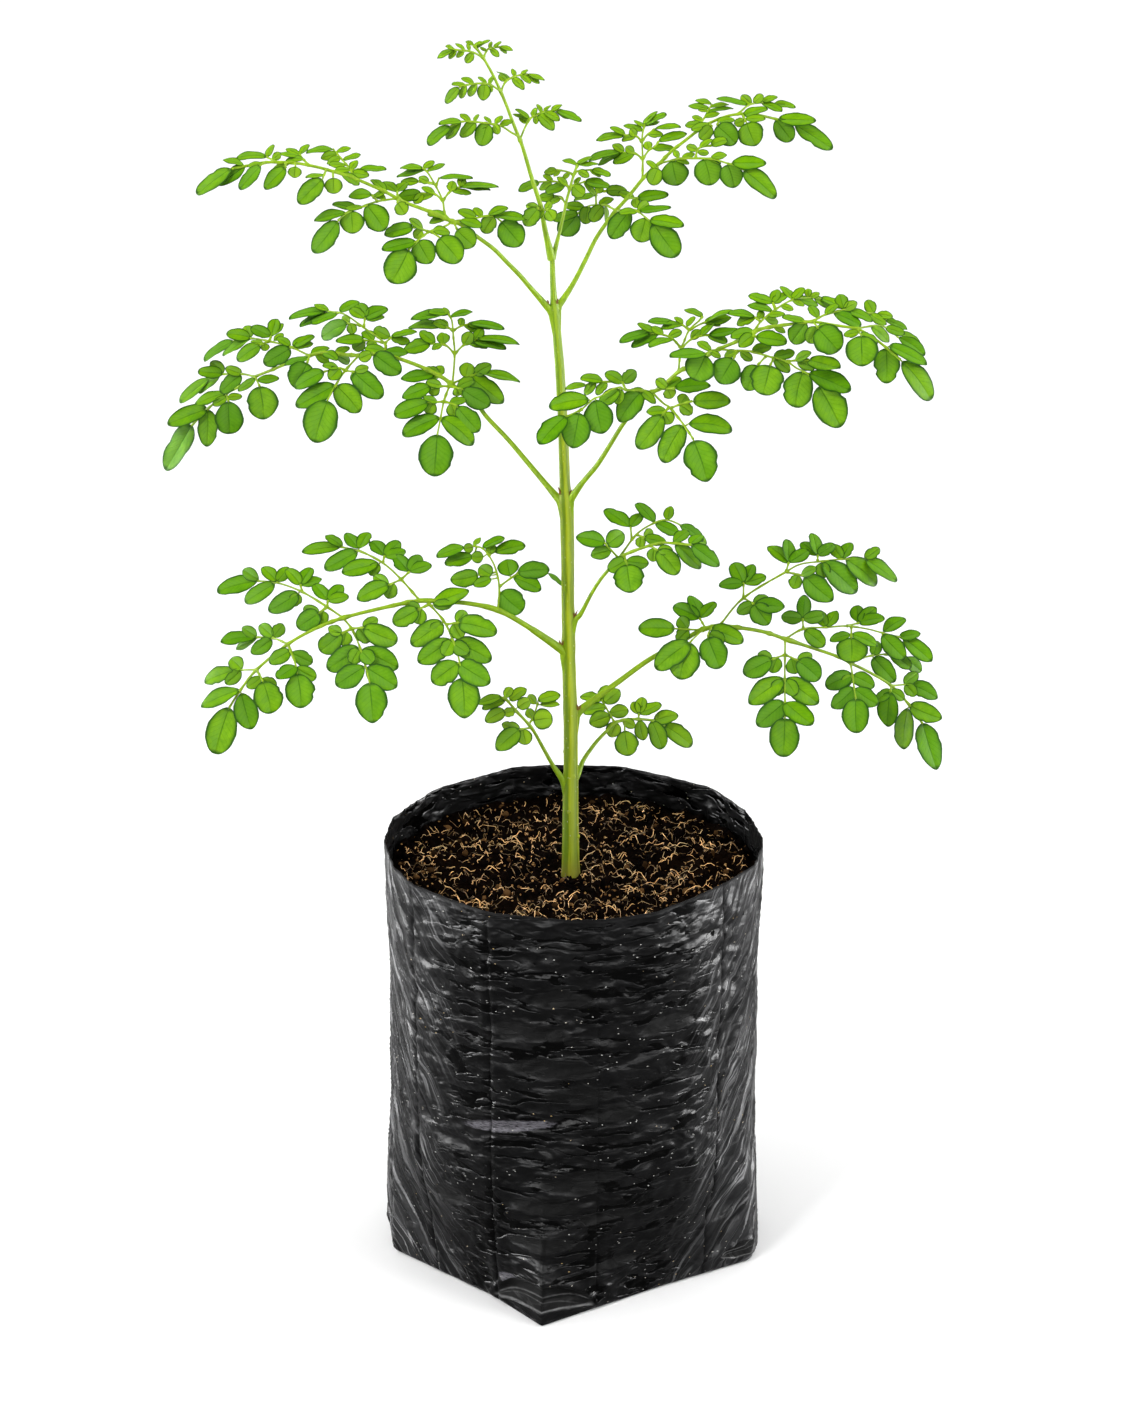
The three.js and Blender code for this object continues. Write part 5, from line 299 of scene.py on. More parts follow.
        (-3, [-87.5, 460.8, -92.5, 461.5, -97, 461.8],
         [(-92.5, 461.5, -96, 465.5, 4.5), (-91.5, 461.3, -93.5, 457.5, 5), (-96, 461.5, -101, 458, 5),
          (-96.5, 462, -108.5, 461, 4.5)]),
        (-5, [-96.6, 468, -96, 472.5],
         [(-96, 472.5, -98.5, 478.5, 6), (-96, 472.5, -86.3, 476.7, 5), (-96, 472.5, -88, 472.8, 3.5),
          (-96, 472.5, -102, 476.5, 4)]),
        (5, [-98, 469, -104, 470],
         [(-104, 470, -115.5, 463.5, 7.5), (-103, 470, -101.5, 465.5, 4), (-103, 470.2, -106, 473, 3)]),
        (-30, [-121.8, 454.3, -129.2, 458.1, -133.5, 459.6, -140.1, 461.3, -148.6, 462.7, -156.5, 461.3],
         [(-156.5, 461.3, -169.8, 452, 4), (-148.6, 462.5, -160.8, 454.3, 3.5), (-138, 461.6, -134, 464.5, 2.5),
          (-130.5, 459, -136, 462.5, 3), (-129.2, 458.6, -120.3, 463.5, 4), (-128.5, 458.2, -121, 460.3, 3.5),
          (-130.5, 457.8, -142, 450.8, 8), (-148.6, 463, -158.7, 464.5, 5), (-148.6, 463, -150.5, 468, 5)]),
        (-3, [-140.1, 461.3, -139.3, 463.6],
         [(-139.3, 463.6, -147.5, 467.5, 5), (-139.3, 463.6, -137, 471, 5), (-139.3, 463.6, -134.3, 469.3, 3.5)]),
        (3, [-140.1, 461.3, -144.3, 459.6],
         [(-144.3, 459.4, -154.3, 452.5, 6), (-142.5, 460.2, -141.8, 457, 3.5), (-143, 460, -148, 461, 2)]),
        (12, [-121.8, 454.3, -122.8, 451],
         [(-122.8, 450.8, -128.5, 439.7, 11.5), (-122, 453.5, -132.3, 449.2, 3.5)]),
        (-22, [-147, 444, -152.9, 445.4, -161.3, 445.3, -164.7, 444.5, -168, 443.3],
         [(-168, 443.3, -181.7, 431.5, 5), (-163, 444.8, -172.2, 436.5, 4), (-161.8, 445.5, -172.3, 446.3, 5),
          (-161.8, 445.5, -166.3, 450.8, 5), (-153.2, 445.5, -159.7, 448, 4), (-153.5, 445, -162.3, 437, 6.5)]),
        (12, [-147, 444, -145.1, 439.6],
         [(-145.1, 439.4, -143.6, 424, 13.5), (-146, 442.3, -137, 442.8, 3.5), (-146.7, 443, -154, 437.5, 3.5)]),
        (8, [-160.5, 435.7, -159.6, 432.1],
         [(-159.6, 432.1, -159.3, 416.8, 12.5), (-160, 434, -154, 434.3, 3), (-160.3, 434, -166, 430.5, 3.5)]),
     ]},
    {"name": "frond_mid_right", "near": (0, 62), "girth": (2.2, 1), "least": 36,
     "rachis": [-3.4, 378.5, 0.8, 387.6, 5.8, 394.4, 10.8, 400.8, 15.6, 408.7, 20.9, 418, 24, 422.8, 29, 429.6, 31.7,
                433.3, 35.2, 436.3, 39.1, 438.2, 44.8, 443.4, 48.4, 446.8, 54, 449.8, 60, 453.4, 66.7, 457.7, 74.6,
                461.3, 83.1, 466.3, 89.4, 468.3, 101, 470, 109.3, 471, 119.9, 469.3, 129.9, 467.6, 135, 465, 138.7,
                462.5, 143.7, 458.4, 150.4, 452.5],
     "leaves": [(151, 451.9, 164.2, 433, 9.5), (145, 459.3, 162.3, 450.3, 6.5), (143.7, 458.2, 144.2, 442, 10.8),
                (83, 466, 73, 463.8, 4.5), (92, 468.6, 96.5, 466, 2.5), (106.7, 470.5, 100.8, 461.8, 8),
                (106, 471, 96.5, 473, 2.8)],
     "sprays": [
        (24, [36, 436.7, 41, 431.5, 44.6, 428.8, 50.6, 421, 55.2, 413.8],
         [(55.5, 413, 62, 392.9, 15.5), (53, 421.2, 73, 418, 9), (50.3, 420.5, 41.3, 402.5, 11.5)]),
        (4, [44.6, 428.8, 48.5, 430.5, 54.5, 432.3],
         [(49, 430.7, 51.5, 435, 5), (49, 430.5, 54, 426.5, 5), (55, 432.3, 71.7, 432, 8)]),
        (4, [44, 429.2, 41, 426],
         [(42.5, 427.5, 34.5, 427, 4), (42, 426.8, 44.5, 421.8, 5.5), (41, 425.5, 29.7, 409.3, 10.5)]),
        (6, [38.6, 438, 43, 438.3, 46.5, 438.7],
         [(43, 438.7, 38.5, 442.5, 4), (42, 438.8, 48.5, 443, 3.5), (43, 438.3, 45, 434.2, 5),
          (46.5, 438.7, 62.3, 439.3, 6.5)]),
        (24, [36, 436.7, 31.8, 437.5, 24, 437.8, 21, 439, 16.9, 437.7, 12.6, 434.8, 9, 433.3, 5, 429.5, 2.4, 427],
         [(2.4, 426.6, -0.5, 410, 12.4), (7, 433, -11, 429, 8.5), (10, 433, 13, 417.2, 12.5),
          (21, 438, 12.8, 431.5, 5.5), (22, 438, 20, 431.5, 4), (31, 437, 21.3, 422.8, 10.5),
          (33, 436.8, 25, 436, 3.5), (31.5, 437, 37, 431.8, 3.5)]),
        (3, [4, 428.3, 0, 426.3, -3.7, 424.7],
         [(-3.7, 424.7, -15.7, 410.6, 9.5)]),
        (-8, [24, 438, 22.5, 441.3],
         [(22.5, 441.3, 15.3, 445.5, 4.5), (22.5, 441.3, 27.8, 446.5, 5)]),
        (-3, [22.5, 441.3, 13.5, 441.7, 5, 440],
         [(13.5, 441.7, 4, 443, 3.5), (5.5, 440, -3, 438, 2.5), (10, 441.5, 5.5, 436, 3.5),
          (15, 441.6, 11, 436, 3.5)]),
        (-26, [48.4, 446.8, 48.5, 451.2, 49.4, 458, 50.5, 461, 53, 467, 57.3, 471.3, 59, 473.5],
         [(59, 473.5, 51.5, 476.5, 2.5)]),
        (-5, [49.4, 458, 45.5, 462.5, 41.5, 464.5, 35, 465.5],
         [(45.5, 462.5, 35.5, 458.8, 3.5), (43.5, 463.5, 48.8, 466, 3.2), (41, 464.6, 36.3, 468, 3),
          (39, 464.8, 27.5, 458.7, 4), (35, 465.7, 22, 460.7, 4), (37, 465.5, 30, 469.3, 2.5)]),
        (-4, [53, 467, 49.5, 469.5, 46, 470.3],
         [(49.5, 469.5, 41, 467.5, 3), (50, 469.8, 46.5, 472.6, 2), (46, 470.3, 35, 470.3, 3),
          (52, 468.5, 55, 472.7, 2.3)]),
        (-5, [49.4, 458, 53.7, 462.3, 59, 464.2, 62, 464.5],
         [(53.7, 462.3, 57.5, 466.3, 3.5), (58.5, 464, 64, 469.8, 3), (62, 464.5, 74.8, 467, 4),
          (61.5, 464.3, 69.5, 461.3, 3.5)]),
        (-4, [53, 467, 58.5, 470, 62, 471],
         [(60, 470.6, 71.3, 472.3, 4), (61, 471, 72.8, 475, 2.5), (60, 470.3, 66.5, 469.3, 2)]),
        (10, [66.7, 457.7, 62, 456.3, 60.5, 455],
         [(60.5, 454.8, 55.7, 443.7, 12), (61, 455.5, 44.3, 453.2, 5), (63, 456.7, 57.5, 460.5, 3),
          (63, 456.4, 67, 454, 2.5)]),
        (24, [66.7, 457.7, 74.5, 456.9, 80.9, 456.7, 90.4, 453.9, 98, 451.7, 102.5, 448.5, 108, 445.6, 113, 440.4],
         [(113.2, 439.8, 123.3, 420, 15), (105.5, 446.8, 102.5, 430.1, 13), (108.3, 446, 127.4, 437.4, 9),
          (75, 456.8, 70, 454, 3), (76.5, 456.7, 81.5, 452.8, 3.5), (82, 456.8, 89.8, 458.5, 3.8),
          (92, 453.8, 100.5, 455.8, 4), (92, 453.3, 98.5, 447.2, 4.5)]),
        (4, [98, 451.7, 103, 452.3, 108.3, 452.5],
         [(102, 452.3, 108.5, 455.5, 3.5), (103, 452.2, 110, 448.5, 4.5), (108.3, 452.5, 122.3, 448.2, 7)]),
        (5, [92, 453.4, 90.5, 450],
         [(90.5, 449.8, 87.5, 436.4, 13.5)]),
        (-2, [88.5, 454.4, 84.7, 450],
         [(84.7, 449.8, 80, 438.6, 9.5)]),
        (5, [75.5, 456.9, 73.6, 453.5],
         [(73.6, 453, 67.6, 442, 11.5)]),
        (-28, [83.1, 466.3, 85.7, 471, 92.5, 476.9, 100, 481.5, 107, 482.6, 113, 482.3],
         [(113, 482.3, 122.8, 477.2, 3.5), (110, 482.4, 116, 479, 3), (107.3, 482.8, 107, 486.5, 3),
          (108, 482.8, 112, 484.6, 2.5), (102.5, 481.8, 111, 479.5, 3.5), (100.3, 481.8, 95, 487, 3),
          (100.3, 481.8, 104.7, 486.5, 3.5), (100, 481.3, 105, 479, 2.2), (95, 478.5, 100, 476.9, 2.5),
          (91, 476, 80.5, 478.5, 3.2), (87.5, 472.5, 93, 470.8, 3), (89, 474, 96, 474.5, 2.5)]),
        (-4, [85.7, 471, 83.3, 473],
         [(83.3, 473, 75.8, 469.8, 3.8), (83, 473.3, 71.5, 474.3, 3), (84.3, 472.5, 86.5, 475.8, 3)]),
        (-4, [92.5, 476.9, 91.2, 480],
         [(91.2, 480, 81, 483.5, 4), (91.2, 480, 93, 485.8, 4), (91.2, 480, 96.8, 484, 3.5)]),
        (8, [84, 466.5, 82.5, 464.5, 83.5, 463.8],
         [(83.5, 463.5, 97, 461.3, 6), (82.5, 464.5, 76.5, 459.5, 5)]),
        (-28, [109.3, 471, 114.4, 474, 117.7, 475.1, 123.3, 476.7, 128, 476.8, 134, 475.5, 139, 474.5, 145, 470.5,
         150, 466],
         [(123.8, 477, 122, 483.5, 5), (123.8, 477, 129, 480, 4), (137.5, 475, 134.5, 480.5, 4.5),
          (139, 474.8, 145.5, 473.5, 3.2), (119, 475.3, 131, 469.5, 5), (126, 476.3, 136, 471.5, 3.5),
          (135.5, 474.8, 142.5, 470, 3.5), (143, 472, 152, 467.5, 3), (150, 466, 158.5, 459, 4),
          (115.5, 474.4, 120.5, 478.7, 2.8), (112, 472.7, 108.5, 478, 3.5)]),
        (10, [109.8, 470.8, 112, 468.3],
         [(112, 468, 121.3, 457.8, 12), (111.5, 468.7, 108.3, 461.5, 6.5), (112, 468.6, 119.5, 467, 2.5)]),
        (12, [129.9, 467.6, 132, 464.5],
         [(132, 464.3, 132.8, 450.5, 13), (131, 466, 124.8, 464.5, 3), (131.5, 465.3, 138.8, 461, 3.5)]),
        (-14, [129.9, 467.6, 134, 468.5, 139.5, 469.2, 144, 467.8, 149, 463.5],
         [(136.5, 468.8, 144, 462, 4.5), (149, 463.5, 160.5, 455, 5), (143, 468.2, 151, 465.5, 3.5)]),
     ]},
    {"name": "frond_high_left", "near": (0, 50), "girth": (2, 0.9), "least": 25,
     "rachis": [-9.6, 475, -18.7, 485.7, -24.6, 493, -30.5, 499.3, -36.6, 505.8, -43.9, 511.5, -51.3, 517.3, -55.6,
                519, -64.8, 523.3, -76.4, 527.8, -80.1, 529.7, -86.2, 533.3, -91.6, 535.8, -99.4, 539.3, -106.2,
                541.7, -111.2, 543.2, -115.5, 544.5, -120.5, 545.6, -126.7, 546.6, -139.8, 547, -149.1, 545.2, -155.5,
                544],
     "leaves": [(-155.8, 543.9, -171.2, 531.8, 6.5), (-149.3, 545, -160.5, 536.5, 5.5),
                (-150, 545.2, -158.5, 547.6, 2.5), (-85.5, 533.2, -91, 530.3, 2.2), (-86, 533.4, -91.5, 538, 2.8),
                (-105.5, 541.3, -98.5, 537, 3.5), (-129, 546.5, -136, 543.8, 2.2)],
     "sprays": [
        (-26, [-55.6, 519, -58.8, 522.4, -59.8, 528.8, -62.9, 535.8, -66.5, 542.2, -68.7, 544.1],
         [(-68, 543.5, -79.5, 540, 3), (-68.7, 544.1, -78, 544, 2.5), (-68.5, 544.2, -64, 547, 2.5),
          (-66.8, 542.7, -59.5, 545.6, 2), (-58, 521.5, -65.8, 522, 3), (-57.5, 521, -65, 518.5, 3)]),
        (-4, [-59.8, 528.8, -63.5, 532, -69.5, 532.3],
         [(-63.5, 532, -68.5, 534.8, 2.5), (-64, 532, -69, 529.8, 2.5), (-69.5, 532.3, -79.3, 530.3, 5),
          (-69, 532.2, -72.5, 528, 3.5)]),
        (-5, [-59.8, 528.8, -56.3, 533.3, -52, 535.3],
         [(-56.3, 533.3, -55, 537.5, 4), (-55.5, 533.7, -47.8, 532.3, 2.5), (-52, 535.3, -50.5, 539.7, 3.5),
          (-52, 535.3, -39, 534, 3), (-52, 535.6, -34.8, 535.6, 3.5)]),
        (-4, [-62.9, 535.8, -61.3, 539.7],
         [(-61.3, 539.7, -46.8, 539.3, 2.5)]),
        (-4, [-63.5, 537, -70.5, 538],
         [(-66, 537.5, -70, 539.6, 3), (-70.5, 538, -77.8, 537.8, 3)]),
        (22, [-55.6, 519, -58.7, 516.8, -66.1, 514, -71.6, 509.6, -75.3, 505.7],
         [(-75.6, 505.6, -83.6, 490.3, 14), (-64.5, 514.6, -57.5, 513.5, 3.5), (-72, 509.3, -87, 505, 5.5),
          (-71.3, 509.7, -66, 500, 9.5)]),
        (4, [-66.1, 514, -70, 515.5, -73.5, 516.3],
         [(-69, 515.2, -74.5, 519.5, 3), (-69.5, 515.3, -72.5, 511.5, 4), (-73.5, 516.3, -85.5, 512.7, 5.5)]),
        (4, [-65.5, 514.2, -61.5, 511.5],
         [(-61.5, 511.3, -52.6, 500.6, 11)]),
        (6, [-54.8, 518.8, -53.5, 515.5],
         [(-53.5, 515, -46.3, 508, 8.5)]),
        (-12, [-55.6, 519, -48, 520, -43.9, 520.8, -40.2, 521.7, -36.5, 521.5, -33.2, 519],
         [(-33.2, 519, -24.8, 508.4, 11), (-52, 519.5, -43, 516.3, 3.5), (-44.5, 520.8, -52, 523.5, 3.5),
          (-42, 521.3, -45.3, 525, 3), (-39, 521.8, -31, 525, 3), (-37, 521.7, -22.3, 520.3, 3.5),
          (-36.5, 521.3, -41, 514.5, 6)]),
        (12, [-80.1, 529.7, -80.3, 528],
         [(-80.3, 527.8, -77.3, 523, 5.5)]),
        (22, [-80.5, 530, -89.5, 528.5, -96.4, 526, -103.3, 523.3, -107.5, 519.5],
         [(-107.6, 519.1, -118.8, 504.5, 9.5), (-103.8, 523, -117.5, 519, 4.5), (-101.5, 524.1, -101, 514.3, 9),
          (-94.5, 526.8, -86.9, 515.6, 10), (-99, 525, -109, 526.8, 3.2), (-96.5, 526, -103.3, 524.6, 2.5),
          (-86, 529.2, -91, 531.2, 2.2)]),
        (4, [-89.5, 528.5, -92, 531.5],
         [(-92, 531.7, -101.5, 530.8, 4)]),
        (-10, [-80.1, 529.7, -80.5, 533],
         [(-80.5, 533, -86.3, 537, 3.5), (-80.5, 533, -76.3, 537, 3.5)]),
        (-26, [-100.5, 539.8, -101.3, 543.1, -105, 548, -109.3, 553.2],
         [(-101.5, 543.5, -98.7, 547.3, 2.8), (-100.8, 542, -94, 540.8, 3.3), (-104.8, 548, -97.7, 550.3, 2),
          (-108, 551.5, -102, 553.5, 2), (-109.3, 553.2, -120.5, 551.5, 2.5), (-107.5, 551, -114, 549, 3.5),
          (-106, 549, -111.5, 546.5, 3), (-103.5, 546, -110.5, 545.3, 2.5), (-101.5, 543.3, -108, 543, 2.5)]),
        (-3, [-101.3, 543.1, -97.5, 543.7],
         [(-97.5, 543.7, -86.3, 543.3, 3)]),
        (10, [-109.5, 542.7, -109.5, 540],
         [(-109.5, 539.7, -109.2, 533, 6.5)]),
        (14, [-112.5, 543.6, -114, 540],
         [(-114.3, 539, -124.8, 528.3, 8), (-113.5, 541, -121, 539.5, 2)]),
        (-14, [-120.5, 545.6, -124.5, 550.5],
         [(-124.5, 550.5, -121, 555, 2.5), (-124.5, 550.5, -130, 552.8, 2.2), (-124, 550, -133.5, 550.3, 2),
          (-122.5, 548.2, -130, 547.8, 2.3)]),
        (12, [-126.5, 546.6, -126.5, 545],
         [(-126.5, 545, -127, 540.2, 5)]),
        (10, [-131, 546.7, -131, 544.5],
         [(-131, 544.3, -139.8, 535, 6)]),
        (-12, [-134.5, 546.9, -139.5, 549.5],
         [(-137, 548.3, -133.5, 551, 3), (-139, 549.5, -136.5, 554.5, 2.5), (-139.5, 549.5, -152.5, 548.8, 3)]),
        (8, [-140, 547, -142.5, 545.6],
         [(-142.3, 545.5, -151.5, 535, 5.5), (-141, 546.3, -147.5, 544.8, 2)]),
     ]},
    {"name": "frond_high_right", "near": (0, -62), "girth": (2, 0.9), "least": 25,
     "rachis": [-9, 476.5, -5.2, 481.4, 0, 490, 5.1, 500.4, 10, 510.9, 15, 518.7, 19.4, 524.6, 24.4, 530.5, 30.6,
                538.6, 33.7, 542.1, 39.3, 547.3, 44.3, 552.5, 50.5, 557.6, 57, 562.9, 61.6, 565.8, 68.5, 568.7, 74,
                569.8, 80, 570, 84.5, 569.2, 91, 567.6, 95, 566.6, 99.5, 564.9],
     "leaves": [(99.8, 564.8, 116.4, 553, 8.5), (92.5, 567.6, 108.7, 566.2, 5.5), (91.2, 567.3, 98, 558.2, 8)],
     "sprays": [
        (12, [76, 570, 77.5, 566.5],
         [(78, 565.8, 82, 556, 10.5), (77, 567, 73, 565.3, 3.5), (77.3, 567.5, 85.5, 567.5, 3),
          (76.6, 569, 86.5, 572, 3.5)]),
        (10, [66, 567.7, 64.8, 565],
         [(64.6, 564.4, 72.5, 556.7, 9), (65.2, 566, 71.5, 567, 2.5)]),
        (6, [61, 565.4, 62.2, 564.2],
         [(62.2, 564, 57.5, 558.8, 5), (61.5, 564.8, 54, 562.5, 3.5)]),
        (-22, [74, 569.8, 78, 573.5, 81, 574.8, 85, 575.2, 90, 574.5],
         [(78.5, 573.8, 65, 576.5, 2.5), (81, 575, 84.5, 578.5, 3.5), (80, 574.5, 76, 578, 3.5),
          (85, 575.5, 91, 577.6, 2.5), (85, 575, 93, 571.3, 3), (90, 574.5, 99, 573, 2.8)]),
        (-22, [56.2, 562.3, 57.4, 565.8, 59.3, 568.7, 60.7, 571.6, 62.2, 574.4],
         [(61, 572.5, 52.5, 573.5, 2.3), (62, 574.4, 55.5, 576, 2), (60.5, 571.3, 56.5, 571.5, 1.8),
          (58, 566.8, 53.8, 568.5, 2.2), (57.3, 565.5, 51, 564.5, 3), (61.5, 573, 69, 573.8, 2),
          (59, 568.3, 65, 570, 2.3), (60.2, 570.5, 71, 571.8, 1.8)]),
        (-26, [31, 539.2, 31.1, 548.6, 30.8, 555.7, 31, 561, 32, 564.8],
         [(31, 561.8, 23.3, 564, 2.4), (31.5, 563.5, 27.5, 566.3, 1.5), (32, 564.3, 38, 565.8, 1.5),
          (32, 564.8, 41, 569, 2.5), (31.8, 564.8, 37, 570.3, 2)]),
        (-5, [31.1, 548.6, 27.5, 551.3, 21, 551.9],
         [(27.5, 551.3, 23.8, 554, 3.3), (27.3, 551.2, 18.7, 547, 4), (22.5, 551.9, 18, 555, 3),
          (21, 551.9, 7.5, 547.8, 3.5), (21, 551.7, 11.8, 546.3, 3)]),
        (-5, [31.1, 548.6, 34, 553, 36.5, 554.2, 38.3, 557],
         [(34, 553, 32.8, 556.5, 3.5), (35.5, 553.7, 44.3, 553.5, 3), (38.3, 557, 50.2, 560, 4)]),
        (-4, [31, 556.5, 28, 559.5, 22.5, 560],
         [(28, 559.5, 25.7, 562.5, 3.3), (28, 559.3, 22.3, 557.6, 2.7), (22.5, 559.9, 11, 557, 3.5),
          (23, 560, 17, 563, 2.5)]),
        (-4, [31, 557.3, 33.3, 560.3, 36.5, 562.8],
         [(33.3, 560.2, 39.5, 560.2, 2.7), (36.5, 562.8, 47.3, 563.3, 2.5)]),
        (10, [35.5, 543.8, 38, 544.5],
         [(38.2, 544.3, 35.5, 537.3, 6), (37.2, 544.3, 33.3, 547.3, 2.3)]),
        (20, [38.6, 546.7, 43, 547.7, 47, 548.8, 50.6, 549, 59, 549, 63.7, 548.5, 69.2, 546.8, 73.5, 545.6, 76.6,
         543.7],
         [(77, 543.4, 91.4, 530.4, 9), (71.5, 546.8, 86.3, 546.4, 6), (69.7, 546.2, 72.6, 536.2, 9),
          (62, 549.3, 68.5, 550.3, 2.8), (59, 548.8, 62, 537.4, 11), (61, 548.6, 66, 546.6, 1.8),
          (47.5, 549, 45.7, 552.3, 2.5), (49, 549.3, 54, 551, 2.4), (46, 548.3, 51.5, 546.5, 2),
          (44.5, 548, 46.8, 537.2, 11)]),
        (-6, [55, 549.2, 56.5, 553.8, 62, 555],
         [(57, 553.9, 62, 557.5, 2.5), (62, 555, 68.5, 557.5, 3.5), (56.2, 553, 51.5, 554.5, 3),
          (56, 552, 60.5, 551.5, 2.5)]),
        (20, [18.8, 523.8, 25, 524.6, 28.8, 524, 32.5, 521, 35.5, 518.5],
         [(36, 518.2, 47, 502.8, 12.5), (34.5, 519.8, 49.3, 517, 5.3), (32.7, 520.8, 30, 510.3, 9.5),
          (29, 524, 33, 527.8, 4), (29.5, 523.8, 43.3, 525, 3.3), (28.5, 523.8, 21.3, 522.6, 3),
          (25.5, 524.4, 17, 511.8, 9)]),
        (-6, [24, 530, 28.8, 530.1],
         [(27.5, 530, 21, 532.5, 3), (27.5, 530, 28.5, 526, 3.5), (28.8, 530.1, 42, 531.3, 4.8)]),
        (-22, [19, 524.2, 17, 525.5, 14.5, 526.7, 10, 526.8, 7, 526.5, 3, 524, 1.5, 522.5],
         [(1.5, 522.5, -5.5, 513.3, 9), (1.8, 523, -8.5, 519.5, 4), (11.5, 526.8, 17, 529.5, 3),
          (13, 526.7, 8, 520, 5.5), (14, 526.6, 14, 519.7, 2), (6.5, 526.3, 5, 518.8, 5.6),
          (5, 525.3, -3.5, 526.3, 3.7)]),
        (-4, [10, 526.8, 10.3, 532.5, 14.5, 533.5],
         [(10.3, 531.5, 1, 528.8, 2.5), (10.3, 532.5, 12, 536, 3.5), (14.5, 533.5, 23, 533.3, 4.5)]),
     ]},
    {"name": "frond_top_small", "near": (0, -18), "girth": (1.5, 0.8), "least": 13,
     "rachis": [-9.6, 501, -9, 504.5, -8.4, 506.8, -7.2, 511.7, -5.8, 517.5, -4.4, 523.8, -3.5, 528.7, -2.1, 534,
                -0.7, 539.3, 0.5, 543.2, 1.6, 546.1],
     "leaves": [(1.4, 545.8, -4.7, 547.8, 2), (1.6, 546.1, 7.5, 549.2, 1.9), (1.6, 546, 10, 545.8, 1.9)],
     "sprays": [
        (-6, [-3.8, 527.2, -6, 530.5, -9, 531.3],
         [(-9, 531.3, -15.5, 530.3, 3.8), (-6, 530.5, -10.5, 527.6, 2.5)]),
        (-6, [-2.1, 534, -3.5, 536.3, -8.5, 538, -16, 537.8],
         [(-3.2, 536, -7.3, 539.5, 2.5), (-4, 536.4, -12, 533, 4), (-10, 538, -13.5, 540.8, 2),
          (-10, 537.9, -15, 534.5, 3), (-16, 537.8, -24.3, 533.8, 3.5)]),
        (-6, [-1.9, 534.6, -0.6, 536, 5, 538],
         [(-0.6, 536, 4, 531.8, 5.5), (0.5, 536.5, 2.5, 539.6, 2), (5, 538, 15.3, 535.3, 4),
          (4.5, 537.8, 9, 532, 2.5)]),
        (-4, [-0.2, 541, -3, 542.6, -8, 543.6],
         [(-8, 543.6, -13, 542.3, 3), (-2, 542, -4.8, 540, 2), (-6, 543.2, -9, 540.8, 1.5)]),
        (-4, [0, 541.6, 2, 543, 8, 543.6],
         [(2, 543, 6.3, 540.6, 3), (8, 543.6, 15.5, 540.8, 2.8), (7, 543.5, 11.5, 540.6, 2)]),
     ]},
    {"name": "frond_top", "near": (0, 14), "girth": (2.2, 0.8), "least": 14,
     "rachis": [-10.2, 501, -13.2, 514.7, -14.8, 524.5, -15.5, 527.5, -19.4, 540.2, -21.6, 548.2, -23.7, 555.4, -25.8,
                560.8, -28.6, 568.3, -30.7, 574.2, -33.3, 580.6, -36.4, 587.6, -39.5, 593.5, -41.1, 596.2, -43.2,
                599.4, -45.3, 602],
     "leaves": [(-45, 601.6, -41.3, 603.2, 1.4), (-44, 600.5, -38.5, 604, 1.3), (-45.3, 602, -48.5, 603.4, 1.6)],
     "sprays": [
        (5, [-14.8, 524.3, -16.5, 525.3],
         [(-16.3, 525.2, -22, 518, 6.5), (-16, 525.2, -21.3, 526.5, 3.5)]),
        (4, [-14.8, 524, -12, 524.8],
         [(-12.3, 524.7, -9.5, 520, 5), (-13, 524.5, -11, 528, 3), (-13.5, 524.3, -16.2, 519.8, 1.8)]),
        (18, [-24.5, 557.5, -25.6, 559.4, -28.7, 561.3, -32.8, 564, -38.5, 565.3, -44.7, 566.1, -50.8, 566.2, -56,
         564],
         [(-56, 564, -65.2, 555.6, 4.5), (-51.3, 566, -57.2, 558.8, 4), (-44.7, 566, -50.7, 559.8, 4.5),
          (-39.5, 565.4, -42.2, 555.9, 7), (-38.5, 565.3, -43.4, 563.6, 2.2), (-36, 564.7, -34.5, 560.8, 3.2),
          (-33.5, 564.2, -28.5, 566.3, 2.4), (-37.7, 565.3, -40.3, 568.3, 1.6), (-35.5, 564.7, -33, 568.5, 2.3),
          (-47, 566.1, -51, 569.3, 2.3), (-45, 566.1, -43.5, 569.2, 1.6), (-51, 566.2, -60.2, 564.8, 2.6)]),
        (-14, [-24.4, 557.8, -24, 559.2, -22, 564, -20.3, 567.2, -17.8, 569.1, -14, 570.7, -8, 571.5],
         [(-8, 571.5, 2.2, 566.5, 3), (-8.3, 571.4, -2.8, 568, 2.6), (-13.7, 570.8, -7.3, 567.3, 3),
          (-16.3, 569.7, -10, 563, 4.4), (-17.5, 569.2, -17.3, 565.5, 2.2), (-21.3, 565.4, -24.5, 567.5, 1.9),
          (-20.8, 566.4, -27, 569.3, 1.7), (-20.3, 567.2, -26, 571.3, 1.7), (-18.5, 568.6, -17.5, 572.3, 2.3),
          (-15, 570.3, -16.3, 574, 1.8), (-13.5, 570.8, -10.8, 573.4, 1.4), (-10.2, 571.2, -6, 573.8, 2)]),
        (12, [-33, 579.8, -34, 581, -36.5, 582.8, -39, 583.8, -43.7, 584.1, -48.8, 583.3, -52, 582.3],
         [(-52, 582.3, -57.2, 575.5, 3.5), (-49, 583.2, -51, 577.8, 2.8), (-44, 584, -47.2, 578.8, 3),
          (-40.3, 583.9, -41.2, 577, 4.9), (-37.8, 583.3, -37.5, 580.3, 1.6), (-39.5, 583.9, -42.8, 586.8, 1.5),
          (-38, 583.4, -37.2, 586.9, 1.7), (-45.5, 583.8, -50.3, 586.2, 2), (-49, 583.2, -54.6, 583.4, 1.6)]),
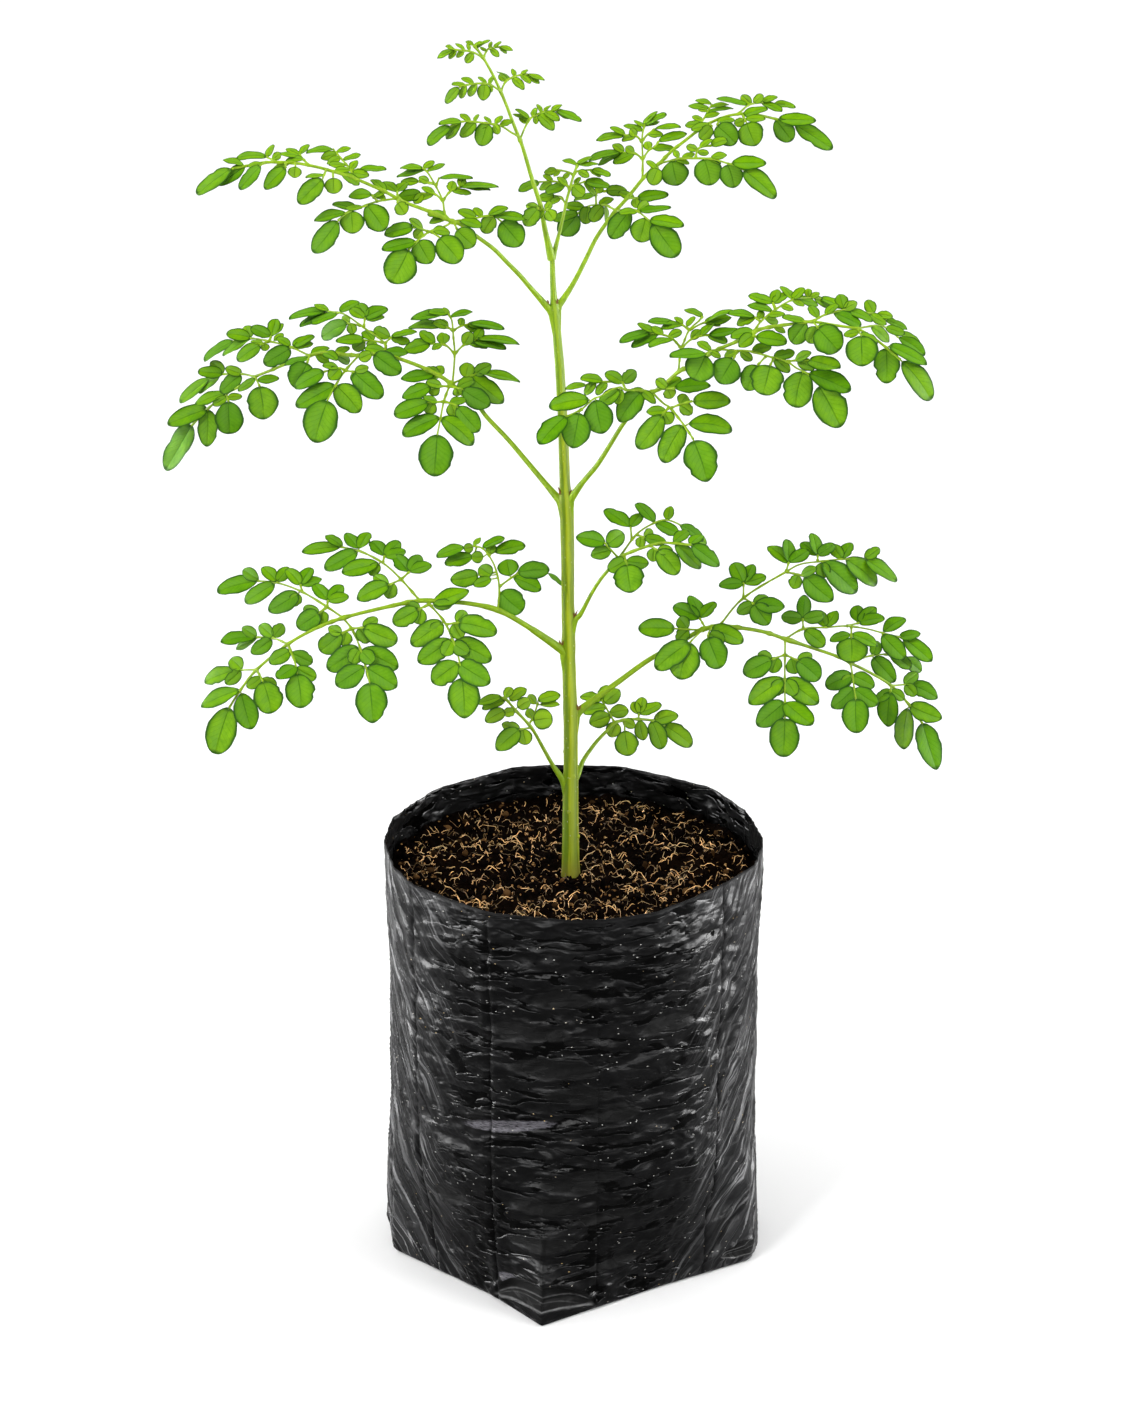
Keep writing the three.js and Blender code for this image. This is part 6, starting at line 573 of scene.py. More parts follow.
        (-10, [-33.2, 580.4, -32.7, 581.4, -31, 584.9, -28.7, 586.5, -25.6, 587.8, -21, 588.4],
         [(-21, 588.4, -14.3, 585.8, 1.8), (-21.5, 588.3, -16.5, 584.4, 2.3), (-24.3, 588, -20.2, 584.5, 2.2),
          (-28, 586.8, -23.3, 581.8, 3.2), (-30.3, 585.4, -33.5, 587.8, 2.6), (-29.8, 585.8, -34.3, 589.3, 1.5),
          (-27, 587.3, -27.8, 590.6, 1.9), (-24, 588, -21.3, 590.2, 1.4)]),
        (8, [-41, 596, -44.2, 598, -47.3, 599.1, -49.4, 599.4, -54, 599.8],
         [(-54, 599.8, -60.7, 596, 2.2), (-53, 599.7, -56, 596, 2.2), (-49.6, 599.4, -52.6, 596.6, 2.2),
          (-45.5, 598.4, -48.5, 594.3, 3.2), (-49.5, 599.4, -53, 602.2, 1.4), (-53.5, 599.8, -57.5, 601, 1.5),
          (-47.5, 599.2, -47.8, 602.3, 1.5)]),
        (-8, [-41, 596, -39.5, 599.1, -38, 600.5, -33.5, 601.2],
         [(-38, 600.3, -34.3, 597, 2.4), (-39.6, 599, -42, 600.8, 1.3), (-37.8, 600.6, -37.3, 603.2, 1.5),
          (-36, 600.8, -33.2, 603.2, 1.4), (-34, 601.1, -30.8, 598.4, 1.8), (-33.5, 601.2, -28.3, 599.5, 1.8)]),
     ]},
]
# Corners of the bag's foot on the floor
FOOT = [
    (-15.1, -98.2), (42, -59.1), (72.2, -40.5), (85.4, -32.4), (89, -18), (89, 8), (86.6, 22.7), (39, 68.3),
    (15.1, 98.2), (-42, 59.1), (-72.2, 40.5), (-85.4, 32.4), (-89, 18), (-89, -8), (-86.6, -22.7), (-39, -68.3),
]
# The main stem: height, middle x, radius
STEM = [
    (118, -1.4, 3.6), (188, -1.4, 4.4), (222, -1.5, 3.85), (240, -1.5, 3.7), (248, -1.4, 3.4), (270, -1.4, 3.3),
    (277, -1.5, 3.5), (284, -1.7, 3.2), (304, -2.3, 3.2), (311, -2.4, 3.4), (318, -2.3, 3.1), (324, -2.4, 3.2),
    (331, -2.7, 3.0), (356, -2.8, 3.1), (376, -3.2, 3.3), (383, -3.6, 3.5), (390, -4.1, 2.5), (425, -5.3, 2.25),
    (450, -6.6, 2.15), (470, -8.2, 1.95), (477, -8.9, 2.2), (482, -9.2, 1.6), (490, -9.7, 1.35), (502.5, -9.95, 1.2),
]
# Pointed scales beside the leaf bases: foot x, z, tip x, z
SCALES = [
    (-11.9, 480.4, -12.2, 482.3), (-7.7, 480.4, -7.2, 483.0), (-6.4, 387.0, -7.5, 391.0),
    (-2.0, 386.0, -0.7, 389.7), (0.7, 324.6, 1.9, 329.3), (0.1, 325.1, -0.2, 327.9),
    (-6.3, 311.2, -7.0, 314.2), (-5.2, 311.5, -4.8, 313.7), (2.0, 278.3, 1.4, 281.6),
    (2.8, 278.8, 3.6, 281.1), (-5.0, 237.0, -5.5, 239.9),
]
# Leaf scars and small buds on the stem: height, angle, size
SCARS = [
    (226, -100, 1.1), (244, -60, 1.0), (262, -120, 0.9), (296, -80, 0.8), (343, -110, 0.8),
    (362, -75, 0.8), (408, -100, 0.7), (436, -80, 0.6), (212, -20, 1.1), (255, 150, 1.0),
]
# Ways to bend a leaflet towards the viewer or away, in lengths, until it is clear of the others
BENDS = [0, 0.25, -0.25, 0.5, -0.5, 0.8, -0.8]
# Packing creases of the film: angle at the rim, drift down the wall in degrees, depth
CREASES = [
    (-170, 2, 0.5), (-147.5, 1.5, 0.8), (-116.6, 0.5, 0.8), (-82.2, 0, 0.35), (-35.6, -1.5, 0.8), (-12, -3, 0.3),
    (21.9, 0, 0.6), (43.3, 0, 0.5), (75.6, 0, 0.7), (108.9, 0, 0.7), (136.9, 0, 0.6), (163.4, 0, 0.5),
]
# Corners of the rim: angle, radius
RIM = [
    (-180.5, 90.0), (-160.9, 90.0), (-146.6, 90.1), (-116.3, 89.9), (-91.3, 90.1), (-82.2, 90.8), (-64, 89.5),
    (-34.2, 86.0), (-17, 89.3), (-3.1, 90.0), (1.7, 90.2), (21.9, 89.4), (43.3, 91.5), (75.6, 92.1), (94.9, 90.2),
    (108.9, 92.1), (136.9, 89.9), (163.4, 90.5), (179.5, 90.0),
]
# Folds: angle and height of both ends, how far they stand out and how wide they are
FOLDS = [
    (-172, 150, -164, 96, 1.3, 1.1), (-170, 104, -152, 62, 1.5, 1.2), (-150, 108, -138, 74, 1.3, 1.0),
    (-176, 88, -168, 30, 1.4, 1.1), (-163, 182, -150, 152, 1.2, 1.0), (-150, 170, -134, 146, 1.0, 0.9),
    (-174, 196, -166, 160, 1.1, 1.0), (-160, 60, -146, 24, 1.1, 1.0), (-168, 44, -150, 6, 1.0, 1.0),
    (-4, 150, -17, 92, 1.4, 1.1), (-8, 110, -24, 62, 1.4, 1.2), (-22, 122, -33, 84, 1.1, 1.0),
    (-2, 90, -12, 34, 1.4, 1.1), (-14, 186, -28, 150, 1.1, 1.0), (-6, 196, -14, 160, 1.1, 1.0),
    (-18, 60, -31, 22, 1.2, 1.0), (-10, 40, -24, 12, 1.1, 1.0), (-36, 96, -46, 70, 0.8, 0.9),
    (-146, 44, -120, 5, 0.9, 0.9), (-82, 8, -66, 18, 1.0, 0.9), (-81, 3, -62, 30, 0.8, 1.0),
    (-46, 5, -28, 10, 0.8, 0.8), (-60, 6, -34, 9, 0.7, 0.8), (-116, 130, -98, 138, -0.9, 0.9),
    (-102, 150, -82, 154, -0.9, 1.0), (-106, 120, -84, 124, -0.9, 1.0), (-98, 104, -74, 110, -0.9, 1.0),
    (-110, 84, -84, 80, -0.9, 1.0), (-104, 60, -80, 63, -0.9, 0.9), (-96, 46, -72, 44, -0.8, 0.9),
    (-112, 34, -90, 30, -0.8, 0.9), (-92, 172, -74, 168, -0.8, 0.9), (-112, 178, -94, 184, -0.8, 1.0),
    (-86, 92, -66, 96, -0.7, 0.8), (-76, 132, -56, 140, -0.7, 0.9), (-70, 66, -48, 72, -0.7, 0.9),
    (-140, 130, -122, 122, -0.7, 0.9), (100, 96, 116, 50, 1.2, 1.1), (60, 130, 74, 84, 1.1, 1.0),
    (140, 90, 154, 44, 1.2, 1.1), (30, 120, 18, 70, 1.2, 1.0), (84, 150, 106, 156, -0.8, 1.0),
    (50, 60, 80, 54, -0.8, 1.0), (120, 120, 146, 112, -0.8, 1.0),
]
# Dents: angle, height, half width, half height, depth. The first ones lie under the rubbed patches and get no painted
# shade
UNSHADED_DENTS = 2
DENTS = [
    (-110.5, 99, 23, 3.6, 0.9), (-109.5, 17, 10, 3.4, 0.7), (-96, 132, 24, 6, 1.0), (-88, 118, 20, 4.5, 0.8),
    (-104, 150, 22, 5, 0.8), (-90, 70, 17, 4, 0.7), (-98, 60, 20, 4.5, 0.8), (-84, 76, 18, 3.6, 0.7),
    (-93, 168, 16, 5, 0.7), (-100, 40, 18, 4, 0.7), (-80, 52, 16, 3.4, 0.6), (-78, 108, 16, 4, 0.6),
    (-76, 24, 16, 3.4, 0.6), (-60, 150, 16, 5, 0.5), (-134, 52, 14, 5, 0.5),
]
# Pockets of the folded corners: angle, height, half width, half height, depth, how far their ends hang
POCKETS = [
    (-100.5, 14.5, 27, 6.6, 3.0, 9.0), (-23, 8.5, 12, 3.8, 2.2, 0.0),
    (-171, 10, 7, 8, 1.8, 3.0), (80, 14, 24, 6, 2.6, 7.0),
]
# Rubbed patches of the film, pale with a painted reflection of its glossy fold: place on the pattern, half width,
# half height, tilt
RUBBED_REFLECTIONS = [(-1.70, 0.992, 0.24, 0.033, 0.16), (-1.685, 0.165, 0.10, 0.03, 0.05)]
# Painted glints on the film: scale, turn, size, share without one, how much longer than high
GLINT_FLECKS = [(10.0, 0.5, 0.05, 0.3, 2.6), (15.0, -0.7, 0.065, 0.45, 2.0), (22.0, 1.2, 0.08, 0.6, 1.4)]
# Faces of a ball with twelve corners
BALL_FACES = [
    (0, 11, 5), (0, 5, 1), (0, 1, 7), (0, 7, 10), (0, 10, 11), (1, 5, 9), (5, 11, 4), (11, 10, 2), (10, 7, 6),
    (7, 1, 8), (3, 9, 4), (3, 4, 2), (3, 2, 6), (3, 6, 8), (3, 8, 9), (4, 9, 5), (2, 4, 11), (6, 2, 10),
    (8, 6, 7), (9, 8, 1),
]
# Half outline of a leaflet, simplified to tell where it meets another: share of its length, share of its half width
OUTLINES = {
    "small": [(0.48, 1), (1, 0)],
    "middle": [(0.4, 1), (1, 0.42)],
    "large": [(0.32, 1), (0.74, 0.8), (1, 0)],
}
# Rows of a leaf blade between foot and tip, and columns on each side of its midrib
ROWS, HALF = 13, 4
SPREAD = np.array([-1, -0.72, -0.4, -0.11, 0, 0.11, 0.4, 0.72, 1])
STEPS = 0.5 * (1 - np.cos(PI * (np.arange(1, ROWS + 1)) / (ROWS + 1)))


# Mesh helpers

class Skin:
    """Vertices and faces of one piece, with a place on the pattern, a tone and a youth for each vertex. On the film
    these hold where creases and hollows get painted shade.
    """

    def __init__(self):
        self.points, self.faces, self.looks = [], [], []
        self.places, self.tones, self.count = [], [], 0

    def add(self, points, faces, look=0, places=None, tone=(0.0, 0.0)):
        """Adds a closed part with the material look. tone holds tone and youth, once or for each vertex."""
        points = np.asarray(points, float)
        start = self.count
        self.points.append(points)
        self.count += len(points)
        self.places.append(np.zeros((len(points), 2)) if places is None else np.asarray(places, float))
        tone = np.asarray(tone, float)
        self.tones.append(np.tile(tone, (len(points), 1)) if tone.ndim == 1 else tone)
        self.faces.extend(tuple(start + k for k in face) for face in faces)
        self.looks.extend([look] * len(faces))

    def piece(self, name, materials, sharp=None):
        """The finished object, smooth but for edges sharper than the angle in degrees."""
        mesh = bpy.data.meshes.new(name)
        points = np.concatenate(self.points) * MM
        mesh.from_pydata(points.tolist(), [], self.faces)
        mesh.polygons.foreach_set("material_index", self.looks)
        mesh.polygons.foreach_set("use_smooth", [True] * len(self.faces))
        for material in materials:
            mesh.materials.append(material)
        corners = np.empty(len(mesh.loops), int)
        mesh.loops.foreach_get("vertex_index", corners)
        places = np.concatenate(self.places)
        mesh.uv_layers.new(name="pattern").data.foreach_set("uv", places[corners].ravel())
        tones = np.concatenate(self.tones)
        for k, word in enumerate(("tone", "young")):
            mesh.attributes.new(word, "FLOAT", "POINT").data.foreach_set("value", tones[:, k].copy())
        if sharp:
            mesh.set_sharp_from_angle(angle=math.radians(sharp))
        mesh.update()
        thing = bpy.data.objects.new(name, mesh)
        bpy.context.scene.collection.objects.link(thing)
        return thing


def unit(v):
    """The vector with length 1."""
    return v / np.linalg.norm(v)


def ring_faces(rows, count, flip=False):
    """Four-sided faces between closed rings of count points each."""
    faces = []
    for r in range(rows - 1):
        for i in range(count):
            a, b = r * count + i, r * count + (i + 1) % count
            faces.append((b, a, a + count, b + count) if flip else (a, b, b + count, a + count))
    return faces


def end_fans(rows, count, flip=False):
    """Fans that close the first and the last ring, from the two points that follow the rings."""
    faces = []
    middle, last = rows * count, (rows - 1) * count
    for i in range(count):
        j = (i + 1) % count
        a, b = (j, i) if flip else (i, j)
        faces += [(middle, b, a), (middle + 1, last + a, last + b)]
    return faces


def tube_faces(rows, sides):
    """Faces between rings, with a flat cap at both ends."""
    last = (rows - 1) * sides
    return ring_faces(rows, sides) + [tuple(range(sides - 1, -1, -1)), tuple(range(last, last + sides))]


def tube_parts(points, radii, sides):
    """Closed tapering tube: vertices, faces, and a place (length along, round) for each vertex."""
    points = np.asarray(points, float)
    rings, places = [], []
    side = None
    length = 0.0
    for i, p in enumerate(points):
        along = unit(points[min(i + 1, len(points) - 1)] - points[max(i - 1, 0)])
        if side is None:
            side = np.cross((0.0, 1.0, 0.0), along)
            if np.linalg.norm(side) < 0.2:
                side = np.cross((1.0, 0.0, 0.0), along)
        side = unit(side - along * side.dot(along))
        up = np.cross(along, side)
        if i:
            length += np.linalg.norm(p - points[i - 1])
        for k in range(sides):
            angle = k / sides * 2 * PI + TUBE_PHASE
            rings.append(p + radii[i] * (side * math.cos(angle) + up * math.sin(angle)))
            places.append((length, k / sides))
    return rings, tube_faces(len(points), sides), places


def lattice(i, j, seed):
    """A fixed random number from 0 to 1 for each whole place."""
    h = (i * 374761393 + j * 668265263 + seed * 974634777) & 0xFFFFFFFF
    h = ((h ^ (h >> 13)) * 1274126177) & 0xFFFFFFFF
    return (h ^ (h >> 16)) / 2.0**32


def waves(u, v, period, seed):
    """Gradient noise over a plane, about -1 to 1, that closes after a whole number of cells along u."""
    i, j = np.floor(u).astype(np.int64), np.floor(v).astype(np.int64)
    fu, fv = u - i, v - j

    def corner(di, dj):
        angle = lattice((i + di) % period, j + dj + ROW_SHIFT, seed) * 2 * PI
        return np.cos(angle) * (fu - di) + np.sin(angle) * (fv - dj)

    su, sv = fu**3 * (fu * (fu * 6 - 15) + 10), fv**3 * (fv * (fv * 6 - 15) + 10)
    low = corner(0, 0) * (1 - su) + corner(1, 0) * su
    high = corner(0, 1) * (1 - su) + corner(1, 1) * su
    return 1.5 * (low * (1 - sv) + high * sv)


def ridges(u, v, period, seed):
    """Sharp crests where the waves cross zero, from -1 to 1."""
    return 1 - 2 * np.abs(waves(u, v, period, seed))


def smooth(edge, value):
    """Rises softly from 0 to 1 as the value goes from 0 to the edge."""
    t = np.clip(value / edge, 0, 1)
    return t * t * (3 - 2 * t)


def bell(x, width):
    """One at zero, close to zero at twice the width."""
    return np.exp(-((x / width) ** 2))


# Bag

def foot_radius(angles):
    """Radius of the bag's foot, whose sides run straight from corner to corner."""
    best = np.full(angles.shape, BODY_RADIUS)
    dx, dy = np.cos(angles), np.sin(angles)
    for (ax, ay), (bx, by) in zip(FOOT, FOOT[1:] + FOOT[:1]):
        ex, ey = bx - ax, by - ay
        cross = dx * ey - dy * ex
        t = (ax * ey - ay * ex) / cross
        s = (ax * dy - ay * dx) / cross
        best = np.where((t > 0) & (s >= -1e-9) & (s <= 1 + 1e-9), t, best)
    return best


def rim_radius(angles):
    """Radius of the rim, which runs straight from corner to corner."""
    degrees = np.degrees(angles)
    out = np.full(angles.shape, 90.0)
    for (a0, r0), (a1, r1) in zip(RIM, RIM[1:]):
        inside = (degrees >= a0) & (degrees <= a1)
        p0 = r0 * np.array([math.cos(math.radians(a0)), math.sin(math.radians(a0))])
        p1 = r1 * np.array([math.cos(math.radians(a1)), math.sin(math.radians(a1))])
        e = p1 - p0
        cross = np.cos(angles) * e[1] - np.sin(angles) * e[0]
        t = (p0[0] * e[1] - p0[1] * e[0]) / np.where(np.abs(cross) < 1e-9, 1e-9, cross)
        out = np.where(inside, t, out)
    return out


def bag_radius(angles, heights):
    """The bag without its wrinkles, as rows by heights and columns by angles."""
    a, h = angles[None, :], heights[:, None]
    blend = smooth(78, h)
    body = BODY_RADIUS + 2.1 * np.maximum(0, (h - 150) / 60)
    flat = bell(a + 0.6, 0.16)
    plain = foot_radius(angles)[None, :] * (1 - blend) + body * blend - 3.2 * flat * blend
    polygon = smooth(34, h - 176) * 0.8
    return plain * (1 - polygon) + (rim_radius(angles)[None, :] + 0.2) * polygon


def turn(a):
    """The angle as one from -180 to 180 degrees."""
    return (a + PI) % (2 * PI) - PI


def level_wrinkles(h, cells, front):
    """Wrinkles in the middle of the bag, longer than they are high."""
    sway = 2.4 * waves(cells * 22, h / 34, 22, 8) + 0.8 * waves(cells * 50, h / 16, 50, 9)
    level = ridges(cells * 17 + 0.25 * sway, (h + sway * 3) / 11.5, 17, 11)
    fine = ridges(cells * 36 + 0.3 * sway, (h + sway * 2) / 6.4, 36, 12)
    calm = 0.45 + 0.55 * smooth(0.7, waves(cells * 11, h / 40, 11, 14) + 0.45)
    return (0.85 * level + 0.34 * fine) * (0.12 + 0.88 * smooth(0.5, front)) * calm


def side_wrinkles(a, h, cells, sides):
    """Steep slanting wrinkles near both sides, which lean outwards."""
    slant = a * CREASE_ARC + np.where(np.cos(a) > 0, -0.8, 0.8) * h
    steep = ridges(slant / 11.0 + 50, h / 70, OPEN, 21)
    steeper = ridges(slant / 5.6 + 57, h / 40, OPEN, 22)
    patch = 0.4 + 0.6 * smooth(0.6, waves(cells * 9, h / 60, 9, 23) + 0.5)
    return (1.9 * np.maximum(steep, -0.2) ** 2 + 0.55 * steeper) * sides * patch


def add_creases(a, h, out):
    """Presses in the packing creases, and says how strongly painted shade darkens the film along them."""
    crease_shade = out * 0
    for k, (degrees, drift, depth) in enumerate(CREASES):
        middle = math.radians(degrees) + math.radians(drift) * (RIM_HEIGHT - h) / RIM_HEIGHT
        middle = middle + 0.006 * waves(h / 25 + 3.1 * k, h * 0 + 0.5, OPEN, 40 + k)
        gap = np.abs(turn(a - middle)) * CREASE_ARC
        out += depth * (0.6 * bell(gap - 3, 2.4) - 1.1 * np.exp(-gap / 0.7))
        crease_shade = np.maximum(crease_shade, 1.2 * depth * np.exp(-gap / 0.55))
    return crease_shade


def add_folds(a, h, out):
    """Single folds that stand out or are pressed in along a line."""
    for a0, h0, a1, h1, size, wide in FOLDS:
        x, y = turn(a - math.radians(a0)) * FOLD_ARC, h - h0
        ex, ey = math.radians(a1 - a0) * FOLD_ARC, h1 - h0
        long = math.hypot(ex, ey)
        along = (x * ex + y * ey) / long
        across = (x * ey - y * ex) / long
        across = across + 0.9 * np.sin(along / long * PI + h0)
        reach = smooth(0.35, along / long) * smooth(0.35, 1 - along / long)
        out += size * reach * (np.exp(-np.abs(across) / wide) - 0.4 * bell(across - 2.6 * wide, 2 * wide))


def add_dents(a, h, out):
    """Dents under which the film has slipped."""
    for degrees, height, wide, high, depth in DENTS:
        x = turn(a - math.radians(degrees)) * CREASE_ARC / wide
        y = (h - height) / high - 0.25 * x
        r = np.sqrt(x * x + y * y)
        out += -depth * smooth(1, 1 - r) + 0.35 * depth * bell(r - 1.08, 0.13)


def add_pockets(a, h, out):
    """The pocket of the folded front corner and the pleats at the others. Says where the film is hollow, for the
    painted shade there.
    """
    hollow = out * 0
    for degrees, height, wide, high, depth, sink in POCKETS:
        x = turn(a - math.radians(degrees)) * POCKET_ARC / wide
        y = (h - height + sink * x * x) / high
        r = np.sqrt(x * x + y * y)
        inside = smooth(0.22, 1 - r)
        out *= 1 - 0.8 * inside
        out += -depth * smooth(0.5, 1 - r) + 0.32 * depth * bell(r - 1.1, 0.12)
        lines = bell(y + 0.1 - 0.16 * x, 0.09) + 0.8 * bell(y + 0.5 + 0.1 * x, 0.07)
        lines += 0.5 * bell(y - 0.3 - 0.1 * x, 0.07)
        out += 0.22 * depth * lines * inside
        hollow = np.maximum(hollow, smooth(0.12, 1.08 - r))
    return hollow


def wrinkles(angles, heights):
    """How far the film stands out from the plain bag, in mm, with where it is hollow and where it has creases, for
    the painted shade in both.
    """
    a, h = angles[None, :], heights[:, None]
    cells = a / (2 * PI)
    front = np.maximum(0, np.cos(a + PI / 2)) ** 1.5
    # Broad bulges of the soil behind the film
    out = 0.9 * waves(cells * 14, h / 46, 14, 3) + 0.5 * waves(cells * 30, h / 22, 30, 5)
    # The foot of the left side bulges over its corner
    corner = bell(turn(a + math.radians(178)) * FOLD_ARC, 20)
    out += corner * (3.0 * smooth(48, 78 - h) * smooth(12, h - 3) - 1.8 * bell(h - 4, 4.5))
    out += level_wrinkles(h, cells, front)
    out += side_wrinkles(a, h, cells, 1 - front)
    # Small crumple everywhere
    out += 0.16 * ridges(cells * 80, h / 6.2, 80, 31)
    crease_shade = add_creases(a, h, out)
    add_folds(a, h, out)
    add_dents(a, h, out)
    hollow = add_pockets(a, h, out)
    # Painted shade in the dents, but for the first ones, and on the rim's top
    for degrees, height, wide, high, depth in DENTS[UNSHADED_DENTS:]:
        x, y = turn(a - math.radians(degrees)) * FOLD_ARC / wide, (h - height) / high
        y = y + 0.3 * waves(cells * 60 + 3, h / 9, 60, 51) + 0.2 * x * x
        hollow = np.maximum(hollow, 0.85 * smooth(0.4, 1 - x * x - y * y) * smooth(0.3, depth))
    hollow = np.maximum(hollow, smooth(1.4, h - 208.2))
    # Near the two outlines and the rim the film is pulled smoother
    taut = 1 - 0.45 * bell(np.abs(np.cos(a)) - 1, 0.05)
    taut = taut * (0.45 + 0.55 * smooth(14, 208 - h))
    return out * smooth(3.5, h) * taut, hollow, crease_shade


def bag_piece():
    """The film as one closed shell: the outside from the foot to the rim, then the inside down to the bottom."""
    angles = list(np.linspace(-PI, PI, 372, endpoint=False) + 0.001)
    for degrees, drift, _ in CREASES:
        for step in (-1.2, -0.5, 0, 0.5, 1.2):
            angles.append(turn(math.radians(degrees + drift / 2) + step / CREASE_ARC))
    angles = np.array(sorted(angles))
    heights = np.concatenate([
        [0.0, 0.7, 1.6, 2.6], np.arange(3.8, 26, 1.05), np.arange(26, 205, 1.36),
        [205.6, 206.9, 208.1, 209.1, 209.7, RIM_HEIGHT]])
    stand, hollow, crease_shade = wrinkles(angles, heights)
    out = bag_radius(angles, heights) + stand
    # The foot's edge is rounded
    out[0] -= 1.2
    out[1] -= 0.35
    inner_heights = np.array([RIM_HEIGHT, 209.6, 208.6, 206.5, 203.5, 200.5, 197.5, 194.5, 191, 186, 176, 150, 110,
                              78, 45, 20, 4])
    plain = bag_radius(angles, inner_heights)
    inner = plain + wrinkles(angles, inner_heights)[0] * smooth(40, inner_heights - 150)[:, None]
    film = 0.45 + 1.5 * (1 - smooth(30, inner_heights - 160))
    film[0] = 0.25
    inner -= film[:, None]
    low = inner_heights < 120
    inner[low] = np.minimum(inner[low], (plain - 3.9)[low])
    radii = np.concatenate([out, inner])
    levels = np.concatenate([heights, inner_heights])
    rows, n = len(levels), len(angles)
    z = np.repeat(levels[:, None], n, 1)
    sag = 0.5 * waves(angles * 14 / (2 * PI), angles * 0 + 0.3, 14, 61)
    z = z + sag[None, :] * smooth(12, z - 198)
    points = np.stack([radii * np.cos(angles), radii * np.sin(angles), z], -1).reshape(-1, 3)
    u = np.repeat((angles / (2 * PI))[None, :], rows, 0)
    v = np.repeat(levels[:, None] / PATTERN_UNIT, n, 1)
    places = np.stack([u * PATTERN_ROUND, v], -1).reshape(-1, 2)
    points = np.concatenate([points, [[0, 0, 0], [0, 0, 2.0]]])
    places = np.concatenate([places, [[0, 0], [0, 0]]])
    # Each vertex carries the crease and hollow masks of the film's painted shade; the inner wall gets a tone of its
    # own
    marks = np.zeros((len(points), 2))
    marks[:crease_shade.size, 0], marks[:hollow.size, 1] = crease_shade.ravel(), hollow.ravel()
    marks[crease_shade.size:, 0] = INSIDE
    skin = Skin()
    skin.add(points, ring_faces(rows, n) + end_fans(rows, n), 0, places, marks)
    return skin.piece("bag_film", [film_material()], sharp=75)


# Soil

def crumb(x, y):
    """The same gentle relief as that of the solid soil."""
    return (np.sin(x * 0.21 + 1.3) * np.cos(y * 0.19 - 0.4) + 0.6 * np.sin(x * 0.47 - y * 0.39 + 2.1)
            + 0.5 * np.cos(x * 0.83 + y * 0.71))


def soil_top(x, y):
    """Height of the soil, with crumbs and a hollow round the stem."""
    lumps = 1.2 * ridges(x / 9.0 + 40, y / 9.0 + 40, OPEN, 71) + 1.2 * waves(x / 5 + 90, y / 5, OPEN, 72)
    grit = 0.9 * ridges(x / 2.9 + 40, y / 2.9 + 40, OPEN, 73) + 0.45 * waves(x / 1.7 + 90, y / 1.7, OPEN, 74)
    hollow = 3.0 * bell(np.hypot(x - STEM_X, y), 7.5)
    return SOIL_HEIGHT + 0.9 * crumb(x, y) + lumps + grit - hollow


def soil_height(x, y):
    return float(soil_top(np.array([x]), np.array([y]))[0])


def soil_piece():
    """The soil as one closed skin: the hole for the stem, the crumbly top and the sides down to the bottom."""
    angles = np.linspace(-PI, PI, 300, endpoint=False)
    shares = np.concatenate([[0], np.linspace(0.004, 1, 88)])[:, None]
    edge = bag_radius(angles, np.array([SOIL_HEIGHT]))[0] - 0.8
    hx, hy = STEM_X + HOLE_RADIUS * np.cos(angles), HOLE_RADIUS * np.sin(angles)
    x = hx + (edge * np.cos(angles) - hx) * shares
    y = hy + (edge * np.sin(angles) - hy) * shares
    rows = [np.stack([hx, hy, hx * 0 + height], -1) for height in (STEM_FOOT, 160.0)]
    rows += list(np.stack([x, y, soil_top(x, y)], -1))
    for height, inset in [(186, 2.0), (150, 3.6), (110, 3.6), (78, 3.6), (45, 3.6), (20, 3.6), (5, 4.6)]:
        r = bag_radius(angles, np.array([float(height)]))[0] - inset
        rows.append(np.stack([r * np.cos(angles), r * np.sin(angles), r * 0 + height], -1))
    n = len(angles)
    points = np.concatenate(rows + [[[STEM_X, 0, STEM_FOOT]], [[0, 0, 2.4]]])
    skin = Skin()
    skin.add(points, ring_faces(len(rows), n, True) + end_fans(len(rows), n, True), 0, points[:, :2] / 100)
    return skin.piece("soil_bed", [soil_material()])


def spot_on_soil(rng, reach=1.0):
    """A random spot on the soil, clear of the film and the stem."""
    while True:
        x, y = rng.uniform(-SOIL_REACH, SOIL_REACH), rng.uniform(-SOIL_REACH, SOIL_REACH)
        edge = bag_radius(np.array([math.atan2(y, x)]), np.array([SOIL_HEIGHT]))[0, 0] * reach - 2.2
        if math.hypot(x, y) < edge and math.hypot(x - STEM_X, y) > 6.5:
            return x, y


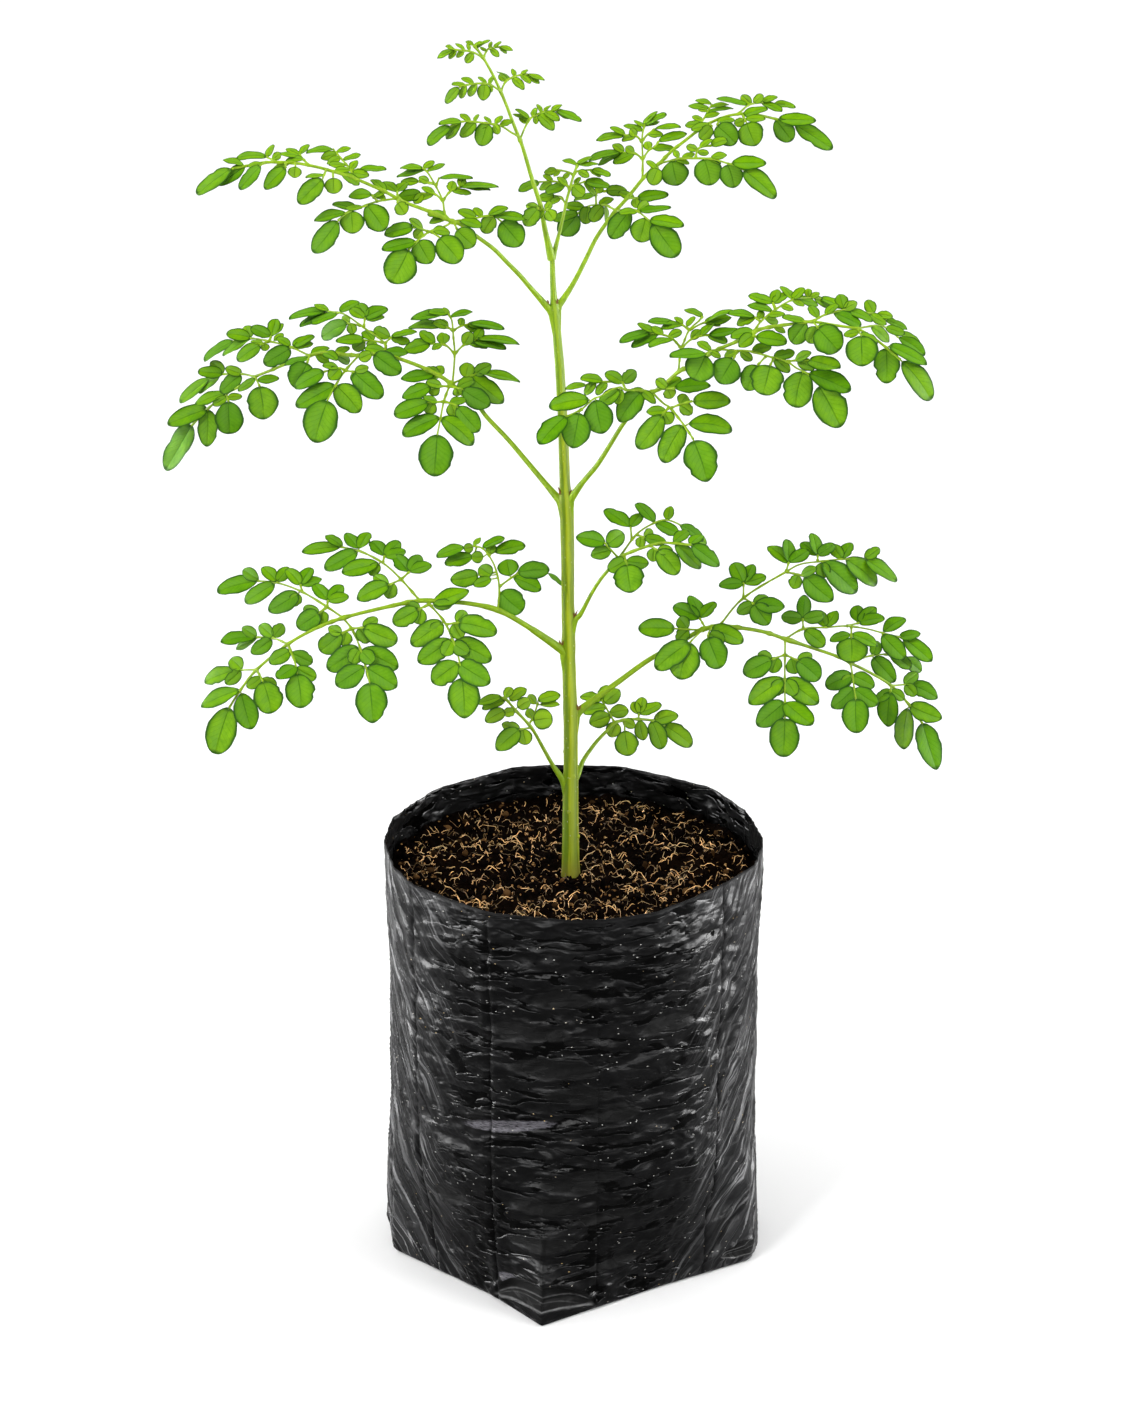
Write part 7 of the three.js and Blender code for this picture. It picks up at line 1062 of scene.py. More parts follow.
def fibre_piece():
    """Loose coir fibres, each a thin curved run over the soil."""
    rng = random.Random(FIBRE_SEED)
    skin = Skin()
    for _ in range(FIBRES):
        x, y = spot_on_soil(rng)
        length = rng.choice([rng.uniform(2.5, 6), rng.uniform(4, 9), rng.uniform(7, 14)])
        way = rng.uniform(0, 2 * PI)
        bend = rng.uniform(-1.5, 1.5)
        wriggle = rng.uniform(0.2, 0.9)
        phase = rng.uniform(0, 6)
        lift = rng.choice([0.2, 0.5, 1.0, 1.8])
        steps = 6
        run = []
        for s in range(steps + 1):
            t = s / steps
            heading = way + bend * (t - 0.5) + wriggle * math.sin(t * 7 + phase)
            if s:
                x += math.cos(heading) * length / steps
                y += math.sin(heading) * length / steps
            if math.hypot(x, y) > FIBRE_REACH or math.hypot(x - STEM_X, y) < 5.8:
                break
            run.append((x, y, soil_height(x, y) + 0.25 + lift * math.sin(PI * t) + 0.3 * math.sin(t * 9 + phase)))
        if len(run) < 3:
            continue
        thick = rng.uniform(0.09, 0.18)
        radii = [thick * (0.5 + 0.6 * math.sin(PI * (0.12 + 0.8 * s / steps))) for s in range(len(run))]
        points, faces, places = tube_parts(run, radii, 3)
        skin.add(points, faces, 0, places, (rng.uniform(-1, 1), rng.random()))
    return skin.piece("coir_fibres", [fibre_material()])


def crumb_piece():
    """Loose crumbs, each a dented ball of twenty faces."""
    rng = random.Random(CRUMB_SEED)
    skin = Skin()
    q = (1 + 5**0.5) / 2
    corners = np.array([
        (-1, q, 0), (1, q, 0), (-1, -q, 0), (1, -q, 0), (0, -1, q), (0, 1, q),
        (0, -1, -q), (0, 1, -q), (q, 0, -1), (q, 0, 1), (-q, 0, -1), (-q, 0, 1)]) / 1.9
    for _ in range(CRUMBS):
        x, y = spot_on_soil(rng, 0.985)
        size = rng.choice([rng.uniform(0.4, 0.9), rng.uniform(0.6, 1.4), rng.uniform(1.0, 2.3)])
        scale = np.array([rng.uniform(0.6, 1.3) for _ in range(3)]) * size
        spin = rng.uniform(0, 2 * PI)
        c, s = math.cos(spin), math.sin(spin)
        shape = corners * np.array([[rng.uniform(0.8, 1.2)] for _ in range(12)]) * scale
        shape = np.stack([shape[:, 0] * c - shape[:, 1] * s, shape[:, 0] * s + shape[:, 1] * c, shape[:, 2]], -1)
        shape = shape + (x, y, soil_height(x, y) + 0.25 * size)
        skin.add(shape, BALL_FACES, 0, None, (rng.uniform(-1, 1), rng.random()))
    return skin.piece("soil_crumbs", [soil_material()])


# Stem

def stem_middle(height):
    return float(np.interp(height, [row[0] for row in STEM], [row[1] for row in STEM]))


def stem_radius(height):
    return float(np.interp(height, [row[0] for row in STEM], [row[2] for row in STEM]))


def stem_piece():
    """The ribbed stem, with its scales, leaf scars and small buds."""
    table = np.array(STEM)
    levels = np.concatenate([np.arange(118, 190, 3.0), np.arange(190, 502.6, 0.95), [502.9, 503.2]])
    smoothed = [np.interp(levels + d, table[:, 0], table[:, k]) for k in (1, 2) for d in (-2.2, -1.1, 0, 1.1, 2.2)]
    middle, radius = np.mean(smoothed[:5], 0), np.mean(smoothed[5:], 0)
    radius[-2:] *= (0.8, 0.4)
    sides = 44
    around = np.linspace(0, 2 * PI, sides, endpoint=False)
    a, h = around[None, :], levels[:, None]
    shape = 1 + 0.028 * np.cos(5 * a + h / 34) + 0.016 * np.cos(8 * a - h / 21 + 1)
    shape = shape + 0.02 * waves(a / (2 * PI) * 9, h / 7, 9, 81) + 0.012 * waves(a / (2 * PI) * 20, h / 2.2, 20, 82)
    shape = shape * (1 + 0.12 * smooth(12, 199 - h))
    r = radius[:, None] * shape
    points = np.stack([middle[:, None] + r * np.cos(a), r * np.sin(a), h + 0 * a], -1).reshape(-1, 3)
    places = np.stack([a + 0 * h, h / 10 + 0 * a], -1).reshape(-1, 2)
    skin = Skin()
    skin.add(points, tube_faces(len(levels), sides), 0, places)
    for x0, z0, x1, z1 in SCALES:
        run = [(x0 + (x1 - x0) * t - (x1 - x0) * 0.3 * math.sin(PI * t), -1.6 - 0.8 * t, z0 + (z1 - z0) * t)
               for t in (0, 0.2, 0.4, 0.6, 0.8, 1)]
        ring, faces, spots = tube_parts(run, [0.6, 0.62, 0.52, 0.4, 0.26, 0.07], 8)
        skin.add(ring, faces, 1, spots)
    for height, degrees, size in SCARS:
        angle = math.radians(degrees)
        way = np.array([math.cos(angle), math.sin(angle), 0])
        base = np.array([stem_middle(height), 0, height]) + way * (stem_radius(height) - 0.35)
        run = [base + way * 0.75 * size * t + np.array([0, 0, 1.5 * size * t]) for t in (0, 0.4, 0.75, 1)]
        ring, faces, spots = tube_parts(run, [0.9 * size, 0.8 * size, 0.45 * size, 0.1], 8)
        skin.add(ring, faces, 0, [(degrees / 57.3, height / 10)] * len(ring))
    return skin.piece("stem_skin", [stem_material(), scale_material()], sharp=70)


# Fronds

def space_point(x, z, near):
    """The point seen at x, z on the upright plane, this much nearer to the viewer."""
    p = np.array([x, 0.0, z])
    return p + unit(VIEWER - p) * near


def pairs_of(numbers):
    """The x, z pairs in a flat list."""
    return [(numbers[i], numbers[i + 1]) for i in range(0, len(numbers), 2)]


def nearest_on(path, x, z):
    """The nearest place on the path as seen: gap, x, z, near."""
    best = None
    for a, b in zip(path, path[1:]):
        dx, dz = b[0] - a[0], b[1] - a[1]
        t = min(1, max(0, ((x - a[0]) * dx + (z - a[1]) * dz) / (dx * dx + dz * dz)))
        px, pz = a[0] + dx * t, a[1] + dz * t
        gap = math.hypot(x - px, z - pz)
        if best is None or gap < best[0]:
            best = (gap, px, pz, a[2] + (b[2] - a[2]) * t)
    return best


def laid_path(pairs, start, end):
    """Adds to each pair how near it is, evenly from start to end."""
    lengths = [0]
    for a, b in zip(pairs, pairs[1:]):
        lengths.append(lengths[-1] + math.hypot(b[0] - a[0], b[1] - a[1]))
    return [(x, z, start + (end - start) * s / lengths[-1]) for (x, z), s in zip(pairs, lengths)]


def leaf_pose(root, foot, tip, seen):
    """Where a leaflet lies, turned about its length so that it looks as wide as it is seen."""
    along = tip - foot
    length = np.linalg.norm(along)
    along = along / length
    sight = unit(VIEWER - foot)
    sight = unit(sight - along * sight.dot(along))
    across = np.cross(along, sight)
    width = max(seen, min(0.56 * length, seen / 0.36))
    cos = seen / width
    sin = math.sqrt(max(0, 1 - cos * cos))
    face = sight * cos + across * (sin if across[2] > 0 else -sin)
    wide = np.cross(along, face)
    shape = OUTLINES["small" if length < 13 else "large" if length > 18 else "middle"]
    rim, back = [foot + wide * 0.4], [foot - wide * 0.4]
    for share, half in shape:
        middle = foot + along * length * share
        if half == 0:
            rim.append(middle)
        else:
            rim.append(middle + wide * half * width / 2)
            back.insert(0, middle - wide * half * width / 2)
    rim = np.array(rim + back)
    return {"root": root, "foot": foot, "face": face, "wide": wide, "along": along, "length": length, "width": width,
            "rim": rim, "low": rim.min(0), "high": rim.max(0)}


def run_pierces(start, end, rim):
    """Whether the straight run goes through the flat shape inside the rim."""
    run = end - start
    for k in range(1, len(rim) - 1):
        e1, e2 = rim[k] - rim[0], rim[k + 1] - rim[0]
        h = np.cross(run, e2)
        det = e1.dot(h)
        if abs(det) < 1e-9:
            continue
        s = start - rim[0]
        u = s.dot(h) / det
        if u < 0 or u > 1:
            continue
        q = np.cross(s, e1)
        v = run.dot(q) / det
        if v < 0 or u + v > 1:
            continue
        if 0 <= e2.dot(q) / det <= 1:
            return True
    return False


def rims_cross(p, q):
    """Whether two leaflets cut through each other."""
    if (p["low"] > q["high"]).any() or (q["low"] > p["high"]).any():
        return False
    for one, other in ((p["rim"], q["rim"]), (q["rim"], p["rim"])):
        for i in range(len(one)):
            if run_pierces(one[i], one[(i + 1) % len(one)], other):
                return True
    return False


def blade_faces():
    """Faces of a leaf blade: the foot, the tip, the front rows with both rims, and the back rows between them."""
    m = 2 * HALF + 1

    def front(i, j):
        return 2 + i * m + j

    def back(i, j):
        if j in (0, m - 1):
            return front(i, j)
        return 2 + ROWS * m + i * (m - 2) + j - 1

    faces = []
    for j in range(m - 1):
        for i in range(ROWS - 1):
            faces.append((front(i, j), front(i, j + 1), front(i + 1, j + 1), front(i + 1, j)))
            faces.append((back(i, j), back(i + 1, j), back(i + 1, j + 1), back(i, j + 1)))
        faces.append((0, front(0, j + 1), front(0, j)))
        faces.append((0, back(0, j), back(0, j + 1)))
        faces.append((1, front(ROWS - 1, j), front(ROWS - 1, j + 1)))
        faces.append((1, back(ROWS - 1, j + 1), back(ROWS - 1, j)))
    return faces


BLADE_FACES = blade_faces()


def add_blade(skin, pose, rng, youth):
    """One leaflet on its thin stalk: folded along the midrib, a little curled and wavy, with notched sides."""
    # From 0 for leaflets over 19 mm to 1 for those under 8 mm
    small = min(1, max(0, (19 - pose["length"]) / 11))
    length, width = pose["length"] * (1.02 + 0.12 * small), pose["width"] * (1.03 + 0.26 * small)
    skew, full = rng.uniform(0.82, 1.1), rng.uniform(0.47, 0.62)
    u, v = STEPS[:, None], SPREAD[None, :]
    half = np.sin(PI * u**skew) ** full * (width / 2) * np.ones_like(v)
    for sign in (-1, 1):
        if rng.random() < 0.6:
            depth, where = rng.choice([rng.uniform(0.04, 0.12), rng.uniform(0.08, 0.2)]), rng.uniform(0.32, 0.74)
            half = np.where(v * sign > 0, half * (1 - depth * np.exp(-((u - where) / 0.06) ** 2)), half)
    half = half * (1 + 0.018 * np.sin(u * rng.uniform(14, 24) + rng.uniform(0, 6) + v))
    fold = math.tan(math.radians(rng.uniform(6, 17)))
    curl = rng.uniform(-0.08, 0.03)
    ripple, phase = rng.uniform(0.012, 0.035) * width, rng.uniform(0, 6)
    y = half * v
    rise = fold * np.abs(y) - 0.5 * fold * y * y / (width / 2 + 0.1) - curl * length * (u * u - u * 0.35)
    rise = rise + ripple * v * v * np.sin(u * 9 + phase + 2 * v)
    rise = rise + rng.uniform(0.02, 0.07) * length * np.sin(PI * u)
    twist = rng.uniform(-0.12, 0.12)
    rise = rise + twist * y * u
    bow = rng.uniform(-0.035, 0.035) * length * np.sin(PI * u)
    thick = BLADE_THICK * np.sqrt(np.maximum(0, 1 - v * v)) * np.minimum(1, half / 1.2)
    rib = np.abs(v) < 0.01
    foot, along, wide, face = pose["foot"], pose["along"], pose["wide"], pose["face"]

    def at(uu, yy, zz):
        return foot + along * (length * uu)[..., None] + wide * yy[..., None] + face * zz[..., None]

    uu = u + 0 * v
    front = at(uu, y + bow, rise + thick - np.where(rib, 0.09, 0))
    behind = at(uu, y + bow, rise - thick - np.where(rib, 0.16, 0))
    tip_rise = -curl * length * 0.65
    ends = np.array([foot, foot + along * length + face * tip_rise])
    points = np.concatenate([ends, front.reshape(-1, 3), behind[:, 1:-1].reshape(-1, 3)])
    flat = np.stack([uu, 0.5 + 0.5 * v + 0 * u], -1)
    places = np.concatenate([[[0, 0.5], [1, 0.5]], flat.reshape(-1, 2), flat[:, 1:-1].reshape(-1, 2)])
    tone = rng.uniform(-1, 1) - 0.9 * small
    skin.add(points, BLADE_FACES, 0, places, (tone, youth))
    stalk = pose["foot"] - pose["root"]
    reach = np.linalg.norm(stalk)
    sag = np.array([0, 0, -0.04 * reach])
    run = [pose["root"], pose["root"] + stalk * 0.35 + sag, pose["root"] + stalk * 0.7 + sag,
           foot - face * 0.05, foot + along * length * 0.14 - face * 0.12]
    if reach < 0.6:
        run = [pose["root"] - along * 0.3, foot - face * 0.05, foot + along * length * 0.14 - face * 0.12]
    thin = min(0.42, 0.26 + 0.012 * length)
    radii = np.interp(np.linspace(0, 1, len(run)), [0, 0.2, 0.8, 1], [thin * 1.25, thin, thin * 0.85, 0.1])
    ring, faces, spots = tube_parts(run, radii, 6)
    skin.add(ring, faces, 1, spots, (tone, youth))


def rounded(points, steps):
    """A smooth curve through points."""
    points = [np.asarray(p, float) for p in points]
    if len(points) < 3:
        return [points[0] + (points[-1] - points[0]) * k / (2 * steps) for k in range(2 * steps + 1)]
    padded = [2 * points[0] - points[1]] + points + [2 * points[-1] - points[-2]]
    out = []
    for i in range(1, len(padded) - 2):
        p0, p1, p2, p3 = padded[i - 1:i + 3]
        for k in range(steps):
            t = k / steps
            out.append(0.5 * (2 * p1 + (p2 - p0) * t + (2 * p0 - 5 * p1 + 4 * p2 - p3) * t * t
                              + (3 * p1 - p0 - 3 * p2 + p3) * t**3))
    out.append(points[-1])
    return out


def add_stalk(skin, path, thick, thin, joints, youth, from_stem):
    """A tapering stalk that swells at its joints, and at its foot where it grows from the stem."""
    spine = rounded([space_point(*p) for p in path], 5)
    if from_stem:
        add_leaf_base(skin, spine, thick, youth)
    lengths = [0.0]
    for a, b in zip(spine, spine[1:]):
        lengths.append(lengths[-1] + float(np.linalg.norm(b - a)))
    total = lengths[-1]
    joint_places = []
    for joint in joints:
        gaps = [float(np.linalg.norm(p - joint)) for p in spine]
        joint_places.append(lengths[gaps.index(min(gaps))])
    radii = []
    for s in lengths:
        r = thick + (thin - thick) * (s / total) ** 0.8
        swell = sum(0.22 * math.exp(-(((s - q) / 0.9) ** 2)) for q in joint_places)
        if from_stem:
            r *= 1.14
            swell += 0.5 * math.exp(-((s / 9.0) ** 2)) + 0.12 * math.exp(-((s / 30.0) ** 2))
        radii.append(r * (1 + min(swell, 0.65)))
    ring, faces, places = tube_parts(spine, radii, 8)
    youths = [youth + 0.35 * (s / total) for s in lengths for _ in range(8)]
    skin.add(ring, faces, 1, places, [(0.0, y) for y in youths])


def add_leaf_base(skin, spine, thick, youth):
    """The swollen foot of a leaf stalk, which runs down the stem's side as a ridge."""
    start = spine[0]
    height = float(start[2])
    way = spine[min(4, len(spine) - 1)] - start
    flat = np.array([way[0], way[1], 0.0])
    if np.linalg.norm(flat) < 0.2 or height > BASE_LIMIT:
        return
    flat = unit(flat)
    radius = stem_radius(height)
    clear = [k for k, p in enumerate(spine) if math.hypot(p[0] - stem_middle(p[2]), p[1]) > radius * 1.05]
    if not clear or clear[0] + 4 >= len(spine):
        return
    leave = clear[0]
    drop = 24 * min(1, thick / 1.4)
    top = float(spine[leave][2]) - 2.2
    run = []
    for t, out_share in ((0, 0.5), (0.3, 0.62), (0.6, 0.76), (0.85, 0.9), (1, 0.98)):
        z = top - drop * (1 - t)
        run.append(np.array([stem_middle(z), 0, z]) + flat * radius * out_share)
    run += [spine[leave] * 0.5 + spine[leave + 1] * 0.5, spine[leave + 4]]
    run = rounded(run, 3)
    t = np.linspace(0, 1, len(run))
    radii = np.interp(t, [0, 0.3, 0.6, 0.8, 1], [thick * 0.4, thick * 0.9, thick * 1.3, thick * 1.6, thick * 1.2])
    ring, faces, places = tube_parts(run, radii, 10)
    skin.add(ring, faces, 1, places, (0.0, youth))


def stalk_paths(frond):
    """The rachis and the side stalks: path, leaflets, where it starts on another path, radius at both ends."""
    thick, thin = frond["girth"]
    main = laid_path(pairs_of(frond["rachis"]), *frond["near"])
    paths = [(main, frond["leaves"], None, thick / 2, max(0.5, thin / 2))]
    for reach, run, leaves in frond["sprays"]:
        pairs = pairs_of(run)
        start = min((nearest_on(path, *pairs[0]) for path, *_ in paths), key=lambda place: place[0])
        pairs[0] = (start[1], start[2])
        paths.append((laid_path(pairs, start[3], start[3] + reach), leaves, start, 0.5, 0.4))
    return paths


def is_clear(pose, poses, stalks):
    """Whether the leaflet keeps out of the other leaflets and the stalks."""
    if any(rims_cross(pose, other) for other in poses):
        return False
    return not any(run_pierces(a, b, pose["rim"]) for a, b in stalks
                   if (np.minimum(a, b) < pose["high"]).all() and (np.maximum(a, b) > pose["low"]).all())


def leaf_poses(paths, least):
    """The leaflets' poses. The larger ones come first, and each is bent clear of those already there if it can be."""
    stalks, poses = [], []
    for path, *_ in paths:
        spine = [space_point(*p) for p in path]
        stalks += list(zip(spine, spine[1:]))
    for big in (True, False):
        for k, (path, leaves, *_) in enumerate(paths):
            last, before = space_point(*path[-1]), space_point(*path[-2])
            for x0, z0, x1, z1, seen in leaves:
                dz, length = z1 - z0, math.hypot(x1 - x0, z1 - z0)
                if (length * seen >= least) != big:
                    continue
                _, px, pz, near = nearest_on(path, x0, z0)
                root = space_point(px, pz, near)
                if np.linalg.norm(root - last) < 0.5:
                    root = last + unit(before - last) * 0.4
                foot = space_point(x0, z0, near)
                tip_near = near + (-1.1 * dz if dz > 0 else -0.25 * dz)
                for bend in BENDS:
                    pose = leaf_pose(root, foot, space_point(x1, z1, tip_near + bend * length), seen)
                    if is_clear(pose, poses, stalks):
                        break
                else:
                    pose = leaf_pose(root, foot, space_point(x1, z1, tip_near), seen)
                pose["path"] = k
                poses.append(pose)
    return poses


def frond_piece(frond, rng):
    """One frond. Higher fronds and small leaflets are yellower. Those at the plant's foot get painted light: their
    leaflets are made paler and yellower.
    """
    paths = stalk_paths(frond)
    poses = leaf_poses(paths, frond["least"])
    skin = Skin()
    height = np.mean([p["foot"][2] for p in poses])
    age = float(np.clip((height - 250) / 350, 0, 1))
    for k, (path, _, start, first, end) in enumerate(paths):
        joints = [p["root"] for p in poses if p["path"] == k]
        joints += [space_point(*s[1:]) for _, _, s, _, _ in paths if s]
        add_stalk(skin, path, first, end, joints, 0.25 + 0.5 * age, start is None)
    # Painted light: leaflets of the fronds at the plant's foot are lifted to a paler, yellower colour
    pale = 0.4 if frond["name"].startswith("frond_base") else 0.0
    for pose in poses:
        small = float(np.clip((13 - pose["length"]) / 9, 0, 1))
        add_blade(skin, pose, rng, 0.25 * age + 0.45 * small + 0.1 * rng.random() + pale)
    return skin.piece("leaves_" + frond["name"][6:], [leaf_material(), stalk_material()], sharp=50)


# Materials

class Graph:
    """Short ways to write node graphs."""

    def __init__(self, tree):
        self.nodes, self.links = tree.nodes, tree.links

    def put(self, socket, value):
        """Links another socket, or sets a value."""
        if isinstance(value, bpy.types.NodeSocket):
            self.links.new(value, socket)
        else:
            if socket.type == "RGBA" and len(value) == 3:
                value = (*value, 1)
            socket.default_value = value

    def fill(self, node, inputs):
        """Links or sets a node's inputs, by number or name."""
        for key, value in inputs.items():
            self.put(node.inputs[key], value)
        return node

    def add(self, kind, inputs):
        """A new node with these inputs."""
        return self.fill(self.nodes.new("ShaderNode" + kind), inputs)

    def math(self, operation, a, b=0.0):
        node = self.nodes.new("ShaderNodeMath")
        node.operation = operation
        return self.fill(node, {0: a, 1: b}).outputs[0]

    def plus(self, a, b):
        return self.math("ADD", a, b)

    def minus(self, a, b):
        return self.math("SUBTRACT", a, b)

    def times(self, a, b):
        return self.math("MULTIPLY", a, b)

    def most(self, a, b):
        return self.math("MAXIMUM", a, b)

    def size(self, a):
        """The value without its sign."""
        return self.math("ABSOLUTE", a)

    def mix(self, factor, a, b):
        """From colour a to colour b as the factor goes from 0 to 1."""
        node = self.nodes.new("ShaderNodeMix")
        node.data_type = "RGBA"
        return self.fill(node, {0: factor, 6: a, 7: b}).outputs[2]

    def ramp(self, value, low, high, out_low=0.0, out_high=1.0):
        """A soft rise from low to high."""
        node = self.nodes.new("ShaderNodeMapRange")
        node.interpolation_type = "SMOOTHSTEP"
        return self.fill(node, {0: value, 1: low, 2: high, 3: out_low, 4: out_high}).outputs[0]

    def noise(self, where, scale, detail=3.0, rough=0.55, distort=0.0):
        inputs = {"Vector": where, "Scale": scale, "Detail": detail, "Roughness": rough, "Distortion": distort}
        return self.add("TexNoise", inputs).outputs[0]

    def cells(self, where, scale):
        """Distance to the middle of the nearest cell, and a random number for each cell."""
        node = self.add("TexVoronoi", {"Vector": where, "Scale": scale})
        return node.outputs["Distance"], self.parts(node.outputs["Color"])[0]

    def place(self):
        """The place on the pattern."""
        node = self.nodes.new("ShaderNodeUVMap")
        node.uv_map = "pattern"
        return node.outputs[0]

    def own(self):
        """The place in the piece's own coordinates, in metres."""
        return self.nodes.new("ShaderNodeTexCoord").outputs["Object"]

    def stretched(self, where, scale, angle=0.0):
        return self.add("Mapping", {"Vector": where, "Scale": scale, "Rotation": (0, 0, angle)}).outputs[0]

    def parts(self, where):
        return self.add("SeparateXYZ", {0: where}).outputs

    def word(self, name):
        """A value that the mesh carries for each vertex."""
        node = self.nodes.new("ShaderNodeAttribute")
        node.attribute_name = name
        return node.outputs["Fac"]

    def surface(self, shader, colour, rough, specular):
        self.fill(shader, {"Base Color": colour, "Roughness": rough, "Specular IOR Level": specular})

    def bump(self, shader, height, strength, distance):
        node = self.add("Bump", {"Strength": strength, "Distance": distance, "Height": height})
        self.put(shader.inputs["Normal"], node.outputs[0])


def new_material(name):
    """A new material, its node graph and its shader."""
    material = bpy.data.materials.new(name + "_look")
    material.use_nodes = True
    return material, Graph(material.node_tree), material.node_tree.nodes["Principled BSDF"]


def grey(level):
    """A colour without a hue."""
    return (level, level, level)


def side_strands(g, where, u, v, facing):
    """Long strands that slant towards the middle: the strands, which set the painted sheen and the bump of the sides,
    their ridges, and thin bright lines of painted highlight.
    """
    patchy = g.ramp(g.noise(g.stretched(where, (1, 0.7, 1), 0.4), 2.6, 3.0), 0.36, 0.62)
    lean = g.times(g.ramp(facing, -0.02, 0.02, 0.8, -0.8), v)
    sway = g.times(g.noise(g.stretched(where, (1, 0.8, 1)), 1.7, 2.0), 0.3)
    slanted = g.add("CombineXYZ", {0: g.plus(g.plus(u, lean), sway), 1: g.times(v, 0.14)}).outputs[0]
    strand = g.noise(slanted, 15.0, 2.5, 0.55, 0.5)
    ridge = g.size(g.minus(g.noise(slanted, 9.0, 2.0, 0.5, 0.6), 0.5))
    thin = g.size(g.minus(g.noise(slanted, 17.0, 1.0, 0.5, 0.4), 0.48))
    line = g.most(g.ramp(ridge, 0.028, 0.0), g.times(g.ramp(thin, 0.02, 0.0), 0.5))
    line = g.times(line, g.ramp(strand, 0.36, 0.6))
    return strand, ridge, g.times(line, g.plus(patchy, 0.2))


def rubbed_and_reflecting_patches(g, where, u, v):
    """How strongly the film is rubbed, which is also where a painted reflection of the glossy fold lies."""
    spots = []
    for cu, cv, wide, high, tilt in RUBBED_REFLECTIONS:
        x = g.math("DIVIDE", g.minus(u, cu), wide)
        y = g.math("DIVIDE", g.minus(v, cv), high)
        y = g.minus(y, g.times(x, tilt * wide / high))
        r = g.plus(g.times(x, x), g.times(y, y))
        frayed = g.plus(r, g.times(g.noise(g.stretched(where, (1, 3, 1)), 40.0, 4.0), 0.9))
        spots.append(g.ramp(frayed, 1.05, 1.5, 1.0, 0.0))
    streaks = g.noise(g.stretched(where, (2, 12, 1), 0.25), 14.0, 4.0, 0.7)
    return g.times(g.most(*spots), g.ramp(streaks, 0.3, 0.62))


def painted_glint_flecks(g, where):
    """Tiny bright specks of three sizes, painted as glints."""
    glint_flecks = []
    for scale, angle, size, share, stretch in GLINT_FLECKS:
        distance, chance = g.cells(g.stretched(where, (1, stretch, 1), angle), scale)
        glint_flecks.append(g.times(g.math("LESS_THAN", distance, size), g.math("GREATER_THAN", chance, share)))
    return g.most(g.most(glint_flecks[0], glint_flecks[1]), glint_flecks[2])


def pocket_shade_and_highlights(g, where, u, v, colour):
    """Painted shade inside the corner pockets, and painted highlights on the folds seen in them and on their lit
    lower lips.
    """
    for degrees, height, wide, high, _, sink in POCKETS:
        x = g.math("DIVIDE", g.minus(u, degrees / 360 * PATTERN_ROUND), wide / PATTERN_UNIT)
        square = g.times(x, x)
        y = g.plus(g.minus(g.times(v, PATTERN_UNIT), height), g.times(square, sink))
        y = g.math("DIVIDE", y, high)
        r = g.math("SQRT", g.plus(square, g.times(y, y)))
        inside = g.ramp(r, 0.92, 0.8)
        pocket_highlight = g.times(g.ramp(g.size(g.minus(r, 0.99)), 0.075, 0.0), g.ramp(y, -0.1, -0.6))
        for rise, tilt, width, power in ((0.10, 0.16, 0.10, 0.7), (0.50, -0.12, 0.07, 0.3)):
            gap = g.size(g.minus(g.plus(y, rise), g.times(x, tilt)))
            pocket_highlight = g.most(pocket_highlight, g.times(g.ramp(gap, width, 0.0), g.times(inside, power)))
        pocket_highlight = g.times(pocket_highlight, g.ramp(g.noise(where, 12.0, 2.0), 0.3, 0.6, 0.3, 1.0))
        # Painted shade fills each pocket, and painted highlights lie on its folds and lower lip
        colour = g.mix(g.ramp(r, 1.0, 0.9), colour, grey(0.0004))
        colour = g.mix(pocket_highlight, colour, grey(0.125))
    return colour


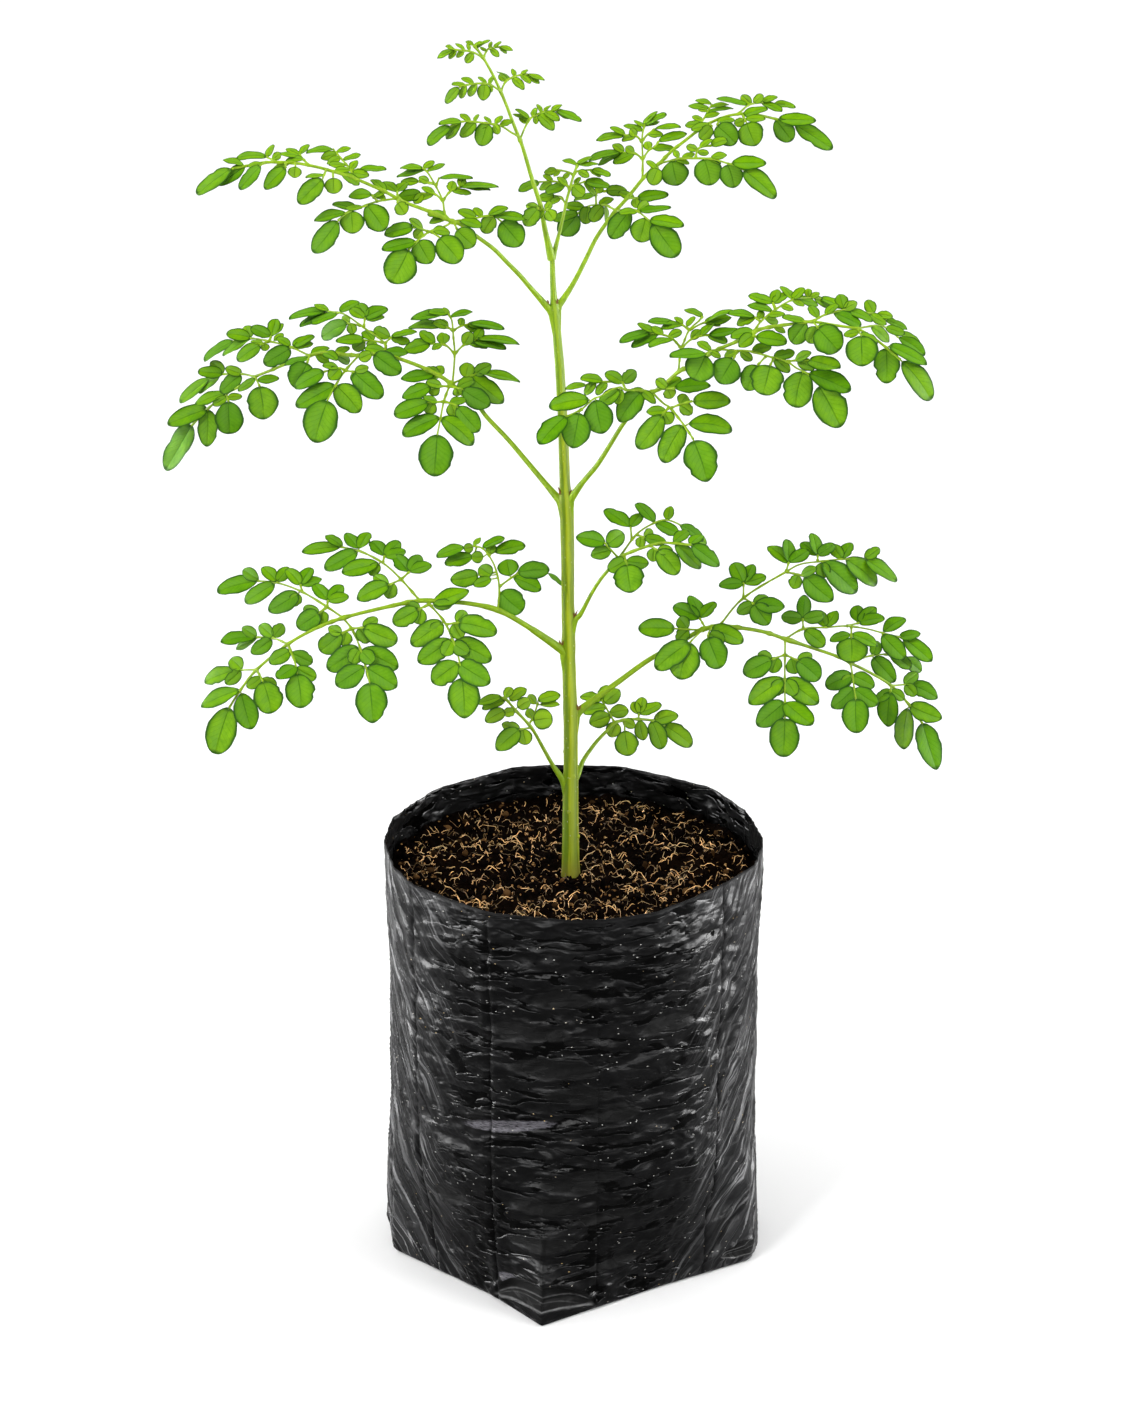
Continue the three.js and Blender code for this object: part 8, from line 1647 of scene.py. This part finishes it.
def film_material():
    """Glossy black film with fine crinkles and dust. Its colour also holds painted shade in dark strokes, hollows,
    pockets and creases, a painted sheen and painted highlight lines at the sides, rubbed patches with a painted
    reflection, and tiny painted glints.
    """
    material, g, shader = new_material("film")
    where = g.place()
    u, v, _ = g.parts(where)
    dust = g.noise(g.stretched(where, (1, 1.6, 1)), 6.0, 5.0, 0.6)
    colour = g.mix(g.ramp(dust, 0.35, 0.8), (0.0018, 0.0018, 0.0019), (0.0070, 0.0070, 0.0073))
    facing = g.math("COSINE", g.times(u, 2 * PI / PATTERN_ROUND))
    aside = g.times(g.ramp(g.size(facing), 0.55, 0.97), g.ramp(g.word("tone"), -0.6, -0.1))
    strand, ridge, line = side_strands(g, where, u, v, facing)
    # Painted shade: short dark strokes, wide and low, lie all over the front, as the dark valleys of the wrinkles
    shade_stroke = g.ramp(g.noise(g.stretched(where, (1, 3.6, 1), 0.06), 4.6, 2.5, 0.5, 0.9), 0.525, 0.575)
    shade_stroke = g.times(shade_stroke, g.ramp(aside, 0.0, 0.7, 1.0, 0.15))
    colour = g.mix(shade_stroke, colour, grey(0.0003))
    # Painted sheen: both sides are paler, as the grazing reflection of the film there
    side_sheen = g.mix(g.ramp(strand, 0.3, 0.7), (0.0024, 0.0024, 0.0026), (0.031, 0.031, 0.032))
    colour = g.mix(aside, colour, side_sheen)
    # Painted highlights: thin bright lines along the strands at the sides
    colour = g.mix(g.times(line, aside), colour, (0.30, 0.30, 0.305))
    # Rubbed patches: pale, as a painted reflection of the glossy fold, and rougher
    scuff_and_reflection = rubbed_and_reflecting_patches(g, where, u, v)
    colour = g.mix(scuff_and_reflection, colour, (0.120, 0.115, 0.130))
    # Painted glints: tiny bright specks, golden in places, with a slight bump
    glint_flecks = painted_glint_flecks(g, where)
    golden = g.ramp(g.noise(where, 3.0), 0.5, 0.62)
    colour = g.mix(glint_flecks, colour, g.mix(golden, (0.42, 0.42, 0.40), (0.42, 0.29, 0.11)))
    # Painted shade: hollows, pockets, dents, the rim's top and creases are darker
    hollow = g.word("young")
    colour = g.mix(g.ramp(hollow, 0.15, 0.8), colour, grey(0.0006))
    colour = g.mix(g.word("tone"), colour, grey(0.0005))
    colour = pocket_shade_and_highlights(g, where, u, v, colour)
    gloss = g.noise(g.stretched(where, (1, 2, 1)), 22.0, 4.0)
    rough = g.plus(g.ramp(gloss, 0.25, 0.8, 0.28, 0.4), g.times(scuff_and_reflection, 0.25))
    rough = g.plus(rough, g.times(hollow, 0.6))
    rough = g.plus(rough, g.times(shade_stroke, -0.15))
    g.surface(shader, colour, rough, 0.02)
    g.fill(shader, {"Sheen Weight": 0.025, "Sheen Roughness": 0.3})
    crinkle = g.noise(g.stretched(where, (1, 1.9, 1)), 7.0, 1.6, 0.5, 0.6)
    fine = g.noise(g.stretched(where, (1, 1.5, 1), 0.3), 20.0, 1.0, 0.5, 0.3)
    level = g.plus(crinkle, g.times(fine, 0.16))
    steep = g.plus(g.times(strand, 0.9), g.times(ridge, -0.8))
    height = g.plus(g.times(level, g.ramp(aside, 0.0, 1.0, 1.0, 0.25)), g.times(steep, aside))
    height = g.plus(height, g.times(glint_flecks, 0.03))
    height = g.minus(height, g.times(shade_stroke, 0.12))
    g.bump(shader, height, 0.75, 0.0026)
    return material


@cache
def soil_material():
    """Near black, with brown grains and a few straw coloured bits. The youngest crumbs are bark."""
    material, g, shader = new_material("soil")
    where = g.own()
    grain = g.noise(where, 260.0, 6.0, 0.7)
    patch = g.noise(where, 45.0, 4.0)
    colour = g.mix(g.ramp(grain, 0.35, 0.75), (0.0002, 0.0001, 0.0001), (0.0034, 0.0016, 0.0008))
    colour = g.mix(g.ramp(patch, 0.4, 0.75, 0.0, 0.4), colour, (0.0060, 0.0028, 0.0012))
    colour = g.mix(g.ramp(g.word("young"), 0.8, 1.0), colour, (0.10, 0.05, 0.018))
    distance, chance = g.cells(where, 520.0)
    bright = g.times(g.math("LESS_THAN", distance, 0.3), g.math("GREATER_THAN", chance, 0.86))
    colour = g.mix(bright, colour, (0.24, 0.13, 0.05))
    g.surface(shader, colour, g.ramp(grain, 0.2, 0.8, 0.75, 0.98), 0.002)
    g.bump(shader, g.plus(grain, g.times(distance, 0.4)), 0.9, 0.0009)
    return material


def fibre_material():
    """Coir from dark brown to golden, a little glossy."""
    material, g, shader = new_material("coir")
    tone = g.ramp(g.word("tone"), -0.35, 0.45)
    grain = g.noise(g.own(), 420.0, 3.0)
    colour = g.mix(g.math("POWER", tone, 2.7), (0.006, 0.0026, 0.0009), (1.0, 0.60, 0.24))
    colour = g.mix(g.ramp(grain, 0.45, 0.75, 0.0, 0.7), colour, (0.035, 0.014, 0.005))
    colour = g.mix(g.ramp(g.word("young"), 0.82, 1.0, 0.0, 0.8), colour, (0.85, 0.62, 0.30))
    g.surface(shader, colour, g.ramp(grain, 0.2, 0.8, 0.26, 0.48), 0.6)
    g.put(shader.inputs["Specular Tint"], (1.0, 0.62, 0.25))
    g.bump(shader, grain, 0.5, 0.0003)
    return material


def stem_material():
    """Green bark: yellowish ribs, darker green furrows, pale pores, brownish at the soil."""
    material, g, shader = new_material("stem")
    where = g.place()
    around, up, _ = g.parts(where)
    sway = g.noise(g.stretched(where, (1, 0.25, 1)), 1.2, 3.0)
    wave = g.math("SINE", g.plus(g.times(around, 5.0), g.times(sway, 5.0)))
    streak = g.noise(g.stretched(g.own(), (1, 1, 0.06)), 900.0, 4.0, 0.6)
    light = g.ramp(g.plus(g.times(wave, 0.35), streak), 0.2, 0.95)
    colour = g.mix(light, (0.120, 0.196, 0.0008), (0.345, 0.410, 0.008))
    band = g.math("SINE", g.plus(g.times(around, 2.0), g.times(sway, 1.2)))
    colour = g.mix(g.ramp(band, -0.2, 0.9, 0.0, 0.6), colour, (0.100, 0.180, 0.0006))
    colour = g.mix(g.ramp(band, -0.45, -0.95, 0.0, 0.5), colour, (0.330, 0.430, 0.050))
    colour = g.mix(g.ramp(up, 20.6, 19.2, 0.0, 0.6), colour, (0.16, 0.11, 0.02))
    colour = g.mix(g.ramp(up, 38.0, 48.0, 0.0, 0.5), colour, (0.20, 0.38, 0.015))
    distance, chance = g.cells(g.stretched(where, (1.0, 0.8, 1)), 3.4)
    dot = g.times(g.ramp(distance, 0.09, 0.16, 1.0, 0.0), g.math("GREATER_THAN", chance, 0.62))
    colour = g.mix(g.times(dot, 0.8), colour, (0.52, 0.50, 0.22))
    rust = g.ramp(g.noise(g.own(), 190.0, 5.0, 0.7), 0.62, 0.8, 0.0, 0.5)
    colour = g.mix(rust, colour, (0.20, 0.13, 0.03))
    g.surface(shader, colour, g.ramp(streak, 0.2, 0.8, 0.36, 0.58), 0.02)
    height = g.plus(g.times(streak, 0.6), g.times(dot, 0.7))
    g.bump(shader, height, 0.5, 0.0005)
    return material


def scale_material():
    """Scales that turn from brown at the foot to dark red at the tip."""
    material, g, shader = new_material("bud_scale")
    along, _, _ = g.parts(g.place())
    grain = g.noise(g.own(), 700.0, 3.0)
    colour = g.mix(g.ramp(along, 0.5, 4.5), (0.16, 0.11, 0.02), (0.13, 0.022, 0.008))
    colour = g.mix(g.ramp(grain, 0.4, 0.8, 0.0, 0.5), colour, (0.24, 0.07, 0.02))
    g.surface(shader, colour, g.ramp(grain, 0.2, 0.8, 0.4, 0.65), 0.02)
    g.bump(shader, grain, 0.4, 0.0003)
    return material


@cache
def stalk_material():
    """Stalks, yellower where they are young."""
    material, g, shader = new_material("leaf_stalk")
    grain = g.noise(g.stretched(g.own(), (1, 1, 0.3)), 500.0, 4.0)
    colour = g.mix(g.ramp(g.word("young"), 0.1, 1.0), (0.190, 0.300, 0.006), (0.270, 0.430, 0.015))
    colour = g.mix(g.ramp(grain, 0.35, 0.8, 0.0, 0.6), colour, (0.100, 0.210, 0.004))
    g.surface(shader, colour, g.ramp(grain, 0.2, 0.8, 0.42, 0.6), 0.02)
    g.bump(shader, grain, 0.4, 0.0003)
    return material


@cache
def leaf_material():
    """Leaflet: mottled blade with darker midrib, side veins and rim, and a painted sheen on one half. Young ones are
    yellower.
    """
    material, g, shader = new_material("leaf")
    u, w, _ = g.parts(g.place())
    side = g.times(g.minus(w, 0.5), 2.0)
    out = g.size(side)
    blotch = g.noise(g.own(), 240.0, 5.0, 0.6)
    fine = g.noise(g.own(), 1500.0, 3.0, 0.6)
    tone = g.ramp(g.word("tone"), -1, 1)
    colour = g.mix(tone, (0.104, 0.286, 0.0008), (0.174, 0.372, 0.0011))
    colour = g.mix(g.ramp(g.word("tone"), -0.6, -1.9), colour, (0.072, 0.215, 0.0050))
    colour = g.mix(g.ramp(blotch, 0.3, 0.75, 0.0, 0.55), colour, (0.050, 0.188, 0.0006))
    colour = g.mix(g.ramp(g.word("young"), 0.15, 0.9), colour, (0.255, 0.440, 0.007))
    # Painted sheen: one half of the blade is paler, strongest beside the midrib, as the light on that half of the
    # fold
    half_sheen = g.times(g.ramp(side, 0.02, 0.12), g.ramp(side, 0.95, 0.3))
    colour = g.mix(g.times(half_sheen, g.ramp(blotch, 0.2, 0.8, 0.2, 0.6)), colour, (0.118, 0.275, 0.030))
    # Side veins run outwards and forwards
    slant = g.minus(g.times(u, 8.5), g.times(out, 2.4))
    wobble = g.plus(slant, g.times(g.minus(blotch, 0.5), 0.9))
    beat = g.size(g.minus(g.math("FRACT", wobble), 0.5))
    vein = g.times(g.ramp(beat, 0.0, 0.085, 1.0, 0.0), g.ramp(out, 0.96, 0.7, 0.0, 1.0))
    colour = g.mix(g.times(vein, 0.35), colour, (0.032, 0.135, 0.004))
    colour = g.mix(g.times(g.ramp(beat, 0.3, 0.5), 0.2), colour, (0.120, 0.320, 0.010))
    rib = g.ramp(out, 0.02, 0.06, 1.0, 0.0)
    colour = g.mix(g.times(rib, g.ramp(u, 0.95, 0.45, 0.1, 0.7)), colour, (0.026, 0.115, 0.004))
    colour = g.mix(g.times(g.ramp(u, 0.12, 0.0), 0.6), colour, (0.030, 0.120, 0.005))
    colour = g.mix(g.ramp(out, 0.55, 0.95, 0.0, 0.55), colour, (0.030, 0.125, 0.002))
    for place, low, high in ((out, 0.78, 0.92), (u, 0.89, 0.965)):
        colour = g.mix(g.ramp(place, low, high, 0.0, 0.9), colour, (0.012, 0.056, 0.003))
    colour = g.mix(g.ramp(u, 0.11, 0.03, 0.0, 0.8), colour, (0.014, 0.064, 0.003))
    colour = g.mix(g.ramp(fine, 0.35, 0.8, 0.0, 0.1), colour, (0.130, 0.330, 0.008))
    g.surface(shader, colour, g.plus(g.ramp(blotch, 0.2, 0.8, 0.44, 0.6), g.times(fine, 0.06)), 0.012)
    g.bump(shader, g.minus(g.minus(g.times(fine, 0.25), g.times(vein, 0.8)), rib), 0.45, 0.00035)
    return material


def floor_material():
    material, g, shader = new_material("floor")
    grain = g.noise(g.own(), 4.0, 3.0)
    g.surface(shader, g.mix(grain, grey(0.868), grey(0.882)), 0.9, 0.0)
    return material


# Assembly

def add_to(thing, slot_name, *nodes):
    """Fixes a piece to the body, and lets it stand for the nodes of the solid part."""
    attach(thing, "root")
    if nodes:
        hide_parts(*nodes)


add_to(bag_piece(), "film", "bag")
add_to(soil_piece(), "soil", "soil")
add_to(fibre_piece(), "soil")
add_to(crumb_piece(), "soil")
add_to(stem_piece(), "stem", "main_stem")
for number, frond in enumerate(FRONDS):
    add_to(frond_piece(frond, random.Random(FROND_SEED + number)), "leaf", frond["name"])


# Studio

def make_floor():
    """The near-white floor, in metres."""
    mesh = bpy.data.meshes.new("floor")
    side, steps = 12.0, 24
    marks = [side * (k / steps - 0.5) for k in range(steps + 1)]
    n = steps + 1
    mesh.from_pydata([(x, y, 0.0) for y in marks for x in marks], [],
                     [(j * n + i, j * n + i + 1, (j + 1) * n + i + 1, (j + 1) * n + i)
                      for j in range(steps) for i in range(steps)])
    mesh.materials.append(floor_material())
    thing = bpy.data.objects.new("floor", mesh)
    bpy.context.scene.collection.objects.link(thing)


def make_lamp(name, place, aim, size, power, glint=False):
    """A soft panel. A glint panel shows in gloss alone and lights nothing else."""
    data = bpy.data.lights.new(name, "AREA")
    data.shape, data.size, data.size_y, data.energy = "RECTANGLE", size[0], size[1], power
    lamp = bpy.data.objects.new(name, data)
    way = np.array(aim) - np.array(place)
    lamp.location = place
    lamp.rotation_mode = "XYZ"
    flat = math.hypot(way[0], way[1])
    lamp.rotation_euler = (math.atan2(flat, -way[2]), 0, math.atan2(-way[0], way[1]))
    lamp.visible_diffuse = not glint
    bpy.context.scene.collection.objects.link(lamp)


def make_world():
    """A dark studio behind the viewer, bright walls and ceiling elsewhere."""
    world = bpy.data.worlds.new("studio")
    bpy.context.scene.world = world
    world.use_nodes = True
    g = Graph(world.node_tree)
    _, y, z = g.parts(g.nodes.new("ShaderNodeTexCoord").outputs["Generated"])
    light = g.most(g.ramp(y, -0.72, 0.1, 0.04, 1.4), g.ramp(z, 0.55, 0.85, 0.0, 1.4))
    g.fill(g.nodes["Background"], {"Strength": light, "Color": grey(1)})


make_floor()
make_world()
make_lamp("key", (-1.5, -1.9, 2.3), (0, 0, 0.3), (0.9, 0.9), 56)
make_lamp("fill", (1.9, -1.2, 1.5), (0, 0, 0.3), (0.7, 1.2), 24)
for k, degrees in enumerate((-64, -22, 22, 64)):
    east, south = 2.2 * math.sin(math.radians(degrees)), 2.2 * math.cos(math.radians(degrees))
    make_lamp(f"low_glint_{k}", (east, -south, 0.42), (0, 0, 0.1), (1.5, 0.5), 125, glint=True)
make_lamp("front_glint", (-0.9, -2.0, 1.3), (0, 0, 0.1), (1.2, 0.8), 270, glint=True)
make_lamp("left_glint", (-1.5, 0.1, 0.4), (0, 0, 0.1), (1.1, 1.1), 520, glint=True)
make_lamp("right_glint", (1.5, 0.1, 0.4), (0, 0, 0.1), (1.1, 1.1), 520, glint=True)
bpy.context.scene.view_settings.view_transform = "Standard"

camera = bpy.data.cameras.new("camera")
camera.sensor_fit, camera.sensor_width = "AUTO", SENSOR
camera.lens = FOCAL_PIXELS * SENSOR / FRAME_HEIGHT
camera.clip_end = 100
view = bpy.data.objects.new("camera", camera)
view.location = VIEWER * MM
view.rotation_mode = "XYZ"
view.rotation_euler = (math.radians(90 - PITCH_DEG), 0, math.radians(YAW_DEG))
bpy.context.scene.collection.objects.link(view)
bpy.context.scene.camera = view
